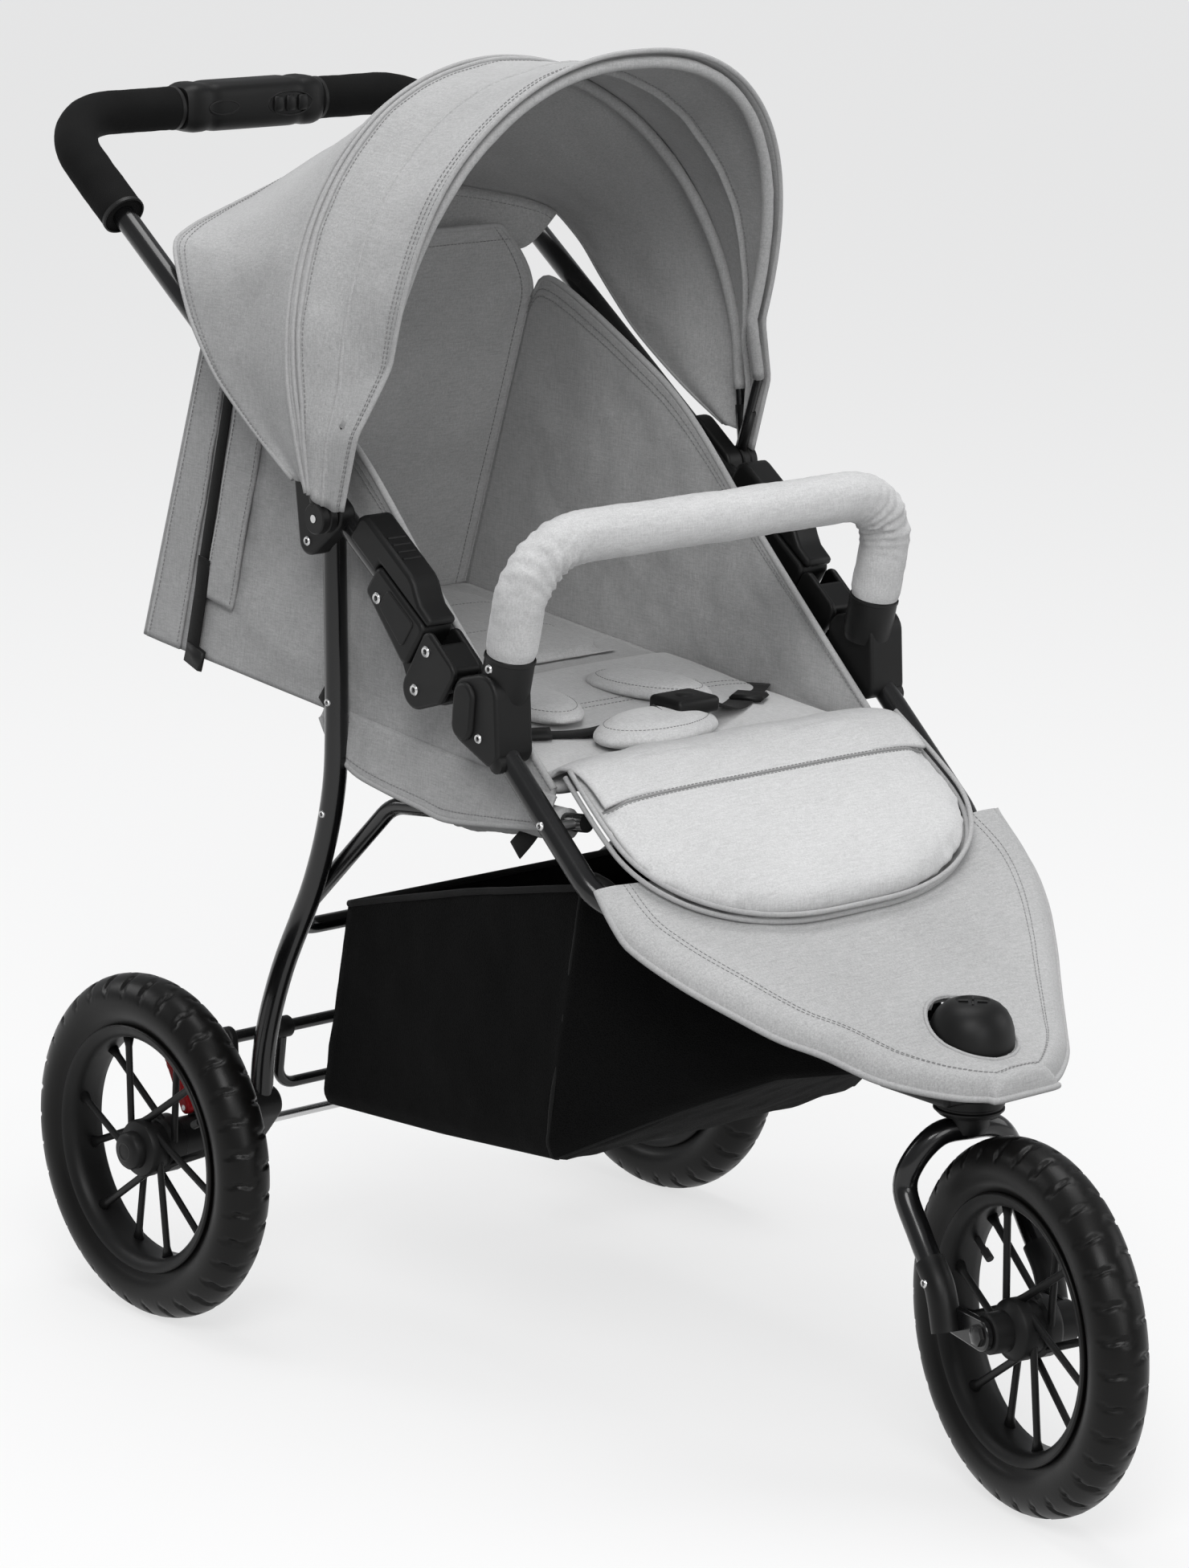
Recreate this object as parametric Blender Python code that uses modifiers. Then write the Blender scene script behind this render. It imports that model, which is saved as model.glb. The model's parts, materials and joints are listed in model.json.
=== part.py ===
"""Three-wheeled folding pushchair with a swivelling front wheel.

Lengths are in metres and +Z is up.  The pushchair faces -Y, and its own
right-hand side is -X.  Pieces are drawn with y = 0 over the rear axle and
z = 0 on the ground, and one empty then moves them so that the origin lies
under the middle of the whole length.
"""

import math

import bmesh
import bpy
from mathutils import Matrix, Vector
from mathutils.geometry import convex_hull_2d

# Frame of the model
REAR_AXLE_Y = 0.326
CLEARANCE = 0.0003
MERGE = 0.00001

# Wheels
WHEEL_RADIUS = 0.150
TYRE_SECTION_RADIUS = 0.0234
TYRE_SEAT_RADIUS = WHEEL_RADIUS - 0.0450
TYRE_BEAD_HALF_WIDTH = 0.0165
RIM_INNER_RADIUS = TYRE_SEAT_RADIUS - 0.0090
RIM_HALF_WIDTH = 0.0180
HUB_RADIUS = 0.0250
HUB_CAP_RADIUS = 0.0165
SPOKE_RADIUS = 0.0030
SPOKE_PAIRS = 6
SPOKE_SPREAD_DEG = 17.0
SPOKE_FLANGE_OFFSET = 0.0090
WHEEL_STEPS = 32
WHEEL_TRACK_HALF = 0.2897
REAR_HUB_INNER = 0.0200
REAR_HUB_OUTER = 0.0303
FRONT_HUB_HALF = 0.0390
AXLE_RADIUS = 0.0060

# Front fork and steering head
HEAD_Y = -0.691
STEER_REST_DEG = -12.84
CASTER_TRAIL = 0.0972
FORK_TUBE_RADIUS = 0.0100
FORK_HALF_WIDTH = 0.0500
FORK_CROWN_Z = WHEEL_RADIUS + 0.1350
DROPOUT_THICKNESS = 0.0060
STEERER_RADIUS = 0.0125
STEERER_TOP_Z = 0.3300
CROWN_RACE_RADIUS = 0.0200
COLLAR_RADIUS = 0.0285
COLLAR_BOTTOM_Z = 0.2973
COLLAR_TOP_Z = 0.3142
HEAD_BLOCK_TOP_Z = 0.3435
HEAD_BLOCK_HALF_WIDTH = 0.0500
HEAD_BLOCK_FRONT = 0.0310
HEAD_BLOCK_REAR = 0.0560
HEAD_SHOULDER_FRONT = 0.0160
HEAD_SHOULDER_TOP_Z = 0.3620
KNOB_RADIUS = 0.0345
KNOB_HEIGHT = 0.0465
KNOB_STEM_RADIUS = 0.0100
KNOB_STEM_DEPTH = 0.0095
KNOB_RECESS = 0.0010

# Main tubes of the frame
TUBE_RADIUS = 0.0100
TUBE_SIDES = 12
FRAME_HALF_WIDTH = 0.2080
KINK_Y = -0.2813
KINK_Z = 0.6250
UPPER_SLOPE_DEG = 34.8
LOWER_SLOPE_DEG = 40.5
LOWER_TUBE_LENGTH = 0.2547
V_FRAME_END_HALF_WIDTH = 0.0350
V_FRAME_END_Y = -0.6550
V_FRAME_END_Z = 0.3510
FOOT_BEND_RADIUS = 0.0500

# Fold hinge
HINGE_Y = -0.2690
HINGE_Z = 0.5910
HINGE_PIN_RADIUS = 0.0040
CHEEK_LOBE_RADIUS = 0.0165
CHEEK_THICKNESS = 0.0060
LEAF_RADIUS = 0.0145
CASING_HALF_WIDTH = 0.0165
CASING_HALF_DEPTH = 0.0160
SLEEVE_START = 0.0200
SLEEVE_END = 0.0950
SLEEVE_DROP = 0.0300
SEAT_BOSS_RADIUS = 0.0070
RIVET_RADIUS = 0.0045
RIVET_HEIGHT = 0.0012

# Handle
HANDLE_LENGTH = 0.6568
HANDLE_BEND_RADIUS = 0.0600
GRIP_RADIUS = 0.0190
GRIP_START = 0.5290
FOLD_HOUSING_LENGTH = 0.1500
FOLD_HOUSING_SIZE = 0.0440
FOLD_BUTTON_X = 0.0350
FOLD_BUTTON_LENGTH = 0.0400
FOLD_BUTTON_HEIGHT = 0.0160
FOLD_BUTTON_TRAVEL = 0.0050
LATCH_LENGTH = 0.1180
LATCH_HALF_WIDTH = 0.0145
LATCH_HEIGHT = 0.0200

# Canopy
CANOPY_PIVOT_Y = -0.1550
CANOPY_PIVOT_Z = 0.7150
BRACKET_INNER_X = FRAME_HALF_WIDTH - 0.0027
BRACKET_OUTER_X = FRAME_HALF_WIDTH + 0.0148
BOW_SIDE_CLEARANCE = 0.0010
BOW_HUB_THICKNESS = 0.0080
BOW_HUB_RADIUS = 0.0130
BOW_ROD_RADIUS = 0.0040
BOW_PIN_RADIUS = 0.0035
CANOPY_CLOTH = 0.0015
CANOPY_CLOTH_GAP = 0.0006
MAIN_BOW_ANGLE_DEG = 79.5
MAIN_BOW_HALF_WIDTH = FRAME_HALF_WIDTH + 0.0390
MAIN_BOW_MIDDLE = 0.1000
MAIN_BOW_RISE = 0.2620
MAIN_BOW_POWER = 2.0
FRONT_BOW_ANGLE_DEG = 107.5
FRONT_BOW_HALF_WIDTH = FRAME_HALF_WIDTH + 0.0020
FRONT_BOW_MIDDLE = 0.1400
FRONT_BOW_RISE = 0.2580
FRONT_BOW_POWER = 2.3
FRONT_BOW_SETBACK = 0.0055
FRONT_BOW_SETBACK_END = 0.87
FRONT_BOW_STRAIGHT = 0.0830
ARCH_COLUMNS = 16
CANOPY_HEM_START = 0.0220
REAR_EDGE_HALF_WIDTH = FRAME_HALF_WIDTH + 0.0020
REAR_EDGE_SIDE_Y = 0.0790
REAR_EDGE_MIDDLE_Y = 0.1480
CANOPY_SAG = 0.0080

# Rear legs, axle and brake
LEG_HALF_WIDTH = FRAME_HALF_WIDTH - 0.0130
LEG_PIVOT_Y = -0.1250
LEG_PIVOT_Z = 0.6900
LEG_PIN_RADIUS = 0.0040
AXLE_ROD_RADIUS = 0.0040
AXLE_HOUSING_RADIUS = 0.0190
AXLE_HOUSING_START_X = 0.2300
AXLE_PLATE_X = LEG_HALF_WIDTH - 0.0080
CROSSBAR_Z = 0.2310
CROSSBAR_RADIUS = 0.0055
BRAKE_HALF_WIDTH = 0.1520
BRAKE_FOOT_Z = 0.1770
BRAKE_RADIUS = 0.0050
BRAKE_SLEEVE_RADIUS = 0.0095
LEVER_X = 0.2500
LEVER_THICKNESS = 0.0080
LEVER_PIVOT_Y = 0.0040
LEVER_PIVOT_Z = 0.1760
LEVER_TIP_Y = 0.0300
LEVER_TIP_Z = 0.2220

# Seat rail
RAIL_HALF_WIDTH = FRAME_HALF_WIDTH - 0.0315
RAIL_RADIUS = 0.0075
RAIL_FRONT_Y = -0.4200
RAIL_FRONT_Z = 0.5040
RAIL_BEND_Y = -0.1830
RAIL_BEND_Z = 0.4710
RAIL_REAR_Y = -0.0360
RAIL_REAR_Z = 0.3300
RAIL_LINK_Y = -0.0900
RAIL_LINK_Z = 0.3810

# Seat tub
TUB_HALF_WIDTH = FRAME_HALF_WIDTH - TUBE_RADIUS - 0.0160
TUB_WALL = 0.0040
TUB_FRONT_Y = -0.3920
TUB_FRONT_Z = 0.5165
TUB_REAR_Y = 0.1600
TUB_FLOOR_SLOPE = 0.0725
TUB_BACK_TOP_Y = 0.0500
TUB_BACK_TOP_Z = 0.9050
TUB_BACK_TOP_HALF_WIDTH = TUB_HALF_WIDTH - 0.0570
TUB_BACK_SHOULDER_Z = 0.8350
SEAT_PAD = 0.0100
SEAT_CROWN = 0.0060
SEAT_CREASE_Y = -0.1220
HARNESS_SINK = 0.0008
FLOOR_THICKNESS = 0.0050
BACKREST_HALF_WIDTH = TUB_HALF_WIDTH - 0.0320
BACKREST_FRONT_Y = -0.1000
BACKREST_LENGTH = 0.2450
BACKREST_THICKNESS = 0.0110
CALF_PAD_SLOPE_DEG = 35.2
CALF_PAD_LENGTH = 0.1880
CALF_PAD_HALF_WIDTH = TUB_HALF_WIDTH + 0.0030
CALF_PAD_THICKNESS = 0.0160

# Bumper bar
BUMPER_HALF_WIDTH = FRAME_HALF_WIDTH - 0.0080
BUMPER_LEG_Y = -0.3525
BUMPER_LEG_Z = 0.6000
BUMPER_BAR_Y = -0.3800
BUMPER_BAR_Z = 0.7260
BUMPER_ROD_RADIUS = 0.0080
BUMPER_PAD_RADIUS = 0.0215
BUMPER_BEND_RADIUS = 0.0550
SOCKET_RADIUS = 0.0205
SOCKET_TOP = 0.0330
SOCKET_INNER_X = FRAME_HALF_WIDTH - 0.0215
SOCKET_OUTER_X = FRAME_HALF_WIDTH + 0.0165
BUMPER_BUTTON_RADIUS = 0.0125
BUMPER_BUTTON_PROUD = 0.0040
BUMPER_BUTTON_DEPTH = 0.0030
BUMPER_BUTTON_TRAVEL = 0.0030

# Foot panel
FOOT_PANEL_THICKNESS = 0.0080
FOOT_PANEL_LIFT = 0.0275
FOOT_PANEL_HEM = 0.0180
FOOT_PANEL_HEM_DROP = 0.0220

# Basket
BASKET_WALL = 0.0020
BASKET_HALF_WIDTH = FRAME_HALF_WIDTH - 0.0330
BASKET_TAB_Y = -0.4565
BASKET_TAB_Z = 0.4755
BASKET_STRAP_Y = -0.1520
BASKET_STRAP_FOOT_Z = 0.3550

# Derived places that several pieces share
UPPER = Vector((0.0, math.cos(math.radians(UPPER_SLOPE_DEG)), math.sin(math.radians(UPPER_SLOPE_DEG))))
UPPER_NORMAL = Vector((0.0, -UPPER.z, UPPER.y))
LOWER = Vector((0.0, -math.cos(math.radians(LOWER_SLOPE_DEG)), -math.sin(math.radians(LOWER_SLOPE_DEG))))
LOWER_NORMAL = Vector((0.0, LOWER.z, -LOWER.y))
KINK = Vector((0.0, KINK_Y, KINK_Z))
HINGE = Vector((0.0, HINGE_Y, HINGE_Z))
FOOT_CORNER = KINK + LOWER * LOWER_TUBE_LENGTH
HANDLE_CORNER = KINK + UPPER * HANDLE_LENGTH
CANOPY_PIVOT = Vector((0.0, CANOPY_PIVOT_Y, CANOPY_PIVOT_Z))
LEG_PIVOT = Vector((0.0, LEG_PIVOT_Y, LEG_PIVOT_Z))
AXLE = Vector((0.0, 0.0, WHEEL_RADIUS))
CROSSBAR = Vector((0.0, 0.0, CROSSBAR_Z))
LEVER_PIVOT = Vector((0.0, LEVER_PIVOT_Y, LEVER_PIVOT_Z))
RAIL_FRONT = Vector((0.0, RAIL_FRONT_Y, RAIL_FRONT_Z))
RAIL_BEND = Vector((0.0, RAIL_BEND_Y, RAIL_BEND_Z))
RAIL_REAR = Vector((0.0, RAIL_REAR_Y, RAIL_REAR_Z))
RAIL_LINK = Vector((0.0, RAIL_LINK_Y, RAIL_LINK_Z))
BUMPER_LEG = Vector((0.0, BUMPER_LEG_Y, BUMPER_LEG_Z))
BUMPER_CORNER = Vector((0.0, BUMPER_BAR_Y, BUMPER_BAR_Z))
BUMPER_UP = (BUMPER_CORNER - BUMPER_LEG).normalized()
TUBE_HEIGHT_ABOVE_HINGE = (KINK - HINGE).dot(UPPER_NORMAL)
FRONT_HUB_X = BRACKET_OUTER_X + BOW_SIDE_CLEARANCE + BOW_HUB_THICKNESS / 2
MAIN_HUB_X = FRONT_HUB_X + BOW_HUB_THICKNESS + CLEARANCE
AXLE_HOUSING_END_X = WHEEL_TRACK_HALF - REAR_HUB_INNER - CLEARANCE
BACKREST_PIVOT = Vector((0.0, BACKREST_FRONT_Y, TUB_FRONT_Z + TUB_FLOOR_SLOPE
                         * (BACKREST_FRONT_Y - TUB_FRONT_Y) + FLOOR_THICKNESS + CLEARANCE))
SIDES = (("right", -1), ("left", 1))

# Colour, roughness and metallic value of each finish
FINISHES = {
    "black_paint": ((0.012, 0.012, 0.013, 1.0), 0.28, 0.0),
    "black_plastic": ((0.018, 0.018, 0.018, 1.0), 0.45, 0.0),
    "grip_foam": ((0.010, 0.010, 0.010, 1.0), 0.85, 0.0),
    "tyre_rubber": ((0.020, 0.019, 0.018, 1.0), 0.60, 0.0),
    "steel": ((0.60, 0.60, 0.60, 1.0), 0.30, 1.0),
    "grey_cloth": ((0.36, 0.36, 0.36, 1.0), 0.90, 0.0),
    "pale_cloth": ((0.52, 0.52, 0.52, 1.0), 0.90, 0.0),
    "black_mesh": ((0.008, 0.008, 0.008, 1.0), 0.95, 0.0),
    "red_plastic": ((0.50, 0.010, 0.015, 1.0), 0.40, 0.0),
}


def clear_scene():
    """Remove every object that the file already holds."""
    for item in list(bpy.data.objects):
        bpy.data.objects.remove(item, do_unlink=True)


def new_collection(name):
    """Return an empty collection linked to the scene."""
    collection = bpy.data.collections.new(name)
    bpy.context.scene.collection.children.link(collection)
    return collection


def make_materials():
    """Return one Principled material for each finish."""
    materials = {}
    for name, (colour, roughness, metallic) in FINISHES.items():
        material = bpy.data.materials.new(name)
        material.use_nodes = True
        shader = material.node_tree.nodes["Principled BSDF"]
        shader.inputs["Base Color"].default_value = colour
        shader.inputs["Roughness"].default_value = roughness
        shader.inputs["Metallic"].default_value = metallic
        materials[name] = material
    return materials


def new_body(name, pivot, parent=None, parent_pivot=Vector(), turn=0.0):
    """Return an empty on a joint's axis, which carries one moving body."""
    empty = bpy.data.objects.new(name, None)
    empty.empty_display_size = 0.03
    PARTS.objects.link(empty)
    empty.parent = parent
    empty.location = pivot - parent_pivot
    empty.rotation_euler.z = turn
    return empty


def add_object(name, data, body, offset, finish=None):
    """Link one object under its body, and give it its finish."""
    item = bpy.data.objects.new(name, data)
    item.parent = body
    item.location = offset
    if finish is None:
        CUTTERS.objects.link(item)
        item.hide_render = True
        item.display_type = "WIRE"
    else:
        PARTS.objects.link(item)
        item.data.materials.append(MATERIALS[finish])
    return item


def clear_radius(radius, sides=TUBE_SIDES):
    """Radius of a faceted hole whose flats stay clear of a round piece."""
    return (radius + CLEARANCE) / math.cos(math.pi / sides)


def fillet_path(corners, radii, step_deg=15.0):
    """Round the corners of a path with arcs of the given radii."""
    points = [Vector(corners[0])]
    for before, corner, after, radius in zip(corners, corners[1:], corners[2:], radii):
        inward = (Vector(before) - Vector(corner)).normalized()
        outward = (Vector(after) - Vector(corner)).normalized()
        half = inward.angle(outward) / 2
        if radius <= 0 or abs(half - math.pi / 2) < 0.01:
            points.append(Vector(corner))
            continue
        bisector = (inward + outward).normalized()
        centre = Vector(corner) + bisector * (radius / math.sin(half))
        start = Vector(corner) + inward * (radius / math.tan(half)) - centre
        end = Vector(corner) + outward * (radius / math.tan(half)) - centre
        turn = start.angle(end)
        steps = max(2, math.ceil(math.degrees(turn) / step_deg))
        axis = start.cross(end)
        for index in range(steps + 1):
            points.append(centre + Matrix.Rotation(turn * index / steps, 3, axis) @ start)
    points.append(Vector(corners[-1]))
    return points


def smooth_path(points, steps=2):
    """Return a smooth curve through the points, as short straight runs."""
    knots = [Vector(point) for point in points]
    knots = [2 * knots[0] - knots[1]] + knots + [2 * knots[-1] - knots[-2]]
    result = [knots[1]]
    for a, b, c, d in zip(knots, knots[1:], knots[2:], knots[3:]):
        for index in range(1, steps + 1):
            t = index / steps
            result.append(0.5 * ((2 * b) + (c - a) * t + (2 * a - 5 * b + 4 * c - d) * t * t
                                 + (3 * b - a - 3 * c + d) * t ** 3))
    return result


def tube(name, points, radius, body, offset, finish=None, sides=TUBE_SIDES):
    """Sweep a round tube along the points, and keep it as a mesh."""
    curve = bpy.data.curves.new(name + "_path", "CURVE")
    curve.dimensions = "3D"
    curve.bevel_depth = radius
    curve.bevel_resolution = sides // 2 - 2
    curve.use_fill_caps = True
    spline = curve.splines.new("POLY")
    spline.points.add(len(points) - 1)
    for point, place in zip(spline.points, points):
        point.co = (*place, 1.0)
    guide = bpy.data.objects.new(name + "_path", curve)
    bpy.context.scene.collection.objects.link(guide)
    evaluated = guide.evaluated_get(bpy.context.evaluated_depsgraph_get())
    mesh = bpy.data.meshes.new_from_object(evaluated)
    mesh.name = name
    bm = bmesh.new()
    bm.from_mesh(mesh)
    bmesh.ops.remove_doubles(bm, verts=bm.verts, dist=MERGE)
    face_outwards(bm)
    bm.to_mesh(mesh)
    bm.free()
    bpy.data.objects.remove(guide, do_unlink=True)
    mesh.shade_smooth()
    mesh.set_sharp_from_angle(angle=math.radians(40))
    return add_object(name, mesh, body, offset, finish)


def face_outwards(bm):
    """Turn every face of a closed mesh outwards."""
    bmesh.ops.recalc_face_normals(bm, faces=bm.faces)
    if bm.calc_volume(signed=True) < 0:
        bmesh.ops.reverse_faces(bm, faces=bm.faces)


def rod(name, start, end, radius, body, offset, finish=None, sides=TUBE_SIDES):
    """Straight round bar between two points."""
    start, end = Vector(start), Vector(end)
    bm = bmesh.new()
    bmesh.ops.create_cone(bm, cap_ends=True, segments=sides, radius1=radius, radius2=radius,
                          depth=(end - start).length)
    turn = (end - start).to_track_quat("Z", "Y").to_matrix().to_4x4()
    bmesh.ops.transform(bm, matrix=Matrix.Translation((start + end) / 2) @ turn, verts=bm.verts)
    mesh = bpy.data.meshes.new(name)
    bm.to_mesh(mesh)
    bm.free()
    mesh.shade_smooth()
    mesh.set_sharp_from_angle(angle=math.radians(40))
    return add_object(name, mesh, body, offset, finish)


def box(name, low, high, body, offset, finish=None, bevel=0.0):
    """Box between two corners, with rounded edges if a bevel is given."""
    low, high = Vector(low), Vector(high)
    bm = bmesh.new()
    bmesh.ops.create_cube(bm, size=1.0)
    bmesh.ops.scale(bm, vec=high - low, verts=bm.verts)
    bmesh.ops.translate(bm, vec=(low + high) / 2, verts=bm.verts)
    mesh = bpy.data.meshes.new(name)
    bm.to_mesh(mesh)
    bm.free()
    item = add_object(name, mesh, body, offset, finish)
    if bevel:
        add_bevel(item, bevel)
    return item


def add_bevel(item, width, segments=2):
    """Round the edges of an object."""
    bevel = item.modifiers.new("rounded_edges", "BEVEL")
    bevel.width = width
    bevel.segments = segments
    bevel.limit_method = "ANGLE"
    bevel.angle_limit = math.radians(40)
    return bevel


def turned(name, profile, body, offset, finish=None, steps=WHEEL_STEPS, closed=False):
    """Turn a profile of (radius, height) points about the local Z axis."""
    mesh = bpy.data.meshes.new(name)
    points = [(radius, 0.0, height) for radius, height in profile]
    edges = [(index, index + 1) for index in range(len(points) - 1)]
    if closed:
        edges.append((len(points) - 1, 0))
    mesh.from_pydata(points, edges, [])
    item = add_object(name, mesh, body, offset, finish)
    screw = item.modifiers.new("turned", "SCREW")
    screw.angle = math.tau
    screw.steps = steps
    screw.render_steps = steps
    screw.use_merge_vertices = True
    screw.merge_threshold = MERGE
    return item


def hull_outline(discs, corner_steps=10):
    """Outline of the convex hull round discs given as (y, z, radius)."""
    rim = []
    for y, z, radius in discs:
        for index in range(corner_steps):
            angle = math.tau * index / corner_steps
            rim.append(Vector((y + radius * math.cos(angle), z + radius * math.sin(angle))))
    return [rim[index] for index in convex_hull_2d(rim)]


def plate(name, outline, x_low, x_high, body, offset, finish=None):
    """Flat piece with an outline in the YZ plane, from x_low to x_high."""
    curve = bpy.data.curves.new(name + "_outline", "CURVE")
    curve.dimensions = "2D"
    curve.fill_mode = "BOTH"
    curve.extrude = (x_high - x_low) / 2
    spline = curve.splines.new("POLY")
    spline.points.add(len(outline) - 1)
    spline.use_cyclic_u = True
    for point, place in zip(spline.points, outline):
        point.co = (place[0], place[1], 0.0, 1.0)
    guide = bpy.data.objects.new(name + "_outline", curve)
    bpy.context.scene.collection.objects.link(guide)
    evaluated = guide.evaluated_get(bpy.context.evaluated_depsgraph_get())
    mesh = bpy.data.meshes.new_from_object(evaluated)
    mesh.name = name
    upright = Matrix(((0, 0, 1, (x_low + x_high) / 2), (1, 0, 0, 0), (0, 1, 0, 0), (0, 0, 0, 1)))
    bm = bmesh.new()
    bm.from_mesh(mesh)
    bmesh.ops.remove_doubles(bm, verts=bm.verts, dist=MERGE)
    bmesh.ops.transform(bm, matrix=upright, verts=bm.verts)
    face_outwards(bm)
    bm.to_mesh(mesh)
    bm.free()
    bpy.data.objects.remove(guide, do_unlink=True)
    return add_object(name, mesh, body, offset, finish)


def side_plate(name, discs, x_low, x_high, side, body, offset, finish=None):
    """Hull plate on the left (side +1) or mirrored to the right (side -1)."""
    low, high = sorted((x_low * side, x_high * side))
    return plate(name, hull_outline(discs), low, high, body, offset, finish)


def combine(item, other, operation):
    """Join another object to this one, or cut it away."""
    modifier = item.modifiers.new(other.name, "BOOLEAN")
    modifier.operation = operation
    modifier.solver = "EXACT"
    modifier.object = other
    return item


def joined(item, *others):
    """Union of the object with the others."""
    for other in others:
        combine(item, other, "UNION")
    return item


def cut(item, *others):
    """The object less the others."""
    for other in others:
        combine(item, other, "DIFFERENCE")
    return item


def sheet(name, columns, rows, surface, thickness, body, offset, finish):
    """Open surface(u, v), with u and v from -1 to 1, made solid."""
    bm = bmesh.new()
    bmesh.ops.create_grid(bm, x_segments=columns, y_segments=rows, size=1.0)
    for vert in bm.verts:
        vert.co = surface(vert.co.x, vert.co.y)
    mesh = bpy.data.meshes.new(name)
    bm.to_mesh(mesh)
    bm.free()
    mesh.shade_smooth()
    item = add_object(name, mesh, body, offset, finish)
    solid = item.modifiers.new("cloth_thickness", "SOLIDIFY")
    solid.thickness = thickness
    solid.offset = -1.0
    solid.use_even_offset = True
    return item


def cushion(name, columns, rows, upper, lower, body, offset, finish, levels=1):
    """Closed pad between upper(u, v) and lower(u, v), softly rounded."""
    bm = bmesh.new()
    bmesh.ops.create_grid(bm, x_segments=columns, y_segments=rows, size=1.0)
    places = {vert: (vert.co.x, vert.co.y) for vert in bm.verts}
    base = list(bm.verts)
    lifted = bmesh.ops.extrude_face_region(bm, geom=list(bm.faces))
    for vert in [part for part in lifted["geom"] if isinstance(part, bmesh.types.BMVert)]:
        u, v = vert.co.x, vert.co.y
        vert.co = upper(u, v)
    for vert in base:
        vert.co = lower(*places[vert])
    face_outwards(bm)
    mesh = bpy.data.meshes.new(name)
    bm.to_mesh(mesh)
    bm.free()
    mesh.shade_smooth()
    item = add_object(name, mesh, body, offset, finish)
    if levels:
        soft = item.modifiers.new("soft", "SUBSURF")
        soft.levels = levels
        soft.render_levels = levels
    return item


def at(side, x, point):
    """The YZ point on one side, x away from the middle plane."""
    return Vector((side * x, point.y, point.z))


def hinge_point(along, above):
    """(y, z) at a distance along the upper tube's direction and above the hinge."""
    place = HINGE + UPPER * along + UPPER_NORMAL * above
    return place.y, place.z


def floor_z(y):
    """Height of the underside of the seat floor."""
    return TUB_FRONT_Z + TUB_FLOOR_SLOPE * (y - TUB_FRONT_Y)


def superellipse(t, half_width, middle, rise, power, foot_x, foot_s, straight_s):
    """Arch outline (x, s): t = 0 at the crown, -1 and 1 at its feet, which stand straight up to straight_s."""
    bend = 0.75
    if abs(t) <= bend:
        angle = abs(t) / bend * math.pi / 2
        x = half_width * math.sin(angle) ** (2 / power)
        s = middle + rise * max(0.0, math.cos(angle)) ** (2 / power)
    else:
        share = (abs(t) - bend) / (1 - bend)
        s = middle + (foot_s - middle) * share
        x = half_width + (foot_x - half_width) * min(1.0, (middle - s) / (middle - straight_s))
    return math.copysign(x, t), s


def arch(kind, t, inset=0.0):
    """Point of a canopy arch in its own plane, moved inwards by the inset."""
    if kind == "main":
        shape = (MAIN_BOW_HALF_WIDTH, MAIN_BOW_MIDDLE, MAIN_BOW_RISE, MAIN_BOW_POWER,
                 MAIN_HUB_X + BOW_ROD_RADIUS + CANOPY_CLOTH + CANOPY_CLOTH_GAP, CANOPY_HEM_START,
                 CANOPY_HEM_START)
    else:
        shape = (FRONT_BOW_HALF_WIDTH, FRONT_BOW_MIDDLE, FRONT_BOW_RISE, FRONT_BOW_POWER,
                 FRONT_HUB_X + BOW_ROD_RADIUS + CANOPY_CLOTH + CANOPY_CLOTH_GAP, CANOPY_HEM_START,
                 FRONT_BOW_STRAIGHT)
    x, s = superellipse(t, *shape)
    x0, s0 = superellipse(max(-1.0, t - 0.01), *shape)
    x1, s1 = superellipse(min(1.0, t + 0.01), *shape)
    along = Vector((x1 - x0, s1 - s0)).normalized()
    return x + along.y * inset, s - along.x * inset


def arch_point(kind, t, inset=0.0, forward=0.0):
    """Point of a canopy arch in space; forward is square to its plane."""
    angle = math.radians(MAIN_BOW_ANGLE_DEG if kind == "main" else FRONT_BOW_ANGLE_DEG)
    x, s = arch(kind, t, inset)
    up = Vector((0.0, math.cos(angle), math.sin(angle)))
    ahead = Vector((0.0, -math.sin(angle), math.cos(angle)))
    return CANOPY_PIVOT + up * s + ahead * forward + Vector((x, 0.0, 0.0))


def rear_edge_point(t):
    """Rear hem of the canopy, from the middle (t = 0) to its feet (t = 1)."""
    tube_slope = math.tan(math.radians(UPPER_SLOPE_DEG))
    side_z = KINK_Z + (REAR_EDGE_SIDE_Y - KINK_Y) * tube_slope
    top = Vector((REAR_EDGE_HALF_WIDTH, REAR_EDGE_SIDE_Y, side_z + 0.0380))
    middle = Vector((0.0, REAR_EDGE_MIDDLE_Y, top.z + 0.0460))
    outer = MAIN_HUB_X
    keys = (
        (0.00, middle),
        (0.45, middle.lerp(top, 0.85) + Vector((0.0, 0.0, 0.004))),
        (0.55, top),
        (0.64, Vector((outer - 0.010, REAR_EDGE_SIDE_Y, side_z + 0.004))),
        (0.75, Vector((outer - 0.007, 0.050, side_z - 0.050))),
        (0.86, Vector((outer - 0.005, -0.020, side_z - 0.100))),
        (0.94, Vector((outer - 0.003, -0.085, side_z - 0.128))),
        (1.00, Vector((outer, -0.128, side_z - 0.140))),
    )
    share = abs(t)
    for (t0, p0), (t1, p1) in zip(keys, keys[1:]):
        if share <= t1 + 1e-9:
            place = p0.lerp(p1, (share - t0) / (t1 - t0))
            return Vector((math.copysign(place.x, t), place.y, place.z))
    return Vector((math.copysign(keys[-1][1].x, t), keys[-1][1].y, keys[-1][1].z))


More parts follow.
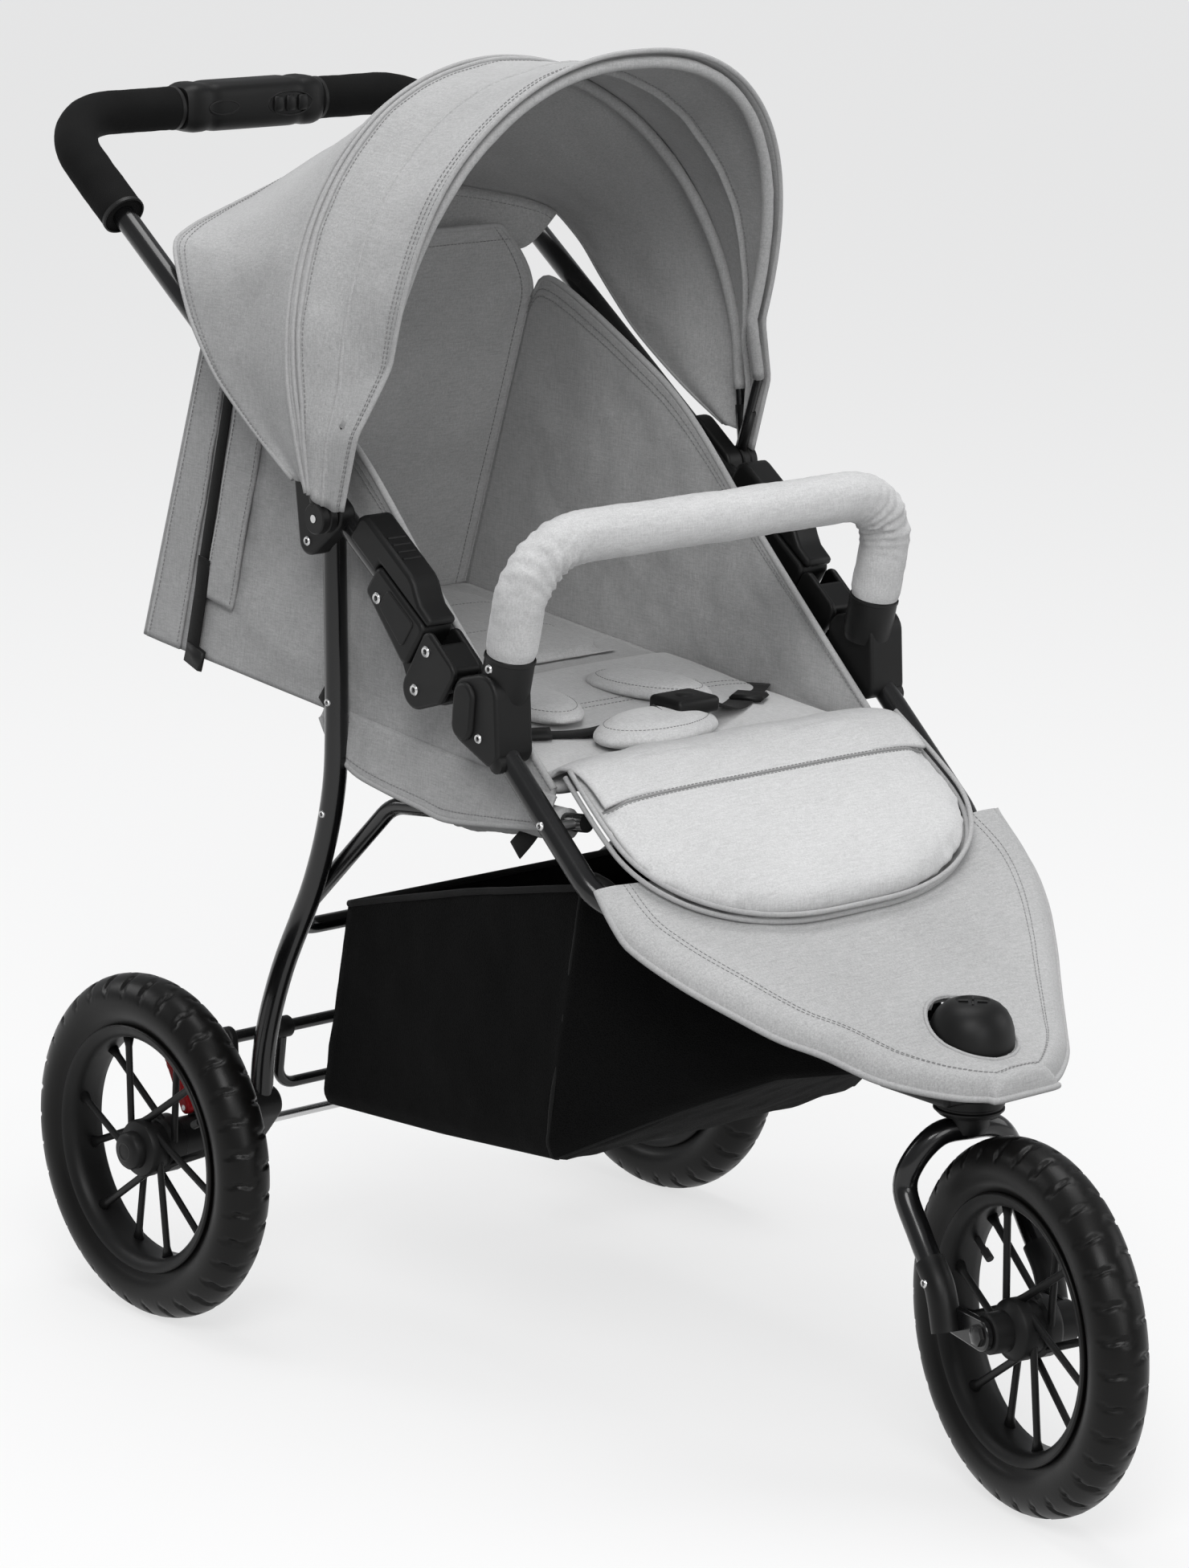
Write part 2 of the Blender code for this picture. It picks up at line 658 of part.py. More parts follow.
def tyre_profile():
    """Closed section of a tyre as (radius, height) points."""
    middle = WHEEL_RADIUS - TYRE_SECTION_RADIUS
    bead_angle = math.acos((TYRE_SEAT_RADIUS + 0.006 - middle) / TYRE_SECTION_RADIUS)
    points = [(TYRE_SEAT_RADIUS, TYRE_BEAD_HALF_WIDTH)]
    count = 6
    for index in range(count + 1):
        angle = bead_angle - 2 * bead_angle * index / count
        points.append((middle + TYRE_SECTION_RADIUS * math.cos(angle), TYRE_SECTION_RADIUS * math.sin(angle)))
    points.append((TYRE_SEAT_RADIUS, -TYRE_BEAD_HALF_WIDTH))
    return points


def wheel(label, body, hub_profile, hub_closed):
    """Tyre, and the rim, spokes and hub as one casting, about the local axis."""
    upright = (0.0, math.pi / 2, 0.0)
    tyre = turned(label + "_tyre", tyre_profile(), body, (0, 0, 0), "tyre_rubber", closed=True)
    tyre.rotation_euler = upright
    seat = TYRE_SEAT_RADIUS - CLEARANCE
    rim_profile = [(seat, RIM_HALF_WIDTH), (seat, -RIM_HALF_WIDTH),
                   (RIM_INNER_RADIUS, -RIM_HALF_WIDTH), (RIM_INNER_RADIUS, RIM_HALF_WIDTH)]
    core = turned(label + "_wheel", rim_profile, body, (0, 0, 0), "black_plastic", closed=True)
    core.rotation_euler = upright
    hub = turned(label + "_hub_form", hub_profile, body, (0, 0, 0), closed=hub_closed, steps=16)
    hub.rotation_euler = upright
    bm = bmesh.new()
    reach = (RIM_INNER_RADIUS + seat) / 2
    for flange in (-1, 1):
        for pair in range(SPOKE_PAIRS):
            lean = math.radians(SPOKE_SPREAD_DEG) * flange
            root_angle = math.tau * (pair + 0.25 * flange) / SPOKE_PAIRS + lean
            tip_angle = math.tau * (pair + 0.25 * flange) / SPOKE_PAIRS - lean
            root = Vector((flange * SPOKE_FLANGE_OFFSET, HUB_RADIUS * 0.7 * math.cos(root_angle),
                           HUB_RADIUS * 0.7 * math.sin(root_angle)))
            tip = Vector((flange * SPOKE_FLANGE_OFFSET, reach * math.cos(tip_angle),
                          reach * math.sin(tip_angle)))
            spoke = bmesh.new()
            bmesh.ops.create_cone(spoke, cap_ends=True, segments=6, radius1=SPOKE_RADIUS,
                                  radius2=SPOKE_RADIUS, depth=(tip - root).length)
            turn = (tip - root).to_track_quat("Z", "Y").to_matrix().to_4x4()
            bmesh.ops.transform(spoke, matrix=Matrix.Translation((root + tip) / 2) @ turn, verts=spoke.verts)
            piece = bpy.data.meshes.new("spoke")
            spoke.to_mesh(piece)
            spoke.free()
            bm.from_mesh(piece)
            bpy.data.meshes.remove(piece)
    mesh = bpy.data.meshes.new(label + "_spokes_form")
    bm.to_mesh(mesh)
    bm.free()
    spokes = add_object(label + "_spokes_form", mesh, body, (0, 0, 0))
    joined(core, hub, spokes)
    return tyre, core


def build_front_frame():
    """Root body: front tubes, steering head, hinge bases and sockets."""
    body, off = BODIES["front_frame"], Vector()
    head_rear_y = HEAD_Y + HEAD_BLOCK_REAR
    housing = box("headset_housing", (-HEAD_BLOCK_HALF_WIDTH, HEAD_Y - HEAD_BLOCK_FRONT, COLLAR_TOP_Z + CLEARANCE),
                  (HEAD_BLOCK_HALF_WIDTH, head_rear_y, HEAD_BLOCK_TOP_Z), body, off, "black_plastic", 0.006)
    steerer_bore = rod("steerer_bore", (0, HEAD_Y, COLLAR_TOP_Z - 0.01), (0, HEAD_Y, STEERER_TOP_Z + CLEARANCE),
                       clear_radius(STEERER_RADIUS, 16), body, off, sides=16)
    knob_bore = rod("knob_bore", (0, HEAD_Y, HEAD_BLOCK_TOP_Z - KNOB_STEM_DEPTH - CLEARANCE),
                    (0, HEAD_Y, HEAD_BLOCK_TOP_Z + 0.01), clear_radius(KNOB_STEM_RADIUS, 16), body, off, sides=16)
    shoulder_half = HEAD_BLOCK_HALF_WIDTH - 0.003
    shoulder = side_plate("headset_shoulder", [(HEAD_Y + HEAD_SHOULDER_FRONT + 0.006, HEAD_SHOULDER_TOP_Z - 0.006, 0.006),
                                               (head_rear_y - 0.009, HEAD_SHOULDER_TOP_Z - 0.006, 0.006),
                                               (HEAD_Y + HEAD_SHOULDER_FRONT + 0.006, HEAD_BLOCK_TOP_Z - 0.012, 0.006),
                                               (head_rear_y - 0.009, HEAD_BLOCK_TOP_Z - 0.012, 0.006)],
                          -shoulder_half, shoulder_half, 1, body, off)
    joined(housing, shoulder)
    knob_space = rod("knob_space", (0, HEAD_Y, HEAD_BLOCK_TOP_Z - KNOB_RECESS), (0, HEAD_Y, HEAD_BLOCK_TOP_Z + 0.03),
                     clear_radius(KNOB_RADIUS, 20) + CLEARANCE, body, off, sides=20)
    cut(housing, steerer_bore, knob_bore, knob_space)
    bore = clear_radius(STEERER_RADIUS, 16)
    collar_profile = [(COLLAR_RADIUS - 0.002, COLLAR_TOP_Z), (COLLAR_RADIUS, COLLAR_TOP_Z - 0.003),
                      (COLLAR_RADIUS, COLLAR_BOTTOM_Z + 0.004), (COLLAR_RADIUS - 0.004, COLLAR_BOTTOM_Z),
                      (bore, COLLAR_BOTTOM_Z), (bore, COLLAR_TOP_Z)]
    turned("headset_collar", collar_profile, body, (0, HEAD_Y, 0), "black_plastic", steps=16, closed=True)
    for name, side in SIDES:
        build_front_side(name, side, body, off, housing)
    build_foot_panel(body, off)


def front_tube_path(side):
    """Centre line of one front tube, from the fold hinge to the steering head."""
    start = at(side, FRAME_HALF_WIDTH, KINK + LOWER * 0.006)
    corner = at(side, FRAME_HALF_WIDTH, FOOT_CORNER)
    end = Vector((side * V_FRAME_END_HALF_WIDTH, V_FRAME_END_Y, V_FRAME_END_Z))
    return fillet_path((start, corner, end), (FOOT_BEND_RADIUS,), 10.0)


def build_front_side(name, side, body, off, housing):
    """Front tube, fixed hinge casing, hinge pin and bumper socket of one side."""
    path = front_tube_path(side)
    front_tube = tube("front_tube_" + name, path, TUBE_RADIUS, body, off, "black_paint")
    tube_space = tube("front_tube_space_" + name, [path[0] - LOWER * 0.002] + path[1:], clear_radius(TUBE_RADIUS),
                      body, off)
    cut(housing, tube_space)
    rail_hole = rod("rail_hole_" + name, at(side, FRAME_HALF_WIDTH - 0.012, RAIL_FRONT),
                    at(side, FRAME_HALF_WIDTH - 0.003, RAIL_FRONT), clear_radius(LEG_PIN_RADIUS), body, off)
    cut(front_tube, rail_hole)
    build_lower_hinge(name, side, body, off, tube_space)
    build_bumper_socket(name, side, body, off, tube_space)


def build_lower_hinge(name, side, body, off, tube_space):
    """Fixed half of the fold hinge: a sleeve on the front tube with two cheeks."""
    top = TUBE_HEIGHT_ABOVE_HINGE + CASING_HALF_DEPTH
    reach = SLEEVE_START - 0.0008
    cheek = [(HINGE_Y, HINGE_Z, CHEEK_LOBE_RADIUS),
             (*hinge_point(reach - 0.008, top - 0.008), 0.008),
             (*hinge_point(-0.020, top - 0.012), 0.010),
             (*hinge_point(-0.020, 0.016), 0.010)]
    outer = FRAME_HALF_WIDTH + CASING_HALF_WIDTH
    inner = FRAME_HALF_WIDTH - CASING_HALF_WIDTH
    casing = side_plate("hinge_lower_" + name, cheek, outer - CHEEK_THICKNESS, outer, side, body, off,
                        "black_plastic")
    inner_cheek = side_plate("inner_cheek_" + name, cheek, inner, inner + CHEEK_THICKNESS, side, body, off)
    corner = 0.005
    sleeve = []
    for along in (0.005 + corner, 0.036 - corner):
        for above in (-CASING_HALF_DEPTH + corner, CASING_HALF_DEPTH - corner):
            place = KINK + LOWER * along + LOWER_NORMAL * above
            sleeve.append((place.y, place.z, corner))
    block = side_plate("hinge_block_" + name, sleeve, inner + 0.0004, outer - 0.0004, side, body, off)
    rivet = rod("hinge_rivet_" + name, at(side, outer - 0.001, KINK), at(side, outer + RIVET_HEIGHT, KINK),
                RIVET_RADIUS, body, off, sides=10)
    pin_hole = rod("hinge_pin_hole_" + name, at(side, inner - 0.01, HINGE), at(side, outer + 0.01, HINGE),
                   clear_radius(HINGE_PIN_RADIUS), body, off)
    boss_place = Vector((0.0, *hinge_point(-0.020, 0.016)))
    seat_boss = rod("seat_boss_" + name, at(side, TUB_HALF_WIDTH + CLEARANCE, boss_place),
                    at(side, inner + 0.002, boss_place), SEAT_BOSS_RADIUS, body, off)
    joined(casing, inner_cheek, block, rivet, seat_boss)
    cut(casing, tube_space, pin_hole)
    head = HINGE_PIN_RADIUS + 0.0025
    face = CASING_HALF_WIDTH + CLEARANCE
    pin_profile = [(0.0, face + 0.0015), (head, face + 0.0015), (head, face), (HINGE_PIN_RADIUS, face),
                   (HINGE_PIN_RADIUS, -face), (head, -face), (head, -face - 0.0015), (0.0, -face - 0.0015)]
    pin = turned("hinge_pin_" + name, pin_profile, body, at(side, FRAME_HALF_WIDTH, HINGE), "steel", steps=12)
    pin.rotation_euler = (0.0, math.pi / 2, 0.0)


def build_bumper_socket(name, side, body, off, tube_space):
    """Socket that clamps the front tube and takes one leg of the bumper bar."""
    clamp = KINK + LOWER * 0.0852
    upper_button, lower_button = bumper_button_places()
    discs = [(clamp.y, clamp.z, 0.0175), (clamp.y - 0.016, clamp.z - 0.013, 0.012),
             (upper_button[0], upper_button[1], BUMPER_BUTTON_RADIUS + 0.004),
             (lower_button[0], lower_button[1], BUMPER_BUTTON_RADIUS + 0.004),
             (BUMPER_LEG_Y, BUMPER_LEG_Z, 0.0185)]
    socket = side_plate("bumper_socket_" + name, discs, SOCKET_INNER_X, SOCKET_OUTER_X, side, body, off,
                        "black_plastic")
    foot = BUMPER_LEG - BUMPER_UP * 0.006
    top = BUMPER_LEG + BUMPER_UP * SOCKET_TOP
    cup = rod("socket_cup_" + name, at(side, BUMPER_HALF_WIDTH, foot), at(side, BUMPER_HALF_WIDTH, top),
              SOCKET_RADIUS, body, off, sides=16)
    bore = rod("socket_bore_" + name, at(side, BUMPER_HALF_WIDTH, BUMPER_LEG - BUMPER_UP * CLEARANCE),
               at(side, BUMPER_HALF_WIDTH, top + BUMPER_UP * 0.01), clear_radius(BUMPER_ROD_RADIUS), body, off)
    pocket_discs = [(y, z, BUMPER_BUTTON_RADIUS + 2 * CLEARANCE) for y, z in bumper_button_places()]
    pocket = side_plate("button_pocket_" + name, pocket_discs,
                        SOCKET_OUTER_X - BUMPER_BUTTON_DEPTH - BUMPER_BUTTON_TRAVEL - CLEARANCE,
                        SOCKET_OUTER_X + 0.01, side, body, off)
    joined(socket, cup)
    cut(socket, tube_space, bore, pocket)


def bumper_button_places():
    """(y, z) of the upper and lower ends of the oval release button."""
    return ((BUMPER_LEG_Y + 0.0185, BUMPER_LEG_Z - 0.003), (BUMPER_LEG_Y + 0.0205, BUMPER_LEG_Z - 0.026))


def build_bumper():
    """Lift-off bumper bar with its pad, and the two release buttons."""
    body, off = BODIES["bumper_bar"], -BODY_PIVOTS["bumper_bar"]
    feet = [at(side, BUMPER_HALF_WIDTH, BUMPER_LEG) for side in (-1, 1)]
    corners = [at(side, BUMPER_HALF_WIDTH, BUMPER_CORNER) for side in (-1, 1)]
    path = fillet_path((feet[0], corners[0], corners[1], feet[1]), (BUMPER_BEND_RADIUS,) * 2)
    tube("bumper_bar", path, BUMPER_ROD_RADIUS, body, off, "black_paint")
    lift = BUMPER_UP * (SOCKET_TOP + CLEARANCE)
    pad = tube("bumper_pad", [path[0] + lift] + path[1:-1] + [path[-1] + lift], BUMPER_PAD_RADIUS, body, off,
               "pale_cloth", sides=10)
    inside = tube("bumper_rod_space", path, clear_radius(BUMPER_ROD_RADIUS), body, off)
    cut(pad, inside)
    for name, side in SIDES:
        button_body = BODIES["bumper_button_" + name]
        discs = [(y, z, BUMPER_BUTTON_RADIUS) for y, z in bumper_button_places()]
        button = side_plate("bumper_button_" + name, discs, SOCKET_OUTER_X - BUMPER_BUTTON_DEPTH,
                            SOCKET_OUTER_X + BUMPER_BUTTON_PROUD, side, button_body,
                            -BODY_PIVOTS["bumper_button_" + name], "black_plastic")
        add_bevel(button, 0.0015, 2)


def foot_panel_rows():
    """(y, top z, half width, sag) of the foot panel, from the seat to its tip."""
    slope = (FOOT_CORNER.z - V_FRAME_END_Z) / (FOOT_CORNER.y - V_FRAME_END_Y)

    def surface(y):
        return FOOT_CORNER.z + (y - FOOT_CORNER.y) * slope + FOOT_PANEL_LIFT

    return ((-0.492, surface(-0.492), 0.2200, 0.0120), (-0.530, surface(-0.530), 0.2210, 0.0120),
            (-0.570, surface(-0.570), 0.2000, 0.0070), (-0.610, surface(-0.610), 0.1640, 0.0020),
            (-0.635, surface(-0.635), 0.1400, 0.0000), (-0.660, 0.3795, 0.1180, 0.0000),
            (-0.690, 0.3625, 0.0980, 0.0000), (-0.715, 0.3545, 0.0810, 0.0000),
            (-0.735, 0.3500, 0.0560, 0.0000), (-0.746, 0.3480, 0.0350, 0.0000))


def build_foot_panel(body, off):
    """Padded foot panel with a turned-down hem and a hole round the knob."""
    rows = foot_panel_rows()

    def surface(u, v):
        index = round((v + 1) / 2 * len(rows))
        y, z, half, sag = rows[min(index, len(rows) - 1)]
        step = round(abs(u) * 4)
        inner = half - FOOT_PANEL_HEM
        widths = (0.0, inner * 0.38, inner * 0.75, inner, half)
        hem_drop = FOOT_PANEL_HEM_DROP * (0.3 if index == 0 else 1.0)
        drops = (sag, sag * 0.8, 0.0008 + sag * 0.3, 0.0020 + sag * 0.25, hem_drop)
        if index == len(rows):
            return Vector((math.copysign(widths[step], u), y - 0.008, z - FOOT_PANEL_HEM_DROP))
        return Vector((math.copysign(widths[step], u), y, z - drops[step]))

    panel = sheet("footrest_panel", 8, len(rows), surface, FOOT_PANEL_THICKNESS, body, off, "grey_cloth")
    panel.modifiers["cloth_thickness"].offset = 1.0
    hole = rod("knob_hole", (0, HEAD_Y, HEAD_BLOCK_TOP_Z - 0.03), (0, HEAD_Y, HEAD_BLOCK_TOP_Z + 0.06),
               KNOB_RADIUS / math.cos(math.pi / 20) + 0.0008, body, off, sides=20)
    cut(panel, hole)


def build_seat():
    """Seat tub, calf pad and harness, which stay with the front frame."""
    body, off = BODIES["front_frame"], Vector()
    back_run = Vector((0.0, TUB_BACK_TOP_Y - TUB_REAR_Y, TUB_BACK_TOP_Z - floor_z(TUB_REAR_Y)))

    def back_y(z):
        return TUB_REAR_Y + back_run.y * (z - floor_z(TUB_REAR_Y)) / back_run.z

    shoulder = TUB_BACK_SHOULDER_Z
    outline = [(TUB_FRONT_Y, floor_z(TUB_FRONT_Y)), (TUB_FRONT_Y, TUB_FRONT_Z + 0.008), (-0.241, 0.664),
               (-0.144, 0.758), (-0.069, 0.804), (0.040, shoulder + 0.020),
               (back_y(shoulder) - 0.003, shoulder), (back_y(0.700) - 0.003, 0.700),
               (back_y(floor_z(TUB_REAR_Y)) - 0.003, floor_z(TUB_REAR_Y))]
    for name, side in SIDES:
        low, high = sorted((side * (TUB_HALF_WIDTH - TUB_WALL), side * TUB_HALF_WIDTH))
        plate("seat_side_" + name, outline, low, high, body, off, "grey_cloth")

    def back_sheet(u, v):
        z = floor_z(TUB_REAR_Y) + (v + 1) / 2 * (TUB_BACK_TOP_Z - floor_z(TUB_REAR_Y))
        share = max(0.0, (z - shoulder) / (TUB_BACK_TOP_Z - shoulder))
        half = TUB_HALF_WIDTH + (TUB_BACK_TOP_HALF_WIDTH - TUB_HALF_WIDTH) * share
        return Vector((u * half, back_y(z), z))

    wall = sheet("seat_rear_wall", 6, 10, back_sheet, TUB_WALL, body, off, "grey_cloth")
    wall.modifiers["cloth_thickness"].offset = -1.0
    build_seat_cushions(body, off)


def build_seat_cushions(body, off):
    """Seat floor, calf pad, crotch pad, buckle, shoulder pads and lap straps."""
    half = TUB_HALF_WIDTH - TUB_WALL - CLEARANCE

    def floor_low(u, v):
        y = TUB_FRONT_Y + (v + 1) / 2 * (TUB_REAR_Y - 0.002 - TUB_FRONT_Y)
        return Vector((u * half, y, floor_z(y)))

    def floor_high(u, v):
        place = floor_low(u, v)
        if place.y < SEAT_CREASE_Y:
            share = (place.y - TUB_FRONT_Y) / (SEAT_CREASE_Y - TUB_FRONT_Y)
            crown = SEAT_CROWN * (1 - u ** 4) * math.sin(math.pi * min(1.0, share + 0.15)) ** 0.5
            place.z += SEAT_PAD + max(0.0, crown)
        else:
            place.z += FLOOR_THICKNESS
        return place

    cushion("seat_base", 6, 12, floor_high, floor_low, body, off, "grey_cloth", levels=0)
    build_calf_pad(body, off)
    seat_top = floor_z(-0.350) + SEAT_PAD + SEAT_CROWN - HARNESS_SINK
    oval_pad("crotch_pad", Vector((-0.035, -0.350, seat_top)), (0.062, 0.034), 0.018, 0.10, body, off, "pale_cloth")
    buckle_z = seat_top + 0.0162
    box("harness_buckle", (-0.020, -0.362, buckle_z), (0.026, -0.322, buckle_z + 0.014), body, off,
        "black_plastic", 0.004)
    strap_low = floor_z(-0.300) + SEAT_PAD + SEAT_CROWN - 1.3 * CLEARANCE
    for name, side in SIDES:
        oval_pad("shoulder_pad_" + name, Vector((side * 0.062 - 0.008, -0.240, strap_low + 0.004)),
                 (0.030, 0.058), 0.012, side * 0.25, body, off, "pale_cloth")


def oval_pad(name, centre, half_sizes, thickness, turn, body, off, finish):
    """Small oval cushion with a crown and a pinched rim."""
    rotation = Matrix.Rotation(turn, 3, "Z")

    def disc(u, v):
        bend = math.sqrt(max(0.0, 1 - v * v / 2)), math.sqrt(max(0.0, 1 - u * u / 2))
        return u * bend[0], v * bend[1]

    def low(u, v):
        x, y = disc(u, v)
        rim = min(1.0, x * x + y * y)
        return centre + rotation @ Vector((x * half_sizes[0], y * half_sizes[1], thickness * 0.35 * rim ** 2))

    def high(u, v):
        place = low(u, v)
        x, y = disc(u, v)
        rim = min(1.0, x * x + y * y)
        place.z = centre.z + thickness * (1 - 0.5 * rim ** 2)
        return place

    return cushion(name, 3, 3, high, low, body, off, finish, levels=1)


def build_calf_pad(body, off):
    """Calf pad that falls from the seat's front edge over the foot panel."""
    slope = math.radians(CALF_PAD_SLOPE_DEG)
    fall = Vector((0.0, -math.cos(slope), -math.sin(slope)))
    normal = Vector((0.0, -math.sin(slope), math.cos(slope)))
    start = Vector((0.0, TUB_FRONT_Y - 0.010, TUB_FRONT_Z + SEAT_PAD + SEAT_CROWN + 0.008))

    def spread(u, v):
        share = (v + 1) / 2
        square = 0.45
        if share > square:
            bend = (share - square) / (1 - square)
            angle = bend * math.pi / 2
            run = square + (1 - square) * math.sin(angle)
            return u * CALF_PAD_HALF_WIDTH * (0.12 + 0.88 * math.cos(angle) ** 0.9), run * CALF_PAD_LENGTH
        return u * CALF_PAD_HALF_WIDTH * (0.965 + 0.035 * math.sin(share / square * math.pi / 2)), \
            share * CALF_PAD_LENGTH

    def low(u, v):
        x, s = spread(u, v)
        return start + fall * s + Vector((x, 0.0, 0.0)) - normal * 0.002

    def high(u, v):
        x, s = spread(u, v)
        crown = (1 - 0.55 * abs(u) ** 3) * (1 - 0.55 * max(0.0, v) ** 4) * (1 - 0.35 * max(0.0, -v) ** 6)
        return start + fall * s + Vector((x, 0.0, 0.0)) + normal * CALF_PAD_THICKNESS * crown

    cushion("calf_pad", 5, 5, high, low, body, off, "pale_cloth", levels=1)


def build_backrest():
    """Padded backrest board that lifts from the tub floor."""
    body, off = BODIES["backrest"], -BODY_PIVOTS["backrest"]

    def low(u, v):
        y = BACKREST_FRONT_Y + (v + 1) / 2 * BACKREST_LENGTH
        return Vector((u * BACKREST_HALF_WIDTH, y, floor_z(y) + FLOOR_THICKNESS + 2 * CLEARANCE))

    def high(u, v):
        place = low(u, v)
        place.z += BACKREST_THICKNESS * (1 - 0.45 * abs(u) ** 4) * (1 - 0.45 * abs(v) ** 6)
        return place

    cushion("backrest", 6, 8, high, low, body, off, "grey_cloth", levels=0)


def build_basket():
    """Deep cloth basket that narrows to a point under the foot panel."""
    body, off = BODIES["front_frame"], Vector()
    half = BASKET_HALF_WIDTH
    # Each section: bottom (y, z), top (y, z), bottom half width, top half width
    sections = (((-0.096, 0.184), (-0.136, 0.373), half - 0.004, half),
                ((-0.240, 0.197), (-0.280, 0.417), half, half),
                ((-0.388, 0.212), (-0.428, 0.452), half, half),
                ((-0.470, 0.262), (-0.500, 0.418), half * 0.66, half * 0.80),
                ((-0.545, 0.302), (-0.560, 0.376), half * 0.42, half * 0.50),
                ((-0.612, 0.318), (-0.617, 0.334), half * 0.20, half * 0.22))
    profile = ((1.0, 1.0), (1.0, 0.55), (0.99, 0.12), (0.93, 0.02), (0.50, 0.0), (0.0, 0.0))
    profile = profile + tuple((-across, up) for across, up in reversed(profile[:-1]))
    bm = bmesh.new()
    rings = []
    for bottom, top, low_half, high_half in sections:
        ring = []
        for across, up in profile:
            width = low_half + (high_half - low_half) * up
            ring.append(bm.verts.new((-across * width, bottom[0] + (top[0] - bottom[0]) * up,
                                      bottom[1] + (top[1] - bottom[1]) * up)))
        rings.append(ring)
    for back, front in zip(rings, rings[1:]):
        for index in range(len(profile) - 1):
            bm.faces.new((back[index], back[index + 1], front[index + 1], front[index]))
    bm.faces.new(rings[0][::-1])
    bm.faces.new(rings[-1])
    bmesh.ops.recalc_face_normals(bm, faces=bm.faces)
    mesh = bpy.data.meshes.new("basket")
    bm.to_mesh(mesh)
    bm.free()
    basket = add_object("basket", mesh, body, off, "black_mesh")
    solid = basket.modifiers.new("cloth_thickness", "SOLIDIFY")
    solid.thickness = BASKET_WALL
    solid.offset = 0.0
    solid.use_even_offset = True
    tube_face = FRAME_HALF_WIDTH - TUBE_RADIUS - CLEARANCE
    rail_slope = (RAIL_REAR_Z - RAIL_BEND_Z) / (RAIL_REAR_Y - RAIL_BEND_Y)
    rail_drop = (RAIL_RADIUS + 2 * CLEARANCE) * math.hypot(1.0, rail_slope)
    strap = []
    for y in (BASKET_STRAP_Y - 0.012, BASKET_STRAP_Y + 0.012):
        strap.append((y, RAIL_BEND_Z + (y - RAIL_BEND_Y) * rail_slope - rail_drop))
    strap += [(BASKET_STRAP_Y + 0.012, BASKET_STRAP_FOOT_Z), (BASKET_STRAP_Y - 0.012, BASKET_STRAP_FOOT_Z)]
    for name, side in SIDES:
        low, high = sorted((side * (half - 0.024), side * tube_face))
        tab = box("basket_tab_" + name, (low, BASKET_TAB_Y - 0.002, BASKET_TAB_Z - 0.045),
                  (high, BASKET_TAB_Y + 0.002, BASKET_TAB_Z + 0.004), body, off)
        low, high = sorted((side * (half - 0.0022), side * (half + 0.0018)))
        rear_strap = plate("basket_strap_" + name, strap, low, high, body, off)
        joined(basket, tab, rear_strap)


def handle_path():
    """Centre line of the handle tube, from the right hinge round to the left."""
    feet = [at(side, FRAME_HALF_WIDTH, KINK + UPPER * 0.0125) for side in (-1, 1)]
    corners = [at(side, FRAME_HALF_WIDTH, HANDLE_CORNER) for side in (-1, 1)]
    return fillet_path((feet[0], corners[0], corners[1], feet[1]), (HANDLE_BEND_RADIUS,) * 2)


def build_handle():
    """Handle tube with its grips, fold housing, hinge sleeves and brackets."""
    body, off = BODIES["handle"], -HINGE
    path = handle_path()
    tube("handle_frame", path, TUBE_RADIUS, body, off, "black_paint")
    space = tube("handle_tube_space", [path[0] - UPPER * 0.002] + path[1:-1] + [path[-1] - UPPER * 0.002],
                 clear_radius(TUBE_RADIUS), body, off)
    half = FOLD_HOUSING_LENGTH / 2
    size = FOLD_HOUSING_SIZE / 2
    housing = box("fold_housing", (-half, HANDLE_CORNER.y - size, HANDLE_CORNER.z - size),
                  (half, HANDLE_CORNER.y + size, HANDLE_CORNER.z + size), body, off, "black_plastic", 0.012)
    slot_low, slot_high = fold_button_box(2 * CLEARANCE, FOLD_BUTTON_TRAVEL + 2 * CLEARANCE)
    slot = box("fold_button_slot", slot_low, slot_high, body, off)
    cut(housing, space, slot)
    for name, side in SIDES:
        start = at(side, FRAME_HALF_WIDTH, KINK + UPPER * GRIP_START)
        corner = at(side, FRAME_HALF_WIDTH, HANDLE_CORNER)
        end = Vector((side * (half + CLEARANCE), HANDLE_CORNER.y, HANDLE_CORNER.z))
        grip = tube("handle_grip_" + name, fillet_path((start, corner, end), (HANDLE_BEND_RADIUS,)), GRIP_RADIUS,
                    body, off, "grip_foam", sides=10)
        cut(grip, space)
        build_upper_hinge(name, side, body, off, space)
        build_bracket(name, side, body, off, space)
        build_latch(name, side, space)
    button_low, button_high = fold_button_box(0.0, 0.0)
    button = box("fold_button", button_low, button_high, BODIES["fold_button"], -BODY_PIVOTS["fold_button"],
                 "black_plastic")
    add_bevel(button, 0.0015, 2)


def fold_button_box(margin, deeper):
    """Corners of the fold button, or of its slot with a margin round it."""
    front = HANDLE_CORNER.y - FOLD_HOUSING_SIZE / 2 - 0.002
    depth = 0.0045
    low = Vector((FOLD_BUTTON_X - FOLD_BUTTON_LENGTH / 2 - margin, front - (0.01 if margin else 0.0),
                  HANDLE_CORNER.z - FOLD_BUTTON_HEIGHT / 2 - margin))
    high = Vector((FOLD_BUTTON_X + FOLD_BUTTON_LENGTH / 2 + margin, front + depth + deeper,
                   HANDLE_CORNER.z + FOLD_BUTTON_HEIGHT / 2 + margin))
    return low, high


